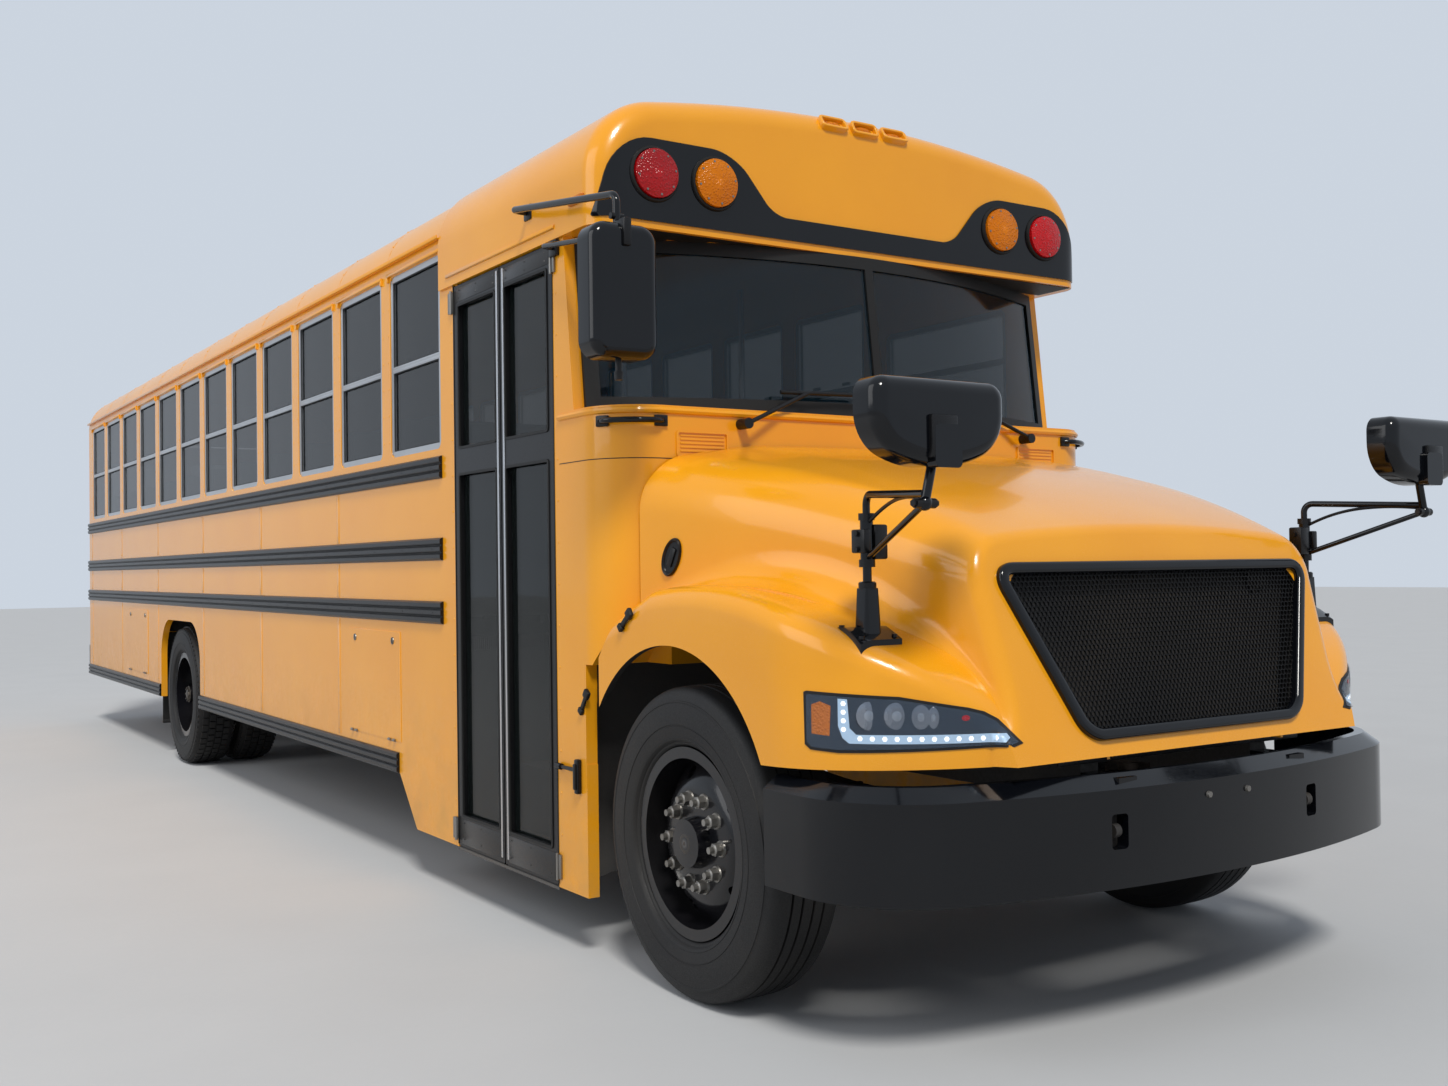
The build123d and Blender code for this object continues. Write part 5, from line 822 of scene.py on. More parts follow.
    @staticmethod
    def finish(
        name: str, mesh: Mesh, finish: Finish, body: str = "bus_body", slot: str | None = None,
        sharp: float = 35.0, merge: float = 0.00005,
    ) -> Piece:
        """Turns a mesh into a finished piece that rides on a body.

        Args:
            name: The piece's name.
            mesh: Its mesh, which is freed.
            finish: Its finish.
            body: The body that it rides on.
            slot: The record's material slot; not used.
            sharp: Edges that turn by more than this many degrees stay sharp.
            merge: Points nearer than this are merged.

        Returns:
            The piece.
        """
        bmesh.ops.remove_doubles(mesh, verts=mesh.verts, dist=merge)
        bmesh.ops.recalc_face_normals(mesh, faces=mesh.faces)
        limit = math.radians(sharp)
        for face in mesh.faces:
            face.smooth = True
        for edge in mesh.edges:
            edge.smooth = len(edge.link_faces) == 2 and edge.calc_face_angle(0.0) < limit
        data = bpy.data.meshes.new(name)
        mesh.to_mesh(data)
        mesh.free()
        data.materials.append(finish.build())
        piece = bpy.data.objects.new(name, data)
        bpy.context.scene.collection.objects.link(piece)
        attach(piece, body)
        log.info("%s: %d faces", name, len(data.polygons))
        return piece


class Skin:
    """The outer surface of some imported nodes, on which thin trim is laid."""

    def __init__(self, *names: str) -> None:
        """Reads the nodes' surfaces.

        Args:
            names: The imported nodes.
        """
        points, faces = [], []
        for name in names:
            node = frame["nodes"][name]
            first = len(points)
            points += [node.matrix_world @ v.co for v in node.data.vertices]
            faces += [[first + i for i in face.vertices] for face in node.data.polygons]
        self.tree = BVHTree.FromPolygons(points, faces)

    def meet(self, start: Vector, towards: Vector) -> tuple[Vector, Vector]:
        """Follows a line to the surface, and returns the point that it meets and the normal there."""
        place, normal, _, _ = self.tree.ray_cast(start, towards)
        return (start, -towards) if place is None else (place, normal)

    def lay(
        self, mesh: Mesh, towards: tuple, lift: float, thick: float, heart: tuple | None = None
    ) -> None:
        """Drops a flat sheet onto the surface and gives it a thickness.

        Args:
            mesh: The sheet, clear of the surface.
            towards: The direction in which it drops.
            lift: How far its underside stays above the surface.
            thick: Its thickness.
            heart: A point on a line along Y towards which the points drop instead.
        """
        before = {}
        for vert in mesh.verts:
            way = Vector(towards).normalized()
            if heart:
                way = Vector((heart[0] - vert.co.x, 0, heart[2] - vert.co.z)).normalized()
            place, _ = self.meet(vert.co - way * 0.5, way)
            vert.co = place - way * lift
            before[vert] = way
        made = bmesh.ops.extrude_face_region(mesh, geom=list(mesh.faces), use_keep_orig=True)["geom"]
        for vert in Shop.vertices(made):
            near = min(before, key=lambda v: (v.co - vert.co).length_squared) if heart else None
            vert.co -= (before[near] if near else Vector(towards).normalized()) * thick


@dataclass
class Tyres:
    """Grooved tyres with siped ribs, shoulder lugs and ringed sidewalls, in the place of the plain ones.

    Attributes:
        crown: Radius at the bottom of the tread grooves.
        top: Radius of the tread.
        blocks: Tread blocks round a rib.
        lugs: Shoulder lugs round each side.
        steps: Faces round the tyre.
        front_x: Distance of a front tyre's middle from the bus's middle.
        rear_x: Distances of a pair of rear tyres' middles from the bus's middle.
        ribs: Distances of a rear tyre's rows of blocks from its middle.
        rib_width: Width of a row of blocks.
        sipe: Width of the gap between two blocks.
        rib_profile: Distance and radius along half of a ribbed tread.
        side_profile: Distance and radius from the tread's middle down the sidewall to the rim.
    """

    crown: float = 0.4975
    top: float = 0.5090
    blocks: int = 56
    lugs: int = 72
    steps: int = 112
    front_x: float = 1.059
    rear_x: tuple = (0.749, 1.069)
    ribs: tuple = (-0.0765, -0.0255, 0.0255, 0.0765)
    rib_width: float = 0.0405
    sipe: float = 0.0105
    rib_profile: tuple = (
        (0.0, 0.5095), (0.0170, 0.5095), (0.0182, 0.4980), (0.0242, 0.4980), (0.0254, 0.5095),
        (0.0560, 0.5090), (0.0572, 0.4975), (0.0632, 0.4975), (0.0644, 0.5085), (0.0990, 0.5060),
        (0.1120, 0.5010), (0.1230, 0.4910),
    )
    side_profile: tuple = (
        (0.0, 0.4975), (0.104, 0.4960), (0.121, 0.4900), (0.1285, 0.4790), (0.1305, 0.4700),
        (0.1335, 0.4630), (0.1365, 0.4620), (0.1370, 0.4570), (0.1352, 0.4555), (0.1385, 0.4300),
        (0.1398, 0.4000), (0.1394, 0.3850), (0.1372, 0.3840), (0.1368, 0.3790), (0.1385, 0.3780),
        (0.1352, 0.3560), (0.1320, 0.3430), (0.1336, 0.3415), (0.1310, 0.3350), (0.1245, 0.3290),
        (0.1190, 0.3270), (0.1170, 0.3215), (0.1110, 0.3165), (0.1040, 0.3125),
    )

    def carcass(self, mesh: Mesh, centre: tuple, ribbed: bool) -> None:
        """Spins the tyre's body with its sidewall rings.

        Args:
            mesh: The mesh to add to.
            centre: The tyre's middle.
            ribbed: True for a tyre with unbroken ribs round its tread.
        """
        half = self.rib_profile + self.side_profile[3:] if ribbed else self.side_profile
        near = [(-u, r) for u, r in reversed(half)]
        Shop.turned(mesh, near + list(half[1:]) + near[:1], centre, 1, self.steps)

    def tread(self, centre: tuple) -> Mesh:
        """Makes the tread blocks and the shoulder lugs.

        Args:
            centre: The tyre's middle.

        Returns:
            The mesh.
        """
        mesh = bmesh.new()
        length = self.top * 2 * math.pi / self.blocks - self.sipe
        for i, rib in enumerate(self.ribs):
            one = bmesh.new()
            drop = 0.0022 if abs(rib) > 0.07 else 0.0
            Shop.block(
                one, (rib - self.rib_width / 2, -length / 2, self.crown - 0.004),
                (rib + self.rib_width / 2, length / 2, self.top - drop), 0.0018, 1,
            )
            Shop.in_ring(one, self.blocks, 0.5 * (i % 2))
            Shop.join(mesh, one)
        lug = bmesh.new()
        for side in (-1, 1):
            Shop.block(lug, (side * 0.1245 - 0.006, -0.007, 0.4660), (side * 0.1245 + 0.006, 0.007, 0.4900))
        Shop.in_ring(lug, self.lugs)
        Shop.join(mesh, lug)
        bmesh.ops.translate(mesh, vec=centre, verts=mesh.verts)
        return mesh

    def build(self) -> None:
        """Builds the six tyres as four pieces."""
        for side, word in ((-1, "right"), (1, "left")):
            front, rear = bmesh.new(), bmesh.new()
            centre = (side * self.front_x, FRONT_AXLE_Y, AXLE_Z)
            self.carcass(front, centre, True)
            piece = Shop.finish(
                f"ribbed_front_tyre_{word}", front, TYRE, f"wheel_front_{word}", "tyre", sharp=24
            )
            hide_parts(f"front_tyre_{word}")
            for x in self.rear_x:
                centre = (side * x, REAR_AXLE_Y, AXLE_Z)
                self.carcass(rear, centre, False)
                Shop.join(rear, self.tread(centre))
            piece = Shop.finish(
                f"lugged_rear_tyres_{word}", rear, TYRE, f"wheel_rear_{word}", "tyre", sharp=24
            )
            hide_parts(f"rear_tyres_{word}")


@dataclass
class WheelFittings:
    """Nuts on studs, hub caps, axle shaft flanges and valve stems on the disc wheels.

    Attributes:
        bolt_circle: Radius of the stud circle.
        studs: Number of studs.
        front_face: Distance of the front disc's face from the bus's middle.
        rear_face: Distance of the rear disc's face from the bus's middle.
        oil_cap: Distance and radius along the front hub's oil cap.
        flange: Distance and radius along the axle shaft's flange.
    """

    bolt_circle: float = 0.1429
    studs: int = 10
    front_face: float = 1.139
    rear_face: float = 0.921
    oil_cap: tuple = (
        (-0.030, 0.0), (-0.030, 0.066), (-0.012, 0.066), (-0.0105, 0.0645), (-0.0105, 0.045),
        (-0.006, 0.041), (-0.002, 0.033), (-0.001, 0.030), (-0.001, 0.021), (-0.004, 0.019), (-0.004, 0.0),
    )
    flange: tuple = (
        (-0.02, 0.0), (-0.02, 0.0595), (0.002, 0.0595), (0.004, 0.057), (0.004, 0.036), (0.012, 0.032),
        (0.016, 0.024), (0.016, 0.0),
    )

    def nuts(self, side: int, face: float, axle_y: float) -> Mesh:
        """Makes the ring of flanged nuts with their stud ends.

        Args:
            side: 1 for the left wheel, -1 for the right.
            face: Distance of the disc's face from the middle.
            axle_y: The axle's Y.

        Returns:
            The mesh.
        """
        mesh = bmesh.new()
        for near, far, radius, tip, sides in (
            (0.0, 0.005, 0.0280, 0.0262, 14), (0.005, 0.029, 0.0218, 0.0212, 6),
            (0.029, 0.033, 0.0185, 0.015, 12), (0.033, 0.049, 0.0120, 0.0112, 10),
        ):
            Shop.drum(
                mesh, (side * (face + near), 0, self.bolt_circle),
                (side * (face + far), 0, self.bolt_circle), radius, tip, sides,
            )
        Shop.in_ring(mesh, self.studs, 0.5)
        bmesh.ops.translate(mesh, vec=(0, axle_y, AXLE_Z), verts=mesh.verts)
        return mesh

    def valve(self, mesh: Mesh, side: int, face: float, axle_y: float) -> None:
        """Adds a bent valve stem with its cap beside a hand hole.

        Args:
            mesh: The mesh to add to.
            side: 1 for the left wheel, -1 for the right.
            face: Distance of the stem's foot from the middle.
            axle_y: The axle's Y.
        """
        foot = Vector((side * face, axle_y - 0.2, AXLE_Z + 0.03))
        tip = foot + Vector((side * 0.045, 0.012, 0.0))
        Shop.drum(mesh, foot, tip, 0.0045, 0.0045, 10)
        Shop.drum(mesh, tip, tip + (tip - foot).normalized() * 0.016, 0.0065, 0.0055, 10)
        Shop.drum(mesh, foot, foot + (tip - foot) * 0.2, 0.0085, 0.0075, 10)

    def hub(self, side: int, place: tuple, profile: tuple, bolts: tuple, count: int) -> Mesh:
        """Makes a hub's turned cap or flange with its ring of bolts.

        Args:
            side: 1 for the left wheel, -1 for the right.
            place: The hub's distance from the bus's middle and the axle's Y.
            profile: Distance and radius along the cap.
            bolts: Where the bolts start and end, and the radius of their circle.
            count: Number of bolts.

        Returns:
            The mesh.
        """
        mesh, bolt = bmesh.new(), bmesh.new()
        face, axle_y = place
        Shop.turned(mesh, profile, (side * face, axle_y, AXLE_Z), side, 40)
        start, end, circle = bolts
        Shop.drum(bolt, (side * start, 0, circle), (side * end, 0, circle), 0.0078, 0.0072, 6)
        Shop.in_ring(bolt, count)
        bmesh.ops.translate(bolt, vec=(0, axle_y, AXLE_Z), verts=bolt.verts)
        Shop.join(mesh, bolt)
        return mesh

    def build(self) -> None:
        """Builds the fittings of both sides."""
        for side, word in ((-1, "right"), (1, "left")):
            front = self.nuts(side, self.front_face, FRONT_AXLE_Y)
            self.valve(front, side, 1.10, FRONT_AXLE_Y)
            Shop.finish(f"front_nuts_{word}", front, NUT_STEEL, f"wheel_front_{word}")
            cap = self.hub(side, (1.189, FRONT_AXLE_Y), self.oil_cap, (1.176, 1.183, 0.0555), 6)
            Shop.finish(f"front_hub_cap_{word}", cap, HUB_IRON, f"wheel_front_{word}")
            rear = self.nuts(side, self.rear_face, REAR_AXLE_Y)
            Shop.finish(f"rear_nuts_{word}", rear, NUT_STEEL, f"wheel_rear_{word}")
            flange = self.hub(side, (1.155, REAR_AXLE_Y), self.flange, (1.158, 1.170, 0.0475), 8)
            Shop.finish(f"axle_shaft_flange_{word}", flange, HUB_IRON, f"wheel_rear_{word}")


@dataclass
class Headlamps:
    """Wrap-round lamp units: dark bowl, reflectors, light strip, amber corner and a clear cover.

    Attributes:
        aim: Direction in which the right lamp's parts are laid on the fender.
        across: Direction along the right lamp, towards the bus's middle.
        start: Distance along the lamp at its outer end.
        ahead: Distance of the plane before the lamp from the origin.
        outer: Outline of the gasket, as distances along the lamp and heights.
        inner: Outline of the bowl and the cover.
        strip: Outlines of the light strip's three parts.
    """

    aim: Triple = (0.6, 0.8, 0.0)
    across: Triple = (0.8, -0.6, 0.0)
    start: float = 2.405
    ahead: float = 5.6
    outer: tuple = (
        (0.006, 0.898), (0.022, 0.884), (0.10, 0.879), (0.585, 0.897), (0.612, 0.905), (0.545, 0.972),
        (0.505, 0.994), (0.460, 1.006), (0.270, 1.038), (0.012, 1.050), (0.004, 1.046),
    )
    inner: tuple = (
        (0.012, 0.906), (0.026, 0.892), (0.10, 0.888), (0.580, 0.904), (0.597, 0.910), (0.538, 0.966),
        (0.500, 0.987), (0.456, 0.999), (0.268, 1.030), (0.018, 1.041), (0.011, 1.038),
    )
    strip: tuple = (
        ((0.100, 0.955), (0.132, 0.950), (0.126, 1.030), (0.100, 1.031)),
        ((0.100, 0.955), (0.132, 0.950), (0.150, 0.932), (0.130, 0.907), (0.112, 0.922)),
        ((0.130, 0.907), (0.150, 0.932), (0.565, 0.934), (0.574, 0.922), (0.560, 0.910)),
    )

    def place(self, along: float, z: float, back: float = 0.0) -> Vector:
        """A point before the right lamp, by distance along it, height and distance to the back."""
        sideways = Vector(self.across) * (self.start + along)
        return sideways + Vector(self.aim) * (back - self.ahead) + Vector((0, 0, z))

    def sheet(self, outline: list, cuts: int = 24) -> Mesh:
        """Cuts a flat sheet to a convex outline of (along, z) points, before the right lamp.

        Args:
            outline: The outline, clockwise or not.
            cuts: Faces along the sheet.

        Returns:
            The sheet.
        """
        mesh = bmesh.new()
        along = [p[0] for p in outline]
        heights = [p[1] for p in outline]
        middle = self.place((min(along) + max(along)) / 2, (min(heights) + max(heights)) / 2)
        turn = Matrix((self.across, (0, 0, 1), self.aim)).transposed().to_4x4()
        size = Matrix.Diagonal((max(along) - min(along), max(heights) - min(heights), 1, 1))
        bmesh.ops.create_grid(
            mesh, x_segments=cuts, y_segments=max(2, cuts // 4), size=0.5,
            matrix=Matrix.Translation(middle) @ turn @ size,
        )
        centre = self.place(sum(along) / len(along), sum(heights) / len(heights))
        for first, second in zip(outline, outline[1:] + outline[:1]):
            a, b = self.place(*first), self.place(*second)
            normal = (b - a).cross(Vector(self.aim)).normalized()
            if normal.dot(centre - a) > 0:
                normal = -normal
            bmesh.ops.bisect_plane(
                mesh, geom=Shop.whole(mesh), plane_co=a, plane_no=normal, clear_outer=True,
            )
        return mesh

    def piece(
        self, name: str, sheets: list, lift: float, thick: float, finish: Finish, cuts: int = 24
    ) -> Piece:
        """Lays sheets on the fender, mirrors them and finishes them as one piece.

        Args:
            name: The piece's name.
            sheets: The outlines.
            lift: Height of the underside above the fender.
            thick: Thickness.
            finish: The finish.
            cuts: Faces along a sheet.

        Returns:
            The piece.
        """
        whole = bmesh.new()
        for outline in sheets:
            sheet = self.sheet(outline, cuts)
            self.skin.lay(sheet, self.aim, lift, thick)
            Shop.join(whole, sheet)
        Shop.mirrored(whole)
        return Shop.finish(name, whole, finish, "nose", sharp=30)

    def build(self) -> None:
        """Builds both lamps."""
        self.skin = Skin("hood")
        self.piece("headlamp_gasket", [self.outer], 0.0002, 0.0034, RUBBER)
        self.piece("headlamp_bowl", [self.inner], 0.0006, 0.0050, LAMP_BOWL)
        self.piece("lamp_strip", self.strip, 0.0052, 0.0016, WHITE_GLOW)
        dots = [(0.115, 1.018 - 0.024 * n) for n in range(4)] + [
            (0.160 + 0.034 * n, 0.9215) for n in range(12)
        ]
        dots = [Shop.oval(u, z, 0.0075, 0.0075, 6) for u, z in dots]
        self.piece("lamp_strip_dots", dots, 0.0060, 0.0012, WHITE_DOT, cuts=4)
        amber = [[(0.026, 0.930), (0.076, 0.926), (0.080, 1.010), (0.050, 1.022), (0.026, 1.012)]]
        self.piece("corner_turn_lenses", amber, 0.0050, 0.0022, LENS_AMBER)
        bowls = bmesh.new()
        gems = bmesh.new()
        for along, z, wide, tall in (
            (0.186, 0.985, 0.036, 0.040), (0.262, 0.985, 0.036, 0.038), (0.328, 0.982, 0.026, 0.034),
            (0.362, 0.980, 0.016, 0.030),
        ):
            start = self.place(along, z, -0.5)
            hit, _ = self.skin.meet(start, Vector(self.aim))
            turn = (-Vector(self.aim)).to_track_quat("Z", "Y").to_matrix().to_4x4()
            base = Matrix.Translation(hit - Vector(self.aim) * 0.0055) @ turn
            bmesh.ops.create_uvsphere(
                bowls, u_segments=18, v_segments=10, radius=1.0,
                matrix=base @ Matrix.Diagonal((wide, tall, 0.0022, 1)),
            )
            bmesh.ops.create_uvsphere(
                gems, u_segments=14, v_segments=8, radius=1.0,
                matrix=base @ Matrix.Diagonal((wide * 0.5, tall * 0.5, 0.0032, 1)),
            )
        for mesh, name, finish in (
            (bowls, "lamp_reflectors", CHROME), (gems, "lamp_projectors", LAMP_GLASS)
        ):
            Shop.mirrored(mesh)
            Shop.finish(name, mesh, finish, "nose", sharp=16)
        self.piece("lamp_red_spot", [Shop.oval(0.452, 0.978, 0.012, 0.008, 12)], 0.0050, 0.0018, LENS_RED)
        cover = self.piece("headlamp_covers", [self.inner], 0.0088, 0.0012, LENS_CLEAR)
        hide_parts("headlamps")


@dataclass
class GrilleMesh:
    """The grille's frame, the honeycomb mesh in it, and a dark sheet of painted shade behind it.

    Attributes:
        pitch: Distance between two cells.
        wall: Thickness of a cell's wall.
        depth: Depth of the mesh.
        half_top: Half the mouth's width at its top.
        half_bottom: Half the mouth's width at its bottom.
        top_z: Height of the mouth's top.
        bottom_z: Height of the mouth's bottom.
        rake: Sine and cosine of the face's rake.
        foot: Y and Z of the raked face's foot.
        corners: X, Z and radius of the frame's outer corners.
    """

    pitch: float = 0.0175
    wall: float = 0.0021
    depth: float = 0.006
    half_top: float = 0.712
    half_bottom: float = 0.480
    top_z: float = 1.384
    bottom_z: float = 0.905
    rake: tuple[float, float] = (0.2735, 0.9619)
    foot: tuple[float, float] = (-6.026, 0.884)
    corners: tuple = (
        (0.742, 1.404, 0.095), (0.498, 0.885, 0.070), (-0.498, 0.885, 0.070), (-0.742, 1.404, 0.095)
    )

    def on_face(self, x: float, z: float, slope: Vector) -> Vector:
        """A point of the raked face at an X and a Z."""
        return Vector((x, *self.foot)) + slope * ((z - self.foot[1]) / self.rake[1])

    def frame(self, slope: Vector, out: Vector) -> None:
        """Builds the thick rounded frame round the mouth.

        Args:
            slope: Direction up the raked face.
            out: Direction out of the raked face.
        """
        mesh = bmesh.new()
        mesh.faces.new([mesh.verts.new(self.on_face(x, z, slope)) for x, z, _ in self.corners])
        for vert, (_, _, turn) in zip(list(mesh.verts), self.corners):
            Shop.rounded(mesh, [vert], turn, 10, "VERTICES")
        face = max(mesh.faces, key=lambda f: f.calc_area())
        rim = bmesh.ops.inset_individual(mesh, faces=[face], thickness=0.036, use_even_offset=True)["faces"]
        bmesh.ops.delete(mesh, geom=[face], context="FACES_ONLY")
        front = Shop.thicken(mesh, rim, out * 0.052)
        bmesh.ops.translate(mesh, vec=-out * 0.030, verts=mesh.verts)
        chosen = set(front)
        ring = [f for f in mesh.faces if all(v in chosen for v in f.verts)]
        edges = [e for e in {e for f in ring for e in f.edges} if any(g not in ring for g in e.link_faces)]
        Shop.rounded(mesh, edges, 0.012, 4)
        piece = Shop.finish("grille_frame", mesh, GLOSS_BLACK, "nose", "black_gloss", sharp=50)
        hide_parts("grille")

    def build(self) -> None:
        """Builds the mesh on the raked face, its frame, the dark sheet of painted shade behind it and the
        horn.
        """
        mesh = bmesh.new()
        rise = self.pitch * math.sqrt(3) / 2
        lean, rise_part = self.rake
        slope = Vector((0, lean, rise_part))
        out = Vector((0, -rise_part, lean))
        foot = Vector((0, self.foot[0] + (self.bottom_z - self.foot[1]) * 0.2843, self.bottom_z))
        length = (self.top_z - self.bottom_z) / rise_part
        for row in range(int(length / rise) + 2):
            height = row * rise
            part = min(1.0, height / length)
            half = self.half_bottom + (self.half_top - self.half_bottom) * part
            shift = 0.5 * (row % 2)
            for column in range(-int(half / self.pitch) - 1, int(half / self.pitch) + 2):
                x = (column + shift) * self.pitch
                if abs(x) > half:
                    continue
                middle = foot + slope * height + Vector((x, 0, 0))
                turn = Matrix((Vector((1, 0, 0)), slope, out)).transposed().to_4x4()
                made = Matrix.Translation(middle) @ turn @ Matrix.Rotation(math.pi / 6, 4, "Z")
                bmesh.ops.create_circle(
                    mesh, cap_ends=True, segments=6, radius=self.pitch / math.sqrt(3), matrix=made
                )
        bmesh.ops.remove_doubles(mesh, verts=mesh.verts, dist=0.0012)
        cells = list(mesh.faces)
        walls = bmesh.ops.inset_individual(mesh, faces=cells, thickness=self.wall / 2)["faces"]
        bmesh.ops.delete(mesh, geom=cells, context="FACES")
        Shop.thicken(mesh, walls, out * self.depth)
        bmesh.ops.translate(mesh, vec=-out * 0.0085, verts=mesh.verts)
        Shop.finish("grille_honeycomb", mesh, SATIN_BLACK, "nose", merge=0.00001, sharp=20)
        self.frame(slope, out)
        # Painted shade: a near-black sheet behind the mesh stands for the shaded cavity behind the grille.
        shade_sheet = bmesh.new()
        sheet = [
            self.on_face(x, z, slope) - out * 0.050
            for x, z in ((-0.455, 0.905), (0.455, 0.905), (0.690, 1.380), (-0.690, 1.380))
        ]
        face = shade_sheet.faces.new([shade_sheet.verts.new(p) for p in sheet])
        Shop.thicken(shade_sheet, [face], -out * 0.003)
        Shop.finish("grille_shade_sheet", shade_sheet, CHASSIS, "nose")
        horn = bmesh.new()
        Shop.drum(horn, (0.52, -5.862, 1.335), (0.52, -5.838, 1.335), 0.050, 0.044, 28)
        Shop.drum(horn, (0.52, -5.872, 1.335), (0.52, -5.862, 1.335), 0.026, 0.040, 20)
        Shop.finish("horn", horn, CHASSIS, "nose")


@dataclass
class LampTrim:
    """Rings and screws on the warning, brake and turn lamps, and bezels on the clearance lamps.

    Attributes:
        front_y: Face of the front lamp panel.
        rear_y: Face of the rear wall.
        front_rows: X, Z and radius of each front lamp.
        rear_rows: X, Z and radius of each rear lamp.
        markers: X of the clearance lamps.
        marker_z: Their height.
    """

    front_y: float = -4.467
    rear_y: float = 6.045
    front_rows: tuple = ((0.988, 2.831, 0.089), (0.728, 2.831, 0.089))
    markers: tuple = (-0.155, 0.0, 0.155)
    marker_z: float = 3.150
    rear_rows: tuple = (
        (0.870, 2.870, 0.089), (0.640, 2.870, 0.089), (1.020, 1.660, 0.089), (0.830, 1.660, 0.070),
        (1.020, 1.375, 0.055),
    )

    def ring(self, mesh: Mesh, x: float, y: float, z: float, radius: float, way: int) -> None:
        """Adds a rubber ring round a lamp; way is -1 where it faces the front, 1 for the rear."""
        profile = [
            (-0.004, radius + 0.0008), (0.008, radius + 0.0008), (0.011, radius + 0.004),
            (0.010, radius + 0.010), (0.003, radius + 0.014), (-0.004, radius + 0.014),
            (-0.004, radius + 0.0008),
        ]
        Shop.lathe(mesh, profile, (x, y, z), (0, way, 0), 48)

    def screws(self, mesh: Mesh, x: float, y: float, z: float, radius: float, way: int) -> None:
        """Adds the lens screws round a lamp.

        Args:
            mesh: The mesh to add to.
            x: The lamp's X.
            y: Where their heads end.
            z: The lamp's Z.
            radius: Radius of the screw circle.
            way: -1 where it faces the front, 1 where it faces the rear.
        """
        for n in range(8):
            turn = math.pi * (n + 0.25) / 4
            place = Vector((x + radius * math.cos(turn), y, z + radius * math.sin(turn)))
            Shop.drum(mesh, place - Vector((0, way * 0.006, 0)), place, 0.0052, 0.0042, 8)

    def build(self) -> None:
        """Builds the rings and screws of both ends, and the clearance lamps' bezels and lenses."""
        rings, screws = bmesh.new(), bmesh.new()
        skin = Skin("red_lamps", "amber_lamps")
        for rows, y, way in ((self.front_rows, self.front_y, -1), (self.rear_rows, self.rear_y, 1)):
            for x, z, radius in rows:
                for side in (-1, 1):
                    self.ring(rings, side * x, y, z, radius, way)
                    rim = radius - 0.011
                    hit, _ = skin.meet(Vector((side * x + rim, y + way * 0.5, z)), Vector((0, -way, 0)))
                    self.screws(screws, side * x, hit.y + way * 0.0018, z, rim, way)
        Shop.finish("lamp_rings", rings, RUBBER)
        Shop.finish("lamp_screws", screws, NUT_STEEL)
        cap, bezels, lenses = Skin("front_cap"), bmesh.new(), bmesh.new()
        for x in self.markers:
            hit, normal = cap.meet(Vector((x, -5.5, self.marker_z)), Vector((0, 1, 0)))
            lean = Matrix.Translation(hit) @ Matrix.Rotation(math.atan2(-normal.z, -normal.y), 4, "X")
            ring, lens = bmesh.new(), bmesh.new()
            Shop.ring_frame_y(ring, 0.012, -0.066, 0.066, -0.032, 0.032, 0.013, -0.030)
            edges = [e for e in ring.edges if all(v.co.y < -0.015 for v in e.verts)]
            Shop.rounded(ring, edges, 0.004, 3)
            bmesh.ops.transform(ring, matrix=lean, verts=ring.verts)
            Shop.join(bezels, ring)
            bmesh.ops.create_uvsphere(
                lens, u_segments=24, v_segments=12, radius=1.0,
                matrix=lean @ Matrix.Diagonal((0.040, 0.011, 0.016, 1)),
            )
            Shop.join(lenses, lens)
        Shop.finish("clearance_bezels", bezels, YELLOW, "bus_body", "body_paint")
        for side in (-1, 1):
            Shop.block(
                lenses, (side * 1.231 - 0.012, -4.380, 2.722), (side * 1.231 + 0.012, -4.272, 2.752), 0.006,
                3,
            )
        piece = Shop.finish("clearance_lenses", lenses, LENS_AMBER, "bus_body", "lens_amber", sharp=40)
        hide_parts("marker_lamps")


@dataclass
class HeaderPanel:
    """The glossy lamp panel with its rounded shoulders, a black sheet of painted shade under the cap and
    the valance.

    Attributes:
        outline: Corners of the left half seen from the front, with the radius of each.
    """

    outline: tuple = (
        (0.455, 2.744, 0.060), (0.640, 2.962, 0.100), (1.150, 2.962, 0.150), (1.222, 2.660, 0.012)
    )

    def build(self) -> None:
        """Builds the panel, the painted shade under the cap and the valance."""
        skin = Skin("front_cap")
        mesh = bmesh.new()
        rows = list(self.outline) + [(-x, z, turn) for x, z, turn in reversed(self.outline)]
        mesh.faces.new([mesh.verts.new((x, -5.2, z)) for x, z, _ in rows])
        for vert, (_, _, turn) in zip(list(mesh.verts), rows):
            Shop.rounded(mesh, [vert], turn, 8, "VERTICES")
        for n in range(-30, 31):
            place = n / 30 * 1.2 if abs(n) < 22 else math.copysign(
                1.0 + 0.222 * ((abs(n) - 21) / 10) ** 0.6, n
            )
            bmesh.ops.bisect_plane(mesh, geom=Shop.whole(mesh), plane_co=(place, 0, 0), plane_no=(1, 0, 0))
        skin.lay(mesh, (0, 1, 0), 0.0003, 0.0066)
        piece = Shop.finish("header_panel", mesh, GLOSS_BLACK, "bus_body", "black_gloss", sharp=40)
        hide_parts("lamp_panel")
        # Painted shade: a black sheet laid on the cap's underside, where its overhang falls in shadow.
        shade_under_cap = bmesh.new()
        bmesh.ops.create_grid(
            shade_under_cap, x_segments=30, y_segments=4, size=0.5,
            matrix=Matrix.Translation((0, -4.345, 2.50)) @ Matrix.Diagonal((2.36, 0.190, 1, 1)),
        )
        skin.lay(shade_under_cap, (0, 0, 1), 0.0004, 0.0020)
        Shop.finish("cap_painted_shade", shade_under_cap, RUBBER)
        valance = bmesh.new()
        Shop.block(valance, (-0.560, -5.975, 0.815), (0.560, -5.967, 0.890), 0.002)
        Shop.finish("nose_valance", valance, SATIN_BLACK, "nose")


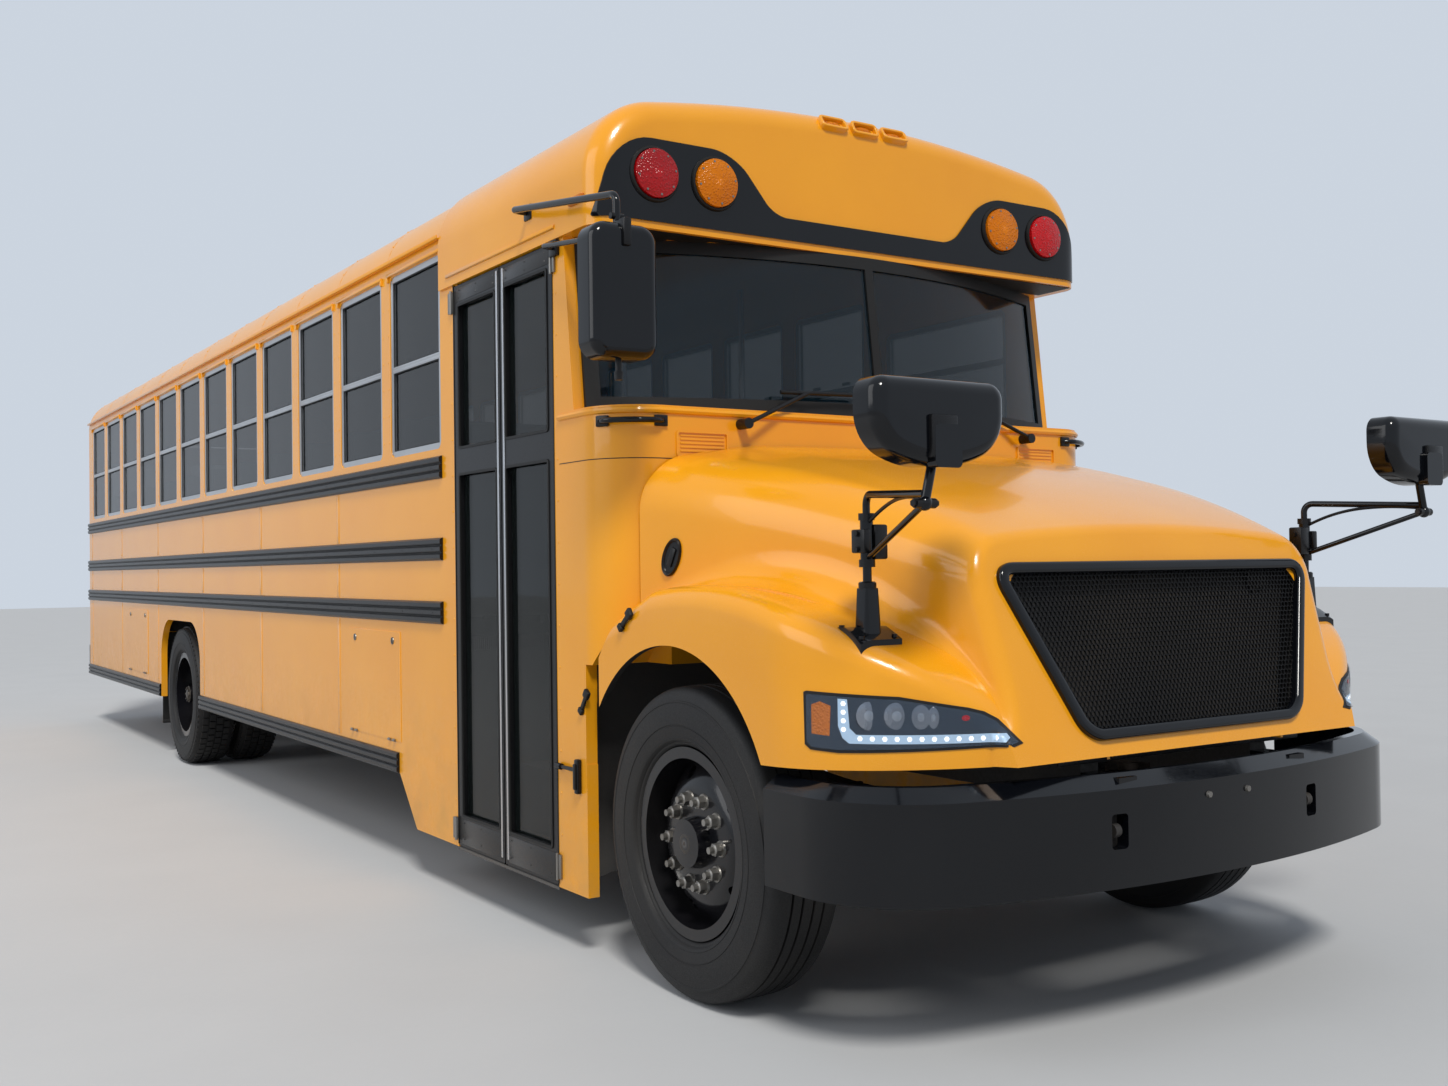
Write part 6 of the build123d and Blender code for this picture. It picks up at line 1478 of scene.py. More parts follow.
@dataclass
class EntryDoor:
    """Seals, bright edges, pane gaskets, hinges and the stay of the folding entry door.

    Attributes:
        outer_x: Outer face of the leaves.
        low: Bottom of the leaves.
        high: Top of the leaves.
        leaves: Name, front end and rear end of each leaf.
        panes: Bottom and top of each pane.
    """

    outer_x: float = -WALL_X
    low: float = 0.229
    high: float = 2.628
    leaves: tuple = (("front", -4.086, -3.622), ("rear", -3.612, -3.148))
    panes: tuple = ((0.360, 1.815), (1.930, 2.540))

    def leaf(self, word: str, first: float, last: float) -> None:
        """Builds one leaf's trim.

        Args:
            word: front or rear.
            first: The leaf's front end.
            last: The leaf's rear end.
        """
        meeting = last if word == "front" else first
        inward = -1 if word == "front" else 1
        bright, soft = bmesh.new(), bmesh.new()
        near = meeting + inward * (0.021 if word == "front" else 0.012)
        far = near + inward * 0.015
        Shop.block(
            bright, (self.outer_x - 0.0042, min(near, far), self.low + 0.02),
            (self.outer_x + 0.001, max(near, far), self.high - 0.012), 0.0014,
        )
        for low, high in self.panes:
            edge = 0.0065
            Shop.ring_frame(
                soft, (self.outer_x + 0.004, 0, 0), first + 0.042 - edge, last - 0.042 + edge, low - edge,
                high + edge, 0.011, -0.0078,
            )
        Shop.drum(
            soft, (self.outer_x + 0.018, meeting - inward * 0.0008, self.low + 0.01),
            (self.outer_x + 0.018, meeting - inward * 0.0008, self.high - 0.01), 0.0042, 0.0042, 12,
        )
        Shop.block(
            soft, (self.outer_x + 0.002, first + 0.012, self.low - 0.016),
            (self.outer_x + 0.012, last - 0.012, self.low + 0.004), 0.002,
        )
        Shop.finish(f"entry_{word}_bright_edge", bright, STAINLESS, f"door_{word}", "stainless")
        Shop.finish(f"entry_{word}_seals", soft, RUBBER, f"door_{word}", "rubber")
        plate = bmesh.new()
        Shop.block(
            plate, (self.outer_x - 0.0016, first + 0.020, self.low + 0.010),
            (self.outer_x + 0.001, last - 0.030, 0.345), 0.0012,
        )
        Shop.block(
            plate, (self.outer_x - 0.0016, first + 0.020, 2.556),
            (self.outer_x + 0.001, last - 0.020, self.high - 0.014), 0.0012,
        )
        for z in (0.262, 0.330, 2.572, 2.604):
            for part in (0.12, 0.5, 0.88):
                y = first + (last - first) * part
                Shop.drum(
                    plate, (self.outer_x - 0.0008, y, z), (self.outer_x - 0.0034, y, z), 0.0045, 0.003, 8
                )
        Shop.finish(f"entry_{word}_plates", plate, DOOR_PLATE, f"door_{word}")

    def build(self) -> None:
        """Builds the leaves' trim and the parts on the body round them."""
        for word, first, last in self.leaves:
            self.leaf(word, first, last)
        hinges = bmesh.new()
        for y, way in ((-4.100, -1), (-3.134, 1)):
            for z in (0.300, 2.560):
                Shop.block(
                    hinges, (-1.2285, y - 0.006, z - 0.045), (-1.2185, y + way * 0.030 + 0.006, z + 0.045),
                    0.002,
                )
                Shop.drum(hinges, (-1.2285, y, z - 0.05), (-1.2285, y, z + 0.05), 0.0062, 0.0062, 14)
        Shop.finish("entry_hinges", hinges, NUT_STEEL)
        stay = bmesh.new()
        Shop.block(stay, (-1.240, -4.288, 0.590), (-1.219, -4.262, 0.716), 0.006)
        Shop.block(stay, (-1.247, -4.284, 0.606), (-1.238, -4.266, 0.700), 0.004)
        Shop.drum(stay, (-1.232, -4.262, 0.676), (-1.232, -4.125, 0.676), 0.0085, 0.0065, 12)
        Shop.drum(stay, (-1.232, -4.150, 0.676), (-1.232, -4.110, 0.676), 0.012, 0.012, 12)
        Shop.drum(stay, (-1.232, -4.114, 0.676), (-1.216, -4.114, 0.676), 0.008, 0.008, 12)
        Shop.finish("door_hold_back", stay, SATIN_BLACK)
        frame_strip = bmesh.new()
        for y in (-4.0945, -3.1405):
            Shop.block(frame_strip, (-1.2215, y - 0.0035, 0.235), (-1.2170, y + 0.0035, 2.640), 0.0012)
        Shop.block(frame_strip, (-1.2275, -4.115, 2.640), (-1.2170, -3.120, 2.650), 0.002)
        Shop.finish("entry_jamb_seals", frame_strip, RUBBER)


@dataclass
class Mirrors:
    """Glasses, clamps, struts, bolts and feet of the mirrors.

    Attributes:
        foot: The right crossview foot on the fender.
        joint: The joint below the right head.
        head: The right head's middle.
    """

    foot: Triple = (-1.027, -5.697, 1.213)
    joint: Triple = (-1.146, -6.083, 1.562)
    head: Triple = (-1.115, -6.083, 1.768)

    def clamps(self) -> None:
        """Builds the sleeves, clamp bolts and foot screws of both crossview mirrors."""
        mesh = bmesh.new()
        x, y, _ = self.foot
        skin = Skin("crossview_mirrors")
        for dx, dy in ((-0.060, -0.045), (0.060, -0.045), (-0.060, 0.045), (0.060, 0.045)):
            hit, _ = skin.meet(Vector((x + dx, y + dy, 1.330)), Vector((0, 0, -1)))
            Shop.drum(mesh, hit - Vector((0, 0, 0.003)), hit + Vector((0, 0, 0.006)), 0.0085, 0.0080, 6)
        Shop.lathe(
            mesh, [(0, 0.012), (0, 0.026), (0.018, 0.026), (0.022, 0.021), (0.022, 0.012), (0, 0.012)],
            (x, y, 1.335), (0, 0, 1), 28,
        )
        for bore, tall, level in ((0.012, 0.022, 1.398), (0.010, 0.020, 1.532)):
            sleeve = [(0, bore), (0, 0.0235), (tall, 0.0235), (tall, bore), (0, bore)]
            Shop.lathe(mesh, sleeve, (x, y, level), (0, 0, 1), 28)
        Shop.block(mesh, (x + 0.010, y - 0.026, 1.420), (x + 0.058, y + 0.026, 1.520), 0.006)
        Shop.block(mesh, (x - 0.034, y - 0.030, 1.438), (x - 0.008, y + 0.030, 1.506), 0.005)
        for level in (1.448, 1.494):
            Shop.drum(mesh, (x - 0.042, y, level), (x - 0.030, y, level), 0.0085, 0.0085, 6)
            Shop.drum(mesh, (x + 0.054, y, level), (x + 0.066, y, level), 0.0085, 0.0085, 6)
        jx, jy, jz = self.joint
        Shop.drum(mesh, (jx - 0.034, jy, jz), (jx + 0.034, jy, jz), 0.0135, 0.0135, 16)
        Shop.drum(mesh, (jx - 0.042, jy, jz), (jx - 0.032, jy, jz), 0.010, 0.010, 6)
        Shop.drum(mesh, (jx + 0.032, jy, jz), (jx + 0.042, jy, jz), 0.010, 0.010, 6)
        hx, _, hz = self.head
        Shop.block(mesh, (hx - 0.055, -6.1447, hz - 0.092), (hx + 0.035, -6.105, hz + 0.020), 0.006)
        Shop.mirrored(mesh)
        Shop.finish("crossview_clamps", mesh, SATIN_BLACK, "nose")

    def rods(self) -> None:
        """Builds the thin second strut of both crossview mirrors."""
        x, y, _ = self.foot
        jx, jy, jz = self.joint
        for side, word in ((1, "right"), (-1, "left")):
            path = [
                (side * x, y, 1.520), (side * (x - 0.016), y - 0.10, 1.572),
                (side * (jx + 0.03), jy + 0.10, 1.590), (side * jx, jy, jz + 0.012),
            ]
            Shop.tube(f"crossview_rod_{word}", path, 0.0055, SATIN_BLACK, "nose", bend=1.0, sides=2)

    def glasses(self) -> None:
        """Builds the convex crossview glasses, and the side mirror's panes, rims and fittings."""
        mesh = bmesh.new()
        for side in (-1, 1):
            bmesh.ops.create_uvsphere(
                mesh, u_segments=40, v_segments=20, radius=1.0,
                matrix=Matrix.Translation(
                    (side * 1.115, self.head[1] + 0.046, 1.772)
                ) @ Matrix.Diagonal((0.205, 0.016, 0.102, 1)),
            )
        Shop.finish("crossview_glasses", mesh, MIRROR_GLASS, "nose")
        panes, rims = bmesh.new(), bmesh.new()
        for low, high in ((2.235, 2.505), (2.118, 2.215)):
            Shop.block(panes, (-1.436, -4.7478, low), (-1.216, -4.7440, high), 0.0015)
            Shop.ring_frame_y(rims, -4.7478, -1.441, -1.211, low - 0.005, high + 0.005, 0.010, 0.0055)
        Shop.finish("side_mirror_panes", panes, MIRROR_GLASS)
        Shop.finish("side_mirror_rims", rims, SATIN_BLACK)
        fittings = bmesh.new()
        for y, z in ((-3.920, 2.780), (-4.130, 2.600)):
            Shop.block(fittings, (-1.2375, y - 0.030, z - 0.030), (-1.2190, y + 0.030, z + 0.030), 0.004)
            for dy in (-0.018, 0.018):
                Shop.drum(
                    fittings, (-1.2365, y + dy, z + 0.018), (-1.2425, y + dy, z + 0.018), 0.006, 0.006, 6
                )
        Shop.block(fittings, (-1.341, -4.865, 2.455), (-1.311, -4.800, 2.548), 0.006)
        Shop.drum(fittings, (-1.350, -4.790, 2.565), (-1.302, -4.790, 2.565), 0.011, 0.011, 12)
        Shop.drum(fittings, (-1.326, -4.790, 2.105), (-1.326, -4.790, 2.030), 0.0105, 0.0105, 14)
        Shop.drum(fittings, (-1.326, -4.790, 2.052), (-1.326, -4.790, 2.024), 0.0150, 0.0130, 14)
        Shop.finish("side_mirror_fittings", fittings, SATIN_BLACK)

    def build(self) -> None:
        """Builds everything on the mirrors."""
        self.clamps()
        self.rods()
        self.glasses()


@dataclass
class NoseFittings:
    """Latches and handles on the tilting nose and the cowl behind it.

    Attributes:
        latch: Y and Z of a side latch.
        corner: X and Y of the middle of the cowl's right front corner.
        bend: Radius of that corner.
        handle_z: Height of the grab handles.
        vent_x: Distance of a vent from the bus's middle.
    """

    latch: tuple[float, float] = (-4.712, 1.440)
    corner: tuple[float, float] = (-1.009, -4.330)
    bend: float = 0.2100
    handle_z: float = 1.928
    vent_x: float = 0.845

    def latches(self) -> None:
        """Builds the recessed side latches and the rubber hold-downs."""
        cups, pulls = bmesh.new(), bmesh.new()
        skin = Skin("hood")
        hit, normal = skin.meet(Vector((-1.6, *self.latch)), Vector((1, 0, 0)))
        turn = normal.to_track_quat("Z", "Y").to_matrix().to_4x4()
        place = Matrix.Translation(hit) @ turn @ Matrix.Rotation(-0.45, 4, "Z")
        dish = [
            (-0.004, 0.0), (-0.004, 1.0), (0.004, 1.0), (0.0065, 0.94), (0.005, 0.86), (0.0015, 0.80),
            (0.001, 0.0),
        ]
        Shop.lathe(cups, dish, (0, 0, 0), (0, 0, 1), 40)
        bmesh.ops.transform(cups, matrix=place @ Matrix.Diagonal((0.042, 0.070, 1.6, 1)), verts=cups.verts)
        Shop.block(pulls, (-0.012, -0.034, 0.001), (0.012, 0.034, 0.0075), 0.003)
        bmesh.ops.transform(pulls, matrix=place, verts=pulls.verts)
        for mesh, name in ((cups, "hood_latch_cups"), (pulls, "hood_latch_pulls")):
            Shop.mirrored(mesh)
            Shop.finish(name, mesh, SATIN_BLACK, "nose")
        straps = bmesh.new()
        for place, lean in (((-1.2215, -4.628, 1.227), 0.9), ((-1.2235, -4.322, 0.925), 0.62)):
            strap = bmesh.new()
            Shop.block(strap, (-0.006, -0.009, -0.050), (0.004, 0.009, 0.050), 0.003)
            Shop.block(strap, (-0.010, -0.016, 0.020), (0.006, 0.016, 0.052), 0.004)
            Shop.block(strap, (-0.010, -0.014, -0.052), (0.006, 0.014, -0.030), 0.004)
            bmesh.ops.transform(
                strap, matrix=Matrix.Translation(place) @ Matrix.Rotation(lean, 4, "X"), verts=strap.verts
            )
            Shop.join(straps, strap)
        Shop.mirrored(straps)
        Shop.finish("cowl_hold_downs", straps, RUBBER)

    def handle(self) -> None:
        """Builds the grab handles round the cowl's front corners."""
        x, y = self.corner
        for side, word in ((1, "right"), (-1, "left")):
            path = []
            for degrees in (27, 33, 45, 58, 71, 83, 89):
                turn = math.radians(degrees)
                reach = 0.213 if degrees in (27, 89) else 0.240
                path.append(
                    (side * (x - reach * math.cos(turn)), y - reach * math.sin(turn), self.handle_z)
                )
            Shop.tube(f"cowl_grab_handle_{word}", path, 0.0105, GLOSS_BLACK, "bus_body", bend=1.0, sides=4)
        feet = bmesh.new()
        for degrees in (29, 87):
            turn = math.radians(degrees)
            way = Vector((-math.cos(turn), -math.sin(turn), 0))
            foot = Vector((x, y, self.handle_z)) + way * 0.209
            place = Matrix.Translation(foot) @ way.to_track_quat("X", "Z").to_matrix().to_4x4()
            block = bmesh.new()
            Shop.block(block, (0.0, -0.026, -0.020), (0.012, 0.026, 0.020), 0.004)
            for dy in (-0.016, 0.016):
                Shop.drum(block, (0.010, dy, 0), (0.016, dy, 0), 0.006, 0.005, 8)
            bmesh.ops.transform(block, matrix=place, verts=block.verts)
            Shop.join(feet, block)
        Shop.mirrored(feet)
        Shop.finish("grab_handle_feet", feet, SATIN_BLACK)

    def vents(self) -> None:
        """Builds the slatted vents in the cowl."""
        mesh = bmesh.new()
        for side in (-1, 1):
            for i in range(5):
                z = 1.822 + i * 0.014
                Shop.block(
                    mesh, (side * self.vent_x - 0.094, -4.5430, z - 0.002),
                    (side * self.vent_x + 0.094, -4.5390, z + 0.004), 0.001,
                )
            Shop.ring_frame_y(
                mesh, -4.5395, side * self.vent_x - 0.112, side * self.vent_x + 0.112, 1.800, 1.898, 0.009,
                -0.0070,
            )
        Shop.finish("cowl_vent_slats", mesh, YELLOW, "bus_body", "body_paint")

    def seam(self) -> None:
        """Builds the joint line round the cowl and the bead under the windshield."""
        for name, z, radius, finish in (
            ("cowl_joint_line", 1.795, 0.0016, RUBBER), ("cowl_top_bead", 1.966, 0.0125, YELLOW)
        ):
            path = [(-WALL_X, -4.14, z), (-WALL_X, self.corner[1], z)]
            for degrees in range(5, 91, 5):
                turn = math.radians(degrees)
                x = self.corner[0] - self.bend * math.cos(turn)
                path.append((x, self.corner[1] - self.bend * math.sin(turn), z))
            path += [(-x, y, z) for x, y, _ in reversed(path)]
            Shop.tube(name, path, radius, finish, sides=2)

    def build(self) -> None:
        """Builds all the fittings."""
        self.latches()
        self.handle()
        self.vents()
        self.seam()


@dataclass
class SidePanels:
    """Window brows, pillar rivets, panel laps, rail bolts and the drip rail along both sides.

    Attributes:
        first_y: Front end of the first window.
        pitch: Distance between two windows.
        width: Width of a window.
        count: Windows on a side.
        low: Bottom of the windows.
        high: Top of the windows.
        half: Half of the body's width.
    """

    first_y: float = -2.985
    pitch: float = 0.745
    width: float = 0.625
    count: int = 12
    low: float = 1.945
    high: float = 2.805
    half: float = WALL_X

    def brows(self) -> None:
        """Builds the moulding over each window, with its ends turned down."""
        mesh = bmesh.new()
        for i in range(self.count):
            start = self.first_y + i * self.pitch
            end = start + self.width
            Shop.block(
                mesh, (-1.232, start - 0.022, self.high + 0.004), (-1.212, end + 0.022, self.high + 0.020),
                0.005,
            )
            for y in (start - 0.014, end + 0.014):
                Shop.block(
                    mesh, (-1.230, y - 0.008, self.high - 0.020), (-1.214, y + 0.008, self.high + 0.012),
                    0.004,
                )
        Shop.mirrored(mesh)
        Shop.finish("window_brows", mesh, YELLOW, "bus_body", "body_paint")

    def rivets(self) -> None:
        """Builds the rows of rivets up the pillars and round the entry."""
        mesh = bmesh.new()
        spots = []
        for i in range(self.count + 1):
            y = self.first_y - (self.pitch - self.width) / 2 + i * self.pitch
            for dy in (-0.036, 0.036):
                if -3.0 < y + dy < 5.98:
                    spots += [(y + dy, 2.02 + 0.128 * n) for n in range(7)]
        for side in (-1, 1):
            rows = list(spots)
            if side < 0:
                rows += [(y, 0.42 + 0.155 * n) for y in (-4.122, -3.112) for n in range(14)]
            for y, z in rows:
                Shop.drum(
                    mesh, (side * (self.half - 0.0005), y, z), (side * (self.half + 0.0022), y, z), 0.0058,
                    0.0030, 8,
                )
        Shop.finish("pillar_rivets", mesh, YELLOW, "bus_body", "body_paint")

    def laps(self) -> None:
        """Builds the upright panel laps with their rivets, and the access doors in the skirt."""
        mesh = bmesh.new()
        for i in range(0, self.count + 1, 2):
            y = self.first_y - (self.pitch - self.width) / 2 + i * self.pitch
            if y < -2.9 or y > 5.9:
                continue
            for low, high in ((0.562, 1.166), (1.274, 1.447), (1.555, 1.808)):
                if low < 0.6 and 1.55 < y < 2.80:
                    low = 1.06
                if high - low < 0.03:
                    continue
                Shop.block(
                    mesh, (-self.half - 0.0012, y - 0.019, low), (-self.half + 0.0005, y + 0.019, high),
                    0.0005,
                )
                n = max(2, int((high - low) / 0.085))
                for k in range(n):
                    z = low + 0.03 + (high - low - 0.06) * k / (n - 1)
                    Shop.drum(mesh, (-self.half, y, z), (-self.half - 0.0032, y, z), 0.0052, 0.0028, 8)
        Shop.mirrored(mesh)
        Shop.finish("panel_laps", mesh, YELLOW, "bus_body", "body_paint")
        doors, locks = bmesh.new(), bmesh.new()
        for side, first, last in (
            (-1, -2.46, -1.72), (1, -2.46, -1.72), (1, -1.30, -0.40), (-1, 3.30, 4.10), (1, 3.30, 4.10)
        ):
            Shop.block(
                doors, (side * self.half - 0.003, first, 0.600), (side * self.half + 0.003, last, 1.120),
                0.0025,
            )
            for y in (first + 0.10, last - 0.10):
                Shop.drum(locks, (side * 1.221, y, 1.075), (side * 1.2265, y, 1.075), 0.018, 0.016, 20)
                Shop.block(
                    locks, (side * 1.2275 - 0.002, y - 0.003, 1.063),
                    (side * 1.2275 + 0.001, y + 0.003, 1.087),
                )
                for dy in (-0.030, 0.030):
                    Shop.drum(
                        locks, (side * 1.2255, y + dy, 0.604), (side * 1.2255, y + dy + 0.028, 0.604),
                        0.007, 0.007, 12,
                    )
        Shop.finish("skirt_doors", doors, YELLOW, "bus_body", "body_paint", sharp=20)
        Shop.finish("skirt_door_locks", locks, NUT_STEEL)

    def rail_bolts(self) -> None:
        """Builds the bolts along the rub rails."""
        mesh = bmesh.new()
        for z in (1.862, 1.501, 1.220):
            for i in range(24):
                y = -2.90 + i * 0.3725
                Shop.drum(mesh, (-1.2340, y, z), (-1.2362, y, z), 0.0060, 0.0040, 8)
        Shop.mirrored(mesh)
        Shop.finish("rail_bolts", mesh, SATIN_BLACK)

    def drip(self) -> None:
        """Builds the drip rails along the eaves and over the entry."""
        mesh = bmesh.new()
        Shop.block(mesh, (-1.236, -2.995, 2.868), (-1.214, 6.030, 2.8725), 0.0015)
        Shop.block(mesh, (-1.236, -2.995, 2.868), (-1.2325, 6.030, 2.885), 0.0012)
        Shop.mirrored(mesh)
        Shop.block(mesh, (-1.2365, -4.140, 2.672), (-1.2150, -3.090, 2.6765), 0.0015)
        Shop.block(mesh, (-1.2365, -4.140, 2.672), (-1.2330, -3.090, 2.688), 0.0012)
        Shop.finish("drip_rails", mesh, YELLOW, "bus_body", "body_paint")

    def sashes(self) -> None:
        """Builds the split sashes' latches, the rubber round the panes and the guide grooves."""
        soft, latches, grooves = bmesh.new(), bmesh.new(), bmesh.new()
        for i in range(self.count):
            start = self.first_y + i * self.pitch
            end = start + self.width
            for low, high in ((self.low + 0.028, 2.346), (2.374, self.high - 0.028)):
                Shop.ring_frame(
                    soft, (-1.2070, 0, 0), start + 0.026, end - 0.026, low - 0.002, high + 0.002, 0.007,
                    -0.0030,
                )
            for y in (start + 0.18, end - 0.18):
                Shop.block(latches, (-1.1990, y - 0.030, 2.384), (-1.1870, y + 0.030, 2.402), 0.003)
            Shop.block(grooves, (-1.2152, start + 0.006, 2.350), (-1.2120, end - 0.006, 2.356), 0.0008)
            Shop.block(grooves, (-1.2152, start + 0.006, 2.364), (-1.2120, end - 0.006, 2.370), 0.0008)
            for y in (start + 0.0085, end - 0.0085):
                Shop.block(
                    grooves, (-1.2165, y - 0.002, self.low + 0.010),
                    (-1.2130, y + 0.002, self.high - 0.010), 0.0008,
                )
        for mesh, name, finish in (
            (soft, "sash_gaskets", RUBBER), (latches, "sash_latches", SATIN_BLACK),
            (grooves, "sash_beads", ALUMINIUM),
        ):
            Shop.mirrored(mesh)
            Shop.finish(name, mesh, finish)

    def build(self) -> None:
        """Builds both sides."""
        self.brows()
        self.rivets()
        self.laps()
        self.rail_bolts()
        self.drip()
        self.sashes()


@dataclass
class RoofSkin:
    """Lapped seams across the roof with their rivets, low hatches and the cap's joint.

    Attributes:
        pitch: Distance between two seams.
        first_y: The first seam.
        count: Number of seams.
        heart_z: Height of the line towards which the seams are laid.
        hatches: Y of the middle of each hatch.
    """

    pitch: float = 0.745
    first_y: float = -2.30
    count: int = 12
    heart_z: float = 2.3
    hatches: tuple[float, float] = (-0.80, 3.30)

    def build(self) -> None:
        """Builds the seams, the hatches and the bead where the cap meets the roof."""
        skin = Skin("roof", "front_cap")
        laps, rivets = bmesh.new(), bmesh.new()
        for i in range(self.count):
            y = self.first_y + i * self.pitch
            strip = bmesh.new()
            arc = [
                Vector((3.0 * math.sin(a), y, self.heart_z + 3.0 * math.cos(a)))
                for a in [math.radians(-64 + 128 * n / 56) for n in range(57)]
            ]
            verts = [strip.verts.new(p) for p in arc]
            edges = [strip.edges.new(pair) for pair in zip(verts, verts[1:])]
            made = bmesh.ops.extrude_edge_only(strip, edges=edges)["geom"]
            bmesh.ops.translate(strip, vec=(0, 0.044, 0), verts=Shop.vertices(made))
            skin.lay(strip, (0, 0, -1), 0.0002, 0.0014, heart=(0, 0, self.heart_z))
            Shop.join(laps, strip)
            for a in [math.radians(-60 + 120 * n / 26) for n in range(27)]:
                start = Vector((2.2 * math.sin(a), y + 0.012, self.heart_z + 2.2 * math.cos(a)))
                way = Vector((-math.sin(a), 0, -math.cos(a)))
                hit, _ = skin.meet(start, way)
                Shop.drum(rivets, hit - way * 0.0010, hit - way * 0.0038, 0.0055, 0.0030, 6)
        Shop.finish("roof_laps", laps, ROOF_YELLOW, "bus_body", "body_paint", sharp=20)
        Shop.finish("roof_rivets", rivets, ROOF_YELLOW, "bus_body", "body_paint")
        hatches, rims = bmesh.new(), bmesh.new()
        for y in self.hatches:
            crown = skin.meet(Vector((0, y, 4)), Vector((0, 0, -1)))[0].z
            Shop.block(rims, (-0.34, y - 0.34, crown - 0.020), (0.34, y + 0.34, crown + 0.005), 0.004)
            Shop.block(hatches, (-0.30, y - 0.30, crown - 0.010), (0.30, y + 0.30, crown + 0.011), 0.006)
        Shop.finish("roof_hatch_frames", rims, SATIN_BLACK)
        Shop.finish("roof_hatches", hatches, ROOF_YELLOW, "bus_body", "body_paint", sharp=20)
        verts = []
        for n in range(61):
            a = math.radians(-86 + 172 * n / 60)
            way = Vector((-math.sin(a), 0, -math.cos(a)))
            start = Vector((0, -3.012, 2.55)) - way * 2.4
            verts.append(skin.meet(start, way)[0] + way * 0.0033)
        Shop.tube("cap_joint_bead", verts, 0.0028, RUBBER, sides=2)


@dataclass
class RearEnd:
    """Exit door trim, hinges, latch, reflectors, blank plate, bumper bolts and mud flaps.

    Attributes:
        exit_panes: Bottom and top of the exit door's panes.
        hinges: Heights of the exit door's hinges.
        pane_x: Distance of a rear pane's middle from the bus's middle.
        reflectors: X and Z of the reflectors on one side.
        flap_x: Distance of a mud flap's middle from the bus's middle.
        flap_half: Half of a flap's width.
    """

    exit_panes: tuple = ((1.330, 1.800), (1.945, 2.520))
    hinges: Triple = (1.300, 1.880, 2.500)
    pane_x: float = 0.800
    reflectors: tuple = ((1.100, 1.120), (0.560, 1.120))
    flap_x: float = 0.900
    flap_half: float = 0.290

    def door(self) -> None:
        """Builds what rides on the exit door."""
        soft = bmesh.new()
        for low, high in self.exit_panes:
            Shop.ring_frame_y(soft, 6.0445, -0.284, 0.284, low - 0.014, high + 0.014, 0.020, 0.0075)
        Shop.ring_frame_y(soft, 6.0455, -0.368, 0.368, 1.152, 2.678, 0.012, 0.0045)
        Shop.finish("exit_door_seals", soft, RUBBER, "rear_exit", "rubber")
        plate = bmesh.new()
        Shop.block(plate, (0.245, 6.0440, 1.815), (0.335, 6.0500, 1.930), 0.004)
        for x, z in ((0.256, 1.826), (0.324, 1.826), (0.256, 1.919), (0.324, 1.919)):
            Shop.drum(plate, (x, 6.0495, z), (x, 6.0525, z), 0.005, 0.004, 8)
        Shop.drum(plate, (0.290, 6.048, 1.880), (0.290, 6.066, 1.880), 0.014, 0.012, 20)
        Shop.finish("exit_latch_plate", plate, SATIN_BLACK, "rear_exit")
        leaves = bmesh.new()
        for z in self.hinges:
            Shop.block(leaves, (-0.372, 6.0435, z - 0.050), (-0.300, 6.0495, z + 0.050), 0.002)
            for dz in (-0.03, 0.03):
                Shop.drum(leaves, (-0.325, 6.0490, z + dz), (-0.325, 6.0525, z + dz), 0.006, 0.005, 8)
        Shop.finish("exit_hinge_leaves", leaves, NUT_STEEL, "rear_exit")

    def wall(self) -> None:
        """Builds what stands on the rear wall and bumper."""
        soft = bmesh.new()
        for side in (-1, 1):
            Shop.ring_frame_y(
                soft, 6.0445, side * self.pane_x - 0.244, side * self.pane_x + 0.244, 1.931, 2.519, 0.020,
                0.0075,
            )
        Shop.finish("rear_pane_gaskets", soft, RUBBER)
        dots = bmesh.new()
        for side in (-1, 1):
            for x, z in self.reflectors:
                profile = [(-0.004, 0.0), (-0.004, 0.040), (0.004, 0.040), (0.006, 0.036), (0.0075, 0.0)]
                Shop.lathe(dots, profile, (side * x, 6.0455, z), (0, 1, 0), 28)
        Shop.finish("rear_reflectors", dots, LENS_RED, "bus_body", "lens_red")
        plate = bmesh.new()
        Shop.block(plate, (-0.940, 6.0450, 0.900), (-0.620, 6.0500, 1.065), 0.003)
        Shop.finish("blank_plate", plate, WHITE_TAPE)
        holder = bmesh.new()
        Shop.ring_frame_y(holder, 6.0450, -0.948, -0.612, 0.892, 1.073, 0.010, 0.0075)
        Shop.block(holder, (-0.820, 6.0450, 1.080), (-0.740, 6.0620, 1.105), 0.004)
        for x in (-1.05, -0.90, 0.90, 1.05):
            for z in (0.560, 0.660):
                Shop.drum(holder, (x, 6.1220, z), (x, 6.1245, z), 0.015, 0.012, 12)
        Shop.finish("rear_fittings", holder, SATIN_BLACK)
        seams, rivets = bmesh.new(), bmesh.new()
        for side in (-1, 1):
            Shop.block(
                seams, (side * self.pane_x - 0.360, 6.0440, 1.760),
                (side * self.pane_x + 0.380, 6.0462, 1.790), 0.0006,
            )
            for k in range(8):
                x = side * self.pane_x - 0.33 + 0.095 * k
                Shop.drum(rivets, (x, 6.0455, 1.775), (x, 6.0485, 1.775), 0.0055, 0.003, 8)
            for k in range(9):
                z = 0.86 + 0.105 * k
                Shop.drum(rivets, (side * 1.160, 6.0440, z), (side * 1.160, 6.0475, z), 0.0055, 0.003, 8)
        Shop.finish("rear_lap_seams", seams, YELLOW, "bus_body", "body_paint", sharp=20)
        Shop.finish("rear_rivets", rivets, YELLOW, "bus_body", "body_paint")

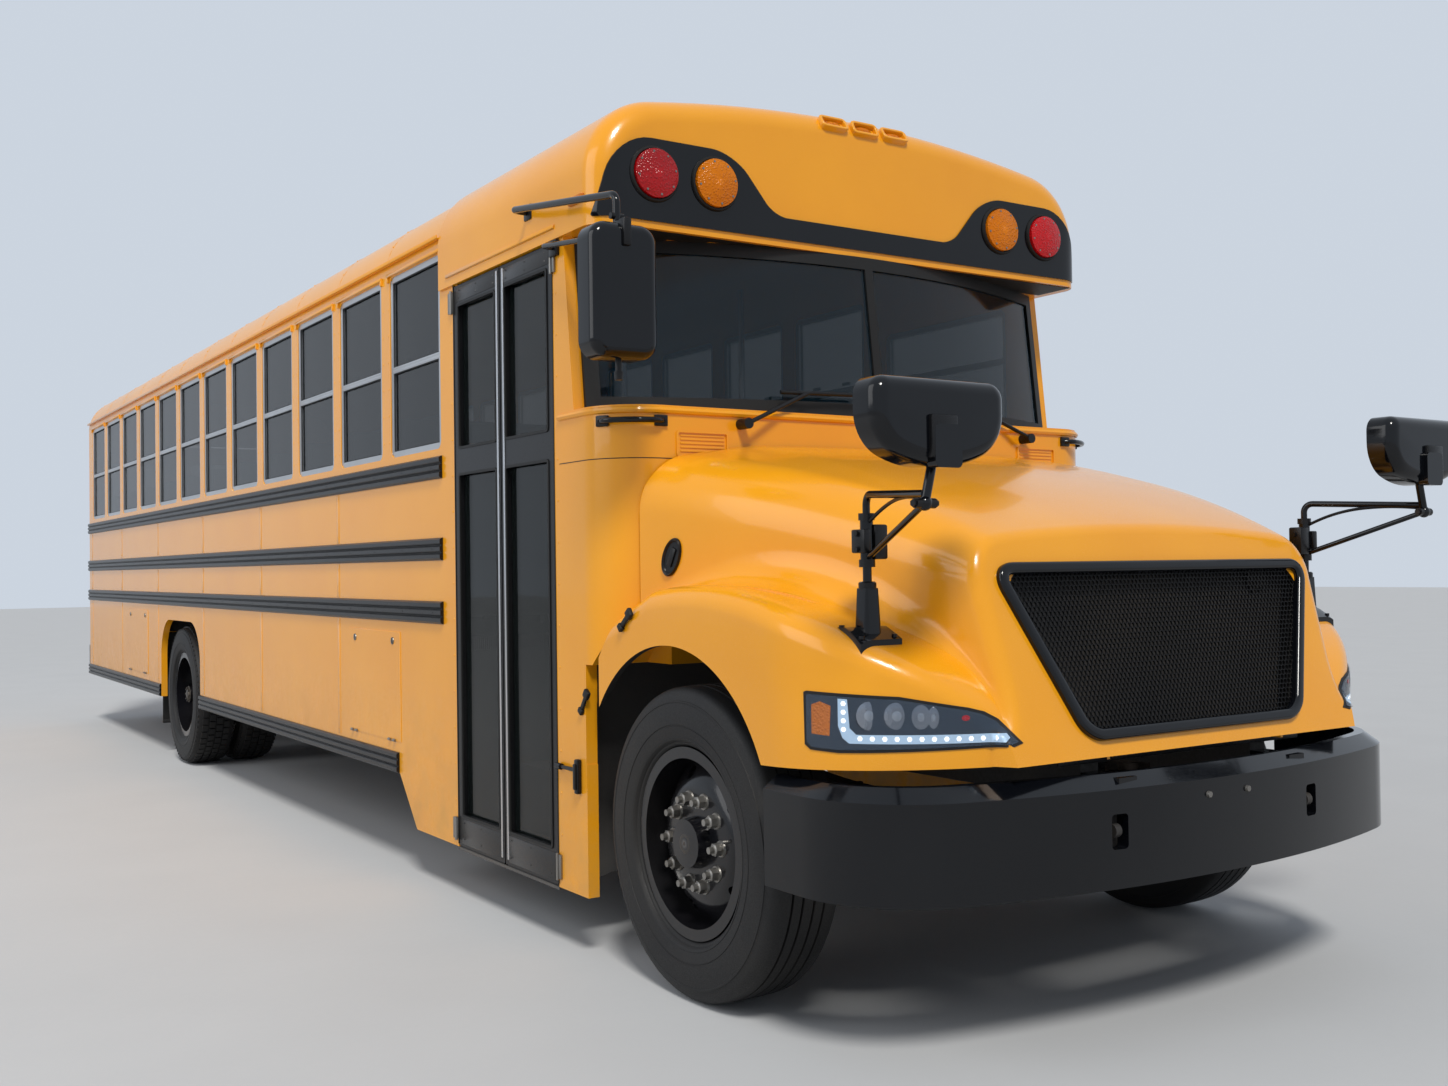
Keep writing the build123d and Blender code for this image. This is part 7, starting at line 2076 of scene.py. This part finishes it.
    def flaps(self) -> None:
        """Builds the mud flaps behind the rear wheels."""
        mesh = bmesh.new()
        for side in (-1, 1):
            first, last = side * self.flap_x - self.flap_half, side * self.flap_x + self.flap_half
            for near, far, low, high, edge in (
                (2.905, 2.913, 0.235, 0.945, 0.003), (2.898, 2.921, 0.915, 0.950, 0.004),
                (2.899, 2.919, 0.235, 0.262, 0.004),
            ):
                Shop.block(mesh, (first, near, low), (last, far, high), edge)
        Shop.finish("mud_flaps", mesh, RUBBER)

    def build(self) -> None:
        """Builds the whole rear end."""
        self.door()
        self.wall()
        self.flaps()


@dataclass
class StopSign:
    """White border, lamps and lamp rings on the swinging stop arm, which is left without words.

    Attributes:
        centre: The octagon's middle.
        radius: Distance from its middle to its corners.
        face: Half of the blade's thickness.
    """

    centre: Triple = (1.255, -2.720, 1.680)
    radius: float = 0.222
    face: float = 0.0062

    def build(self) -> None:
        """Builds the border and lamps on both faces."""
        border, lamps, rings = bmesh.new(), bmesh.new(), bmesh.new()
        for way in (-1, 1):
            x = self.centre[0] + way * self.face
            octagon = Shop.oval(self.centre[1], self.centre[2], self.radius, self.radius, 8, 0.5)
            outer = [(x, y, z) for y, z in octagon]
            Shop.outline_rim(border, outer, 0.012, (way * 0.0009, 0, 0))
            for dz in (-0.158, 0.158):
                profile = [(-0.001, 0.0), (-0.001, 0.031), (0.005, 0.031), (0.0075, 0.022), (0.0085, 0.0)]
                place = (x, self.centre[1], self.centre[2] + dz)
                Shop.lathe(lamps, profile, place, (way, 0, 0), 28)
                Shop.lathe(
                    rings,
                    [(-0.001, 0.031), (0.0055, 0.0312), (0.0060, 0.035), (-0.001, 0.037), (-0.001, 0.031)],
                    place, (way, 0, 0), 28,
                )
        Shop.finish("stop_border", border, WHITE_TAPE, "stop_sign_arm")
        Shop.finish("stop_lamps", lamps, LENS_RED, "stop_sign_arm", "lens_red")
        Shop.finish("stop_lamp_rings", rings, SATIN_BLACK, "stop_sign_arm")


@dataclass
class FrontDetails:
    """Plate bolts on the front bumper and tow hooks behind it.

    Attributes:
        bolt: Distance of a plate bolt from the bus's middle, and its height.
        hook_x: Distance of a tow hook from the bus's middle.
    """

    bolt: tuple[float, float] = (0.090, 0.711)
    hook_x: float = 0.446

    def build(self) -> None:
        """Builds the bolts and the hooks."""
        bolts, hooks = bmesh.new(), bmesh.new()
        skin = Skin("front_bumper")
        for side in (-1, 1):
            hit, _ = skin.meet(Vector((side * self.bolt[0], -7, self.bolt[1])), Vector((0, 1, 0)))
            Shop.drum(bolts, hit + Vector((0, 0.002, 0)), hit - Vector((0, 0.008, 0)), 0.011, 0.009, 12)
        Shop.finish("plate_bolts", bolts, NUT_STEEL)
        for side in (-1, 1):
            x = side * self.hook_x
            Shop.block(hooks, (x - 0.034, -6.060, 0.583), (x + 0.034, -6.052, 0.691), 0.003)
            Shop.drum(hooks, (x - 0.012, -6.075, 0.637), (x + 0.012, -6.075, 0.637), 0.020, 0.020, 16)
        Shop.finish("tow_hooks", hooks, CHASSIS)


@dataclass
class Underbody:
    """Leaf springs, an air tank, the muffler and the tail pipe below the floor.

    Attributes:
        packs: Y, half length, height, X and number of leaves of each spring.
        vessels: Y, X, radius, length and height of the air tank and the muffler.
        pipe: Points along the tail pipe.
    """

    packs: tuple = ((FRONT_AXLE_Y, 0.62, 0.615, 0.432, 4), (REAR_AXLE_Y, 0.70, 0.560, 0.500, 7))
    vessels: tuple = ((0.15, -0.72, 0.130, 0.72, 0.760), (-1.55, 0.74, 0.150, 1.25, 0.740))
    pipe: tuple = (
        (0.74, -0.93, 0.74), (0.74, -0.40, 0.74), (0.72, 0.60, 0.70), (0.56, 1.15, 0.82),
        (0.54, 2.20, 0.90), (0.56, 3.20, 0.82), (0.66, 3.80, 0.66), (0.70, 5.90, 0.60),
    )

    def springs(self) -> None:
        """Builds the leaf packs and their clips."""
        mesh = bmesh.new()
        for axle_y, half, z, x, leaves in self.packs:
            for n in range(leaves):
                reach = half * (1 - n / (leaves + 1.5))
                low = z - 0.012 - n * 0.012 if axle_y > 0 else z - n * 0.010
                Shop.block(
                    mesh, (x - 0.038, axle_y - reach, low - 0.0105), (x + 0.038, axle_y + reach, low), 0.002
                )
            for y in (axle_y - 0.085, axle_y + 0.085):
                Shop.block(
                    mesh, (x - 0.048, y - 0.010, z - 0.105), (x + 0.048, y + 0.010, z + 0.012), 0.004
                )
        Shop.mirrored(mesh)
        Shop.finish("leaf_springs", mesh, IRON)

    def tanks(self) -> None:
        """Builds the air tank, the muffler and the tail pipe."""
        mesh = bmesh.new()
        for y, x, radius, length, z in self.vessels:
            profile = [
                (0.0, 0.0), (0.004, radius * 0.45), (0.022, radius * 0.85), (0.045, radius),
                (length - 0.045, radius), (length - 0.022, radius * 0.85), (length - 0.004, radius * 0.45),
                (length, 0.0),
            ]
            Shop.lathe(mesh, profile, (x, y - length / 2, z), (0, 1, 0), 36)
            for part in (0.25, 0.75):
                ring = [
                    (-0.018, radius + 0.001), (-0.018, radius + 0.005), (0.018, radius + 0.005),
                    (0.018, radius + 0.001), (-0.018, radius + 0.001),
                ]
                Shop.lathe(mesh, ring, (x, y - length / 2 + length * part, z), (0, 1, 0), 36)
        Shop.finish("muffler_and_air_tank", mesh, TANK)
        Shop.tube("tail_pipe", self.pipe, 0.048, IRON, bend=1.0, sides=5)

    def build(self) -> None:
        """Builds the parts below the floor."""
        self.springs()
        self.tanks()


@dataclass
class Seats:
    """Padded benches with piping, and the driver's high-backed seat.

    Attributes:
        bench: X of the right benches' middle.
        width: Width of a bench.
        first_y: Front edge of the first cushion.
        pitch: Distance between two rows.
        rows: Rows of benches.
        pressure: Pressure that swells the pads.
        cap: Most that a point may swell, in metres.
    """

    bench: float = 0.6755
    width: float = 0.981
    first_y: float = -2.790
    pitch: float = 0.745
    rows: int = 12
    pressure: float = 5.0
    cap: float = 0.009

    def pad(self, low: tuple, high: tuple, cuts: tuple) -> Mesh:
        """Swells a block into a pad by a short cloth simulation.

        Args:
            low: The pad's lowest corner.
            high: Its highest corner.
            cuts: Cuts along X, Y and Z.

        Returns:
            The pad's mesh.
        """
        mesh = bmesh.new()
        shrink = 0.6 * self.cap
        low = [v + shrink for v in low]
        high = [v - shrink for v in high]
        Shop.block(mesh, low, high)
        for axis, number in enumerate(cuts):
            edges = [e for e in mesh.edges if abs((e.verts[0].co - e.verts[1].co).normalized()[axis]) > 0.9]
            bmesh.ops.subdivide_edges(mesh, edges=edges, cuts=number, use_grid_fill=True)
        corners = [e for e in mesh.edges if e.calc_face_angle(0.0) > 1.2]
        Shop.rounded(mesh, corners, 0.016, 2)
        before = [v.co.copy() for v in mesh.verts]
        data = bpy.data.meshes.new("pad_blank")
        mesh.to_mesh(data)
        holder = bpy.data.objects.new("pad_blank", data)
        bpy.context.scene.collection.objects.link(holder)
        cloth = holder.modifiers.new("cloth", "CLOTH")
        cloth.settings.use_pressure = True
        cloth.settings.uniform_pressure_force = self.pressure
        cloth.settings.effector_weights.gravity = 0.0
        cloth.settings.tension_stiffness = 25.0
        scene = bpy.context.scene
        for number in range(1, 21):
            scene.frame_set(number)
        shaped = holder.evaluated_get(bpy.context.evaluated_depsgraph_get()).data
        for vert, start, moved in zip(mesh.verts, before, [v.co.copy() for v in shaped.vertices]):
            step = moved - start
            vert.co = start + (step if step.length < self.cap else step.normalized() * self.cap)
        scene.frame_set(1)
        bpy.data.objects.remove(holder)
        bpy.data.meshes.remove(data)
        return mesh

    def piping(self, low: tuple, high: tuple) -> Mesh:
        """Makes the welt round a pad's edge.

        Args:
            low: The welt's lowest corner.
            high: Its highest corner, level with the lowest across the pad's thin side.

        Returns:
            The mesh.
        """
        mesh = bmesh.new()
        thin = min(range(3), key=lambda i: abs(high[i] - low[i]))
        u, v = [i for i in range(3) if i != thin]
        corners = []
        for a, b in ((0, 0), (1, 0), (1, 1), (0, 1)):
            point = list(low)
            point[u] = (low, high)[a][u]
            point[v] = (low, high)[b][v]
            corners.append(tuple(point))
        for first, second in zip(corners, corners[1:] + corners[:1]):
            Shop.drum(mesh, first, second, 0.0042, 0.0042, 6)
        return mesh

    def build(self) -> None:
        """Builds the benches in their rows and the driver's seat."""
        pads, welts = bmesh.new(), bmesh.new()
        left, right = self.bench - self.width / 2, self.bench + self.width / 2
        first = self.first_y
        seat = self.pad((left, first, 1.450), (right, first + 0.400, 1.560), (13, 5, 1))
        back = self.pad((left, first + 0.408, 1.450), (right, first + 0.498, 2.150), (13, 1, 8))
        Shop.join(seat, back)
        Shop.join(pads, seat)
        for low, high in (((left + 0.012, first + 0.012, 1.5430), (right - 0.012, first + 0.388, 1.5430)),
                          ((left + 0.012, first + 0.424, 1.470), (right - 0.012, first + 0.424, 2.136)),
                          ((left + 0.012, first + 0.482, 1.470), (right - 0.012, first + 0.482, 2.136))):
            Shop.join(welts, self.piping(low, high))
        for mesh in (pads, welts):
            Shop.mirrored(mesh)
            Shop.copies(mesh, [Matrix.Translation((0, i * self.pitch, 0)) for i in range(self.rows)])
        piece = Shop.finish("bench_pads", pads, VINYL, "bus_body", "vinyl", sharp=60)
        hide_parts("seat_cushions")
        Shop.finish("bench_welts", welts, SEAT_STEEL)
        chair = self.pad((0.330, -3.900, 1.420), (0.850, -3.420, 1.540), (7, 7, 1))
        Shop.join(chair, self.pad((0.350, -3.425, 1.480), (0.830, -3.335, 2.000), (7, 1, 8)))
        Shop.join(chair, self.pad((0.430, -3.420, 2.020), (0.750, -3.340, 2.220), (5, 1, 3)))
        piece = Shop.finish("driver_pads", chair, VINYL, "bus_body", "vinyl", sharp=60)
        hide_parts("driver_seat")
        stand = bmesh.new()
        Shop.block(stand, (0.400, -3.820, 1.121), (0.780, -3.500, 1.180), 0.010)
        Shop.block(stand, (0.440, -3.780, 1.180), (0.740, -3.540, 1.415), 0.020)
        Shop.block(stand, (0.360, -3.870, 1.395), (0.820, -3.440, 1.419), 0.006)
        Shop.block(stand, (0.560, -3.400, 1.980), (0.620, -3.370, 2.040), 0.004)
        Shop.finish("driver_seat_stand", stand, SEAT_STEEL)


@dataclass
class Cabin:
    """Stanchions with their rails, crash panels and dials that show through the glass.

    Attributes:
        post_x: Distance of a stanchion from the bus's middle.
        post_y: Y of the stanchions.
        panel_x: Distance of a crash panel's middle from the bus's middle.
        dials: X of the dials.
        post: Radius of the tubes.
    """

    post_x: float = 0.335
    post_y: float = -3.060
    panel_x: float = 0.750
    dials: Triple = (0.49, 0.59, 0.69)
    post: float = 0.0155

    def build(self) -> None:
        """Builds the cabin's trim."""
        rails = bmesh.new()
        inner, y = self.post_x, self.post_y
        for start, end in (
            ((-inner, y, 1.125), (-inner, y, 2.780)), ((inner, y, 1.125), (inner, y, 2.780)),
            ((-1.160, y, 1.950), (-inner, y, 1.950)), ((inner, y, 1.950), (1.160, y, 1.950)),
        ):
            Shop.drum(rails, start, end, self.post, self.post, 16)
        Shop.finish("stanchions", rails, STAINLESS, "bus_body", "stainless")
        panels = bmesh.new()
        for side in (-1, 1):
            Shop.block(
                panels, (side * self.panel_x - 0.400, -3.068, 1.200),
                (side * self.panel_x + 0.400, -3.052, 1.920), 0.004,
            )
        Shop.finish("crash_panels", panels, INTERIOR)
        dials = bmesh.new()
        for x in self.dials:
            Shop.lathe(
                dials,
                [(0.0, 0.0), (0.0, 0.042), (0.010, 0.042), (0.010, 0.037), (0.004, 0.036), (0.004, 0.0)],
                (x, -4.178, 1.800), (0, 1, 0.2), 28,
            )
        Shop.finish("gauge_rings", dials, SATIN_BLACK)


@dataclass
class Structure:
    """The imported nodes, given their finishes and soft-shaded curves.

    Attributes:
        merge: Points nearer than this are welded for shading.
        sharp: Edges that turn by more than this many degrees stay sharp.
    """

    merge: float = 0.00005
    sharp: float = 32.0

    def smoothing(self) -> bpy.types.NodeTree:
        """Makes the node group that shades gentle curves softly.

        Returns:
            The node group.
        """
        group = bpy.data.node_groups.new("soft_curves", "GeometryNodeTree")
        group.interface.new_socket("Geometry", in_out="INPUT", socket_type="NodeSocketGeometry")
        group.interface.new_socket("Geometry", in_out="OUTPUT", socket_type="NodeSocketGeometry")
        start = group.nodes.new("NodeGroupInput")
        merge = group.nodes.new("GeometryNodeMergeByDistance")
        merge.inputs["Distance"].default_value = self.merge
        faces = group.nodes.new("GeometryNodeSetShadeSmooth")
        edges = group.nodes.new("GeometryNodeSetShadeSmooth")
        edges.domain = "EDGE"
        angle = group.nodes.new("GeometryNodeInputMeshEdgeAngle")
        test = group.nodes.new("FunctionNodeCompare")
        test.operation = "LESS_THAN"
        test.inputs["B"].default_value = math.radians(self.sharp)
        end = group.nodes.new("NodeGroupOutput")
        for source, target in (
            (start.outputs[0], merge.inputs["Geometry"]),
            (merge.outputs["Geometry"], faces.inputs["Geometry"]),
            (faces.outputs["Geometry"], edges.inputs["Geometry"]),
            (angle.outputs["Unsigned Angle"], test.inputs["A"]),
            (test.outputs["Result"], edges.inputs["Shade Smooth"]),
            (edges.outputs["Geometry"], end.inputs[0]),
        ):
            group.links.new(source, target)
        return group

    def dress(self) -> None:
        """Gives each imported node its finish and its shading."""
        group = self.smoothing()
        slots = {row["node"]: row["material_slot"] for row in frame["record"]["subparts"]}
        for name, node in frame["nodes"].items():
            node.data.materials.clear()
            finish = NODE_FINISH.get(name, SLOT_FINISH[slots[name]])
            node.data.materials.append(finish.build())
            modifier = node.modifiers.new("soft_curves", "NODES")
            modifier.node_group = group
            log.info("%s takes %s", name, slots[name])


@dataclass
class Studio:
    """The floor, the lights and the camera at the photograph's place.

    Attributes:
        eye: The camera's place.
        yaw: Its heading in degrees, clockwise from +Y.
        pitch: Degrees that it looks up.
        roll: Degrees that it leans.
        focal: Focal length in pixels of the frame.
        width: The frame's width in pixels.
    """

    eye: Triple = (-3.578, -8.841, 1.404)
    yaw: float = 33.264
    pitch: float = 0.978
    roll: float = -0.797
    focal: float = 1407.65
    width: float = 1448.0

    def camera(self) -> None:
        """Sets the camera where the photograph was taken."""
        data = bpy.data.cameras.new("camera")
        data.sensor_width = 36.0
        data.lens = self.focal / self.width * data.sensor_width
        data.clip_end = 200.0
        yaw, pitch, roll = (math.radians(a) for a in (self.yaw, self.pitch, self.roll))
        forward = Vector(
            (math.sin(yaw) * math.cos(pitch), math.cos(yaw) * math.cos(pitch), math.sin(pitch))
        )
        right = Vector((math.cos(yaw), -math.sin(yaw), 0))
        up = right.cross(forward)
        leaned = right * math.cos(roll) + up * math.sin(roll)
        upright = up * math.cos(roll) - right * math.sin(roll)
        camera = bpy.data.objects.new("camera", data)
        camera.matrix_world = Matrix.Translation(self.eye) @ Matrix(
            (leaned, upright, -forward)
        ).transposed().to_4x4()
        bpy.context.scene.collection.objects.link(camera)
        bpy.context.scene.camera = camera

    def floor(self) -> None:
        """Lays a wide pale floor under the object."""
        mesh = bmesh.new()
        bmesh.ops.create_grid(mesh, x_segments=1, y_segments=1, size=60.0)
        data = bpy.data.meshes.new("floor")
        mesh.to_mesh(data)
        mesh.free()
        graph = Graph("pale_floor")
        graph.feed("Base Color", graph.blend(graph.noise(1.5), (0.50, 0.51, 0.52), (0.54, 0.55, 0.56)))
        graph.feed("Roughness", graph.spread(graph.noise(30.0), 0.75, 0.85))
        data.materials.append(graph.material)
        plane = bpy.data.objects.new("studio_floor", data)
        bpy.context.scene.collection.objects.link(plane)

    def light(self, name: str, place: tuple, target: tuple, power: float, size: float) -> None:
        """Adds one soft lamp.

        Args:
            name: Its name.
            place: Where it stands.
            target: What it points at.
            power: Its power in watts.
            size: Its width.
        """
        data = bpy.data.lights.new(name, "AREA")
        data.energy = power
        data.size = size
        lamp = bpy.data.objects.new(name, data)
        lamp.location = place
        lamp.rotation_euler = (Vector(target) - Vector(place)).to_track_quat("-Z", "Y").to_euler()
        bpy.context.scene.collection.objects.link(lamp)

    def lights(self) -> None:
        """Sets the soft sky and the lamps."""
        world = bpy.data.worlds.new("studio")
        bpy.context.scene.world = world
        world.use_nodes = True
        nodes, links = world.node_tree.nodes, world.node_tree.links
        ground = nodes["Background"]
        ground.inputs["Color"].default_value = (0.78, 0.84, 0.94, 1)
        ground.inputs["Strength"].default_value = 0.42
        seen = nodes.new("ShaderNodeBackground")
        seen.inputs["Color"].default_value = (0.60, 0.66, 0.74, 1)
        seen.inputs["Strength"].default_value = 1.0
        path = nodes.new("ShaderNodeLightPath")
        mixer = nodes.new("ShaderNodeMixShader")
        seen_by = path.outputs["Is Camera Ray"]
        for kind in ("Is Glossy Ray", "Is Transmission Ray"):
            either = nodes.new("ShaderNodeMath")
            either.operation = "MAXIMUM"
            links.new(seen_by, either.inputs[0])
            links.new(path.outputs[kind], either.inputs[1])
            seen_by = either.outputs[0]
        links.new(seen_by, mixer.inputs[0])
        links.new(ground.outputs[0], mixer.inputs[1])
        links.new(seen.outputs[0], mixer.inputs[2])
        links.new(mixer.outputs[0], nodes["World Output"].inputs["Surface"])
        sun = bpy.data.lights.new("sun", "SUN")
        sun.energy = 2.3
        sun.angle = math.radians(12)
        sun.color = (1.0, 0.97, 0.92)
        holder = bpy.data.objects.new("sun", sun)
        holder.rotation_euler = Vector((0.35, 0.75, -1.05)).to_track_quat("-Z", "Y").to_euler()
        bpy.context.scene.collection.objects.link(holder)
        self.light("side_lamp", (-12.0, -2.0, 7.0), (0, 0, 1.2), 500.0, 9.0)

    def build(self) -> None:
        """Sets up the whole studio."""
        self.camera()
        self.floor()
        self.lights()
        bpy.context.scene.view_settings.view_transform = "Standard"


def main() -> None:
    """Builds the bus's dressed pieces in order, then the studio."""
    logging.basicConfig(level=logging.INFO, format="%(name)s %(message)s")
    Structure().dress()
    for assembly in (
        Tyres(), WheelFittings(), Headlamps(), GrilleMesh(), LampTrim(), HeaderPanel(), EntryDoor(),
        Mirrors(), NoseFittings(), SidePanels(), RoofSkin(), RearEnd(), StopSign(), FrontDetails(),
        Underbody(), Seats(), Cabin(),
    ):
        assembly.build()
        log.info("%s is done", type(assembly).__name__)
    Studio().build()


if __name__ == "__main__":
    main()
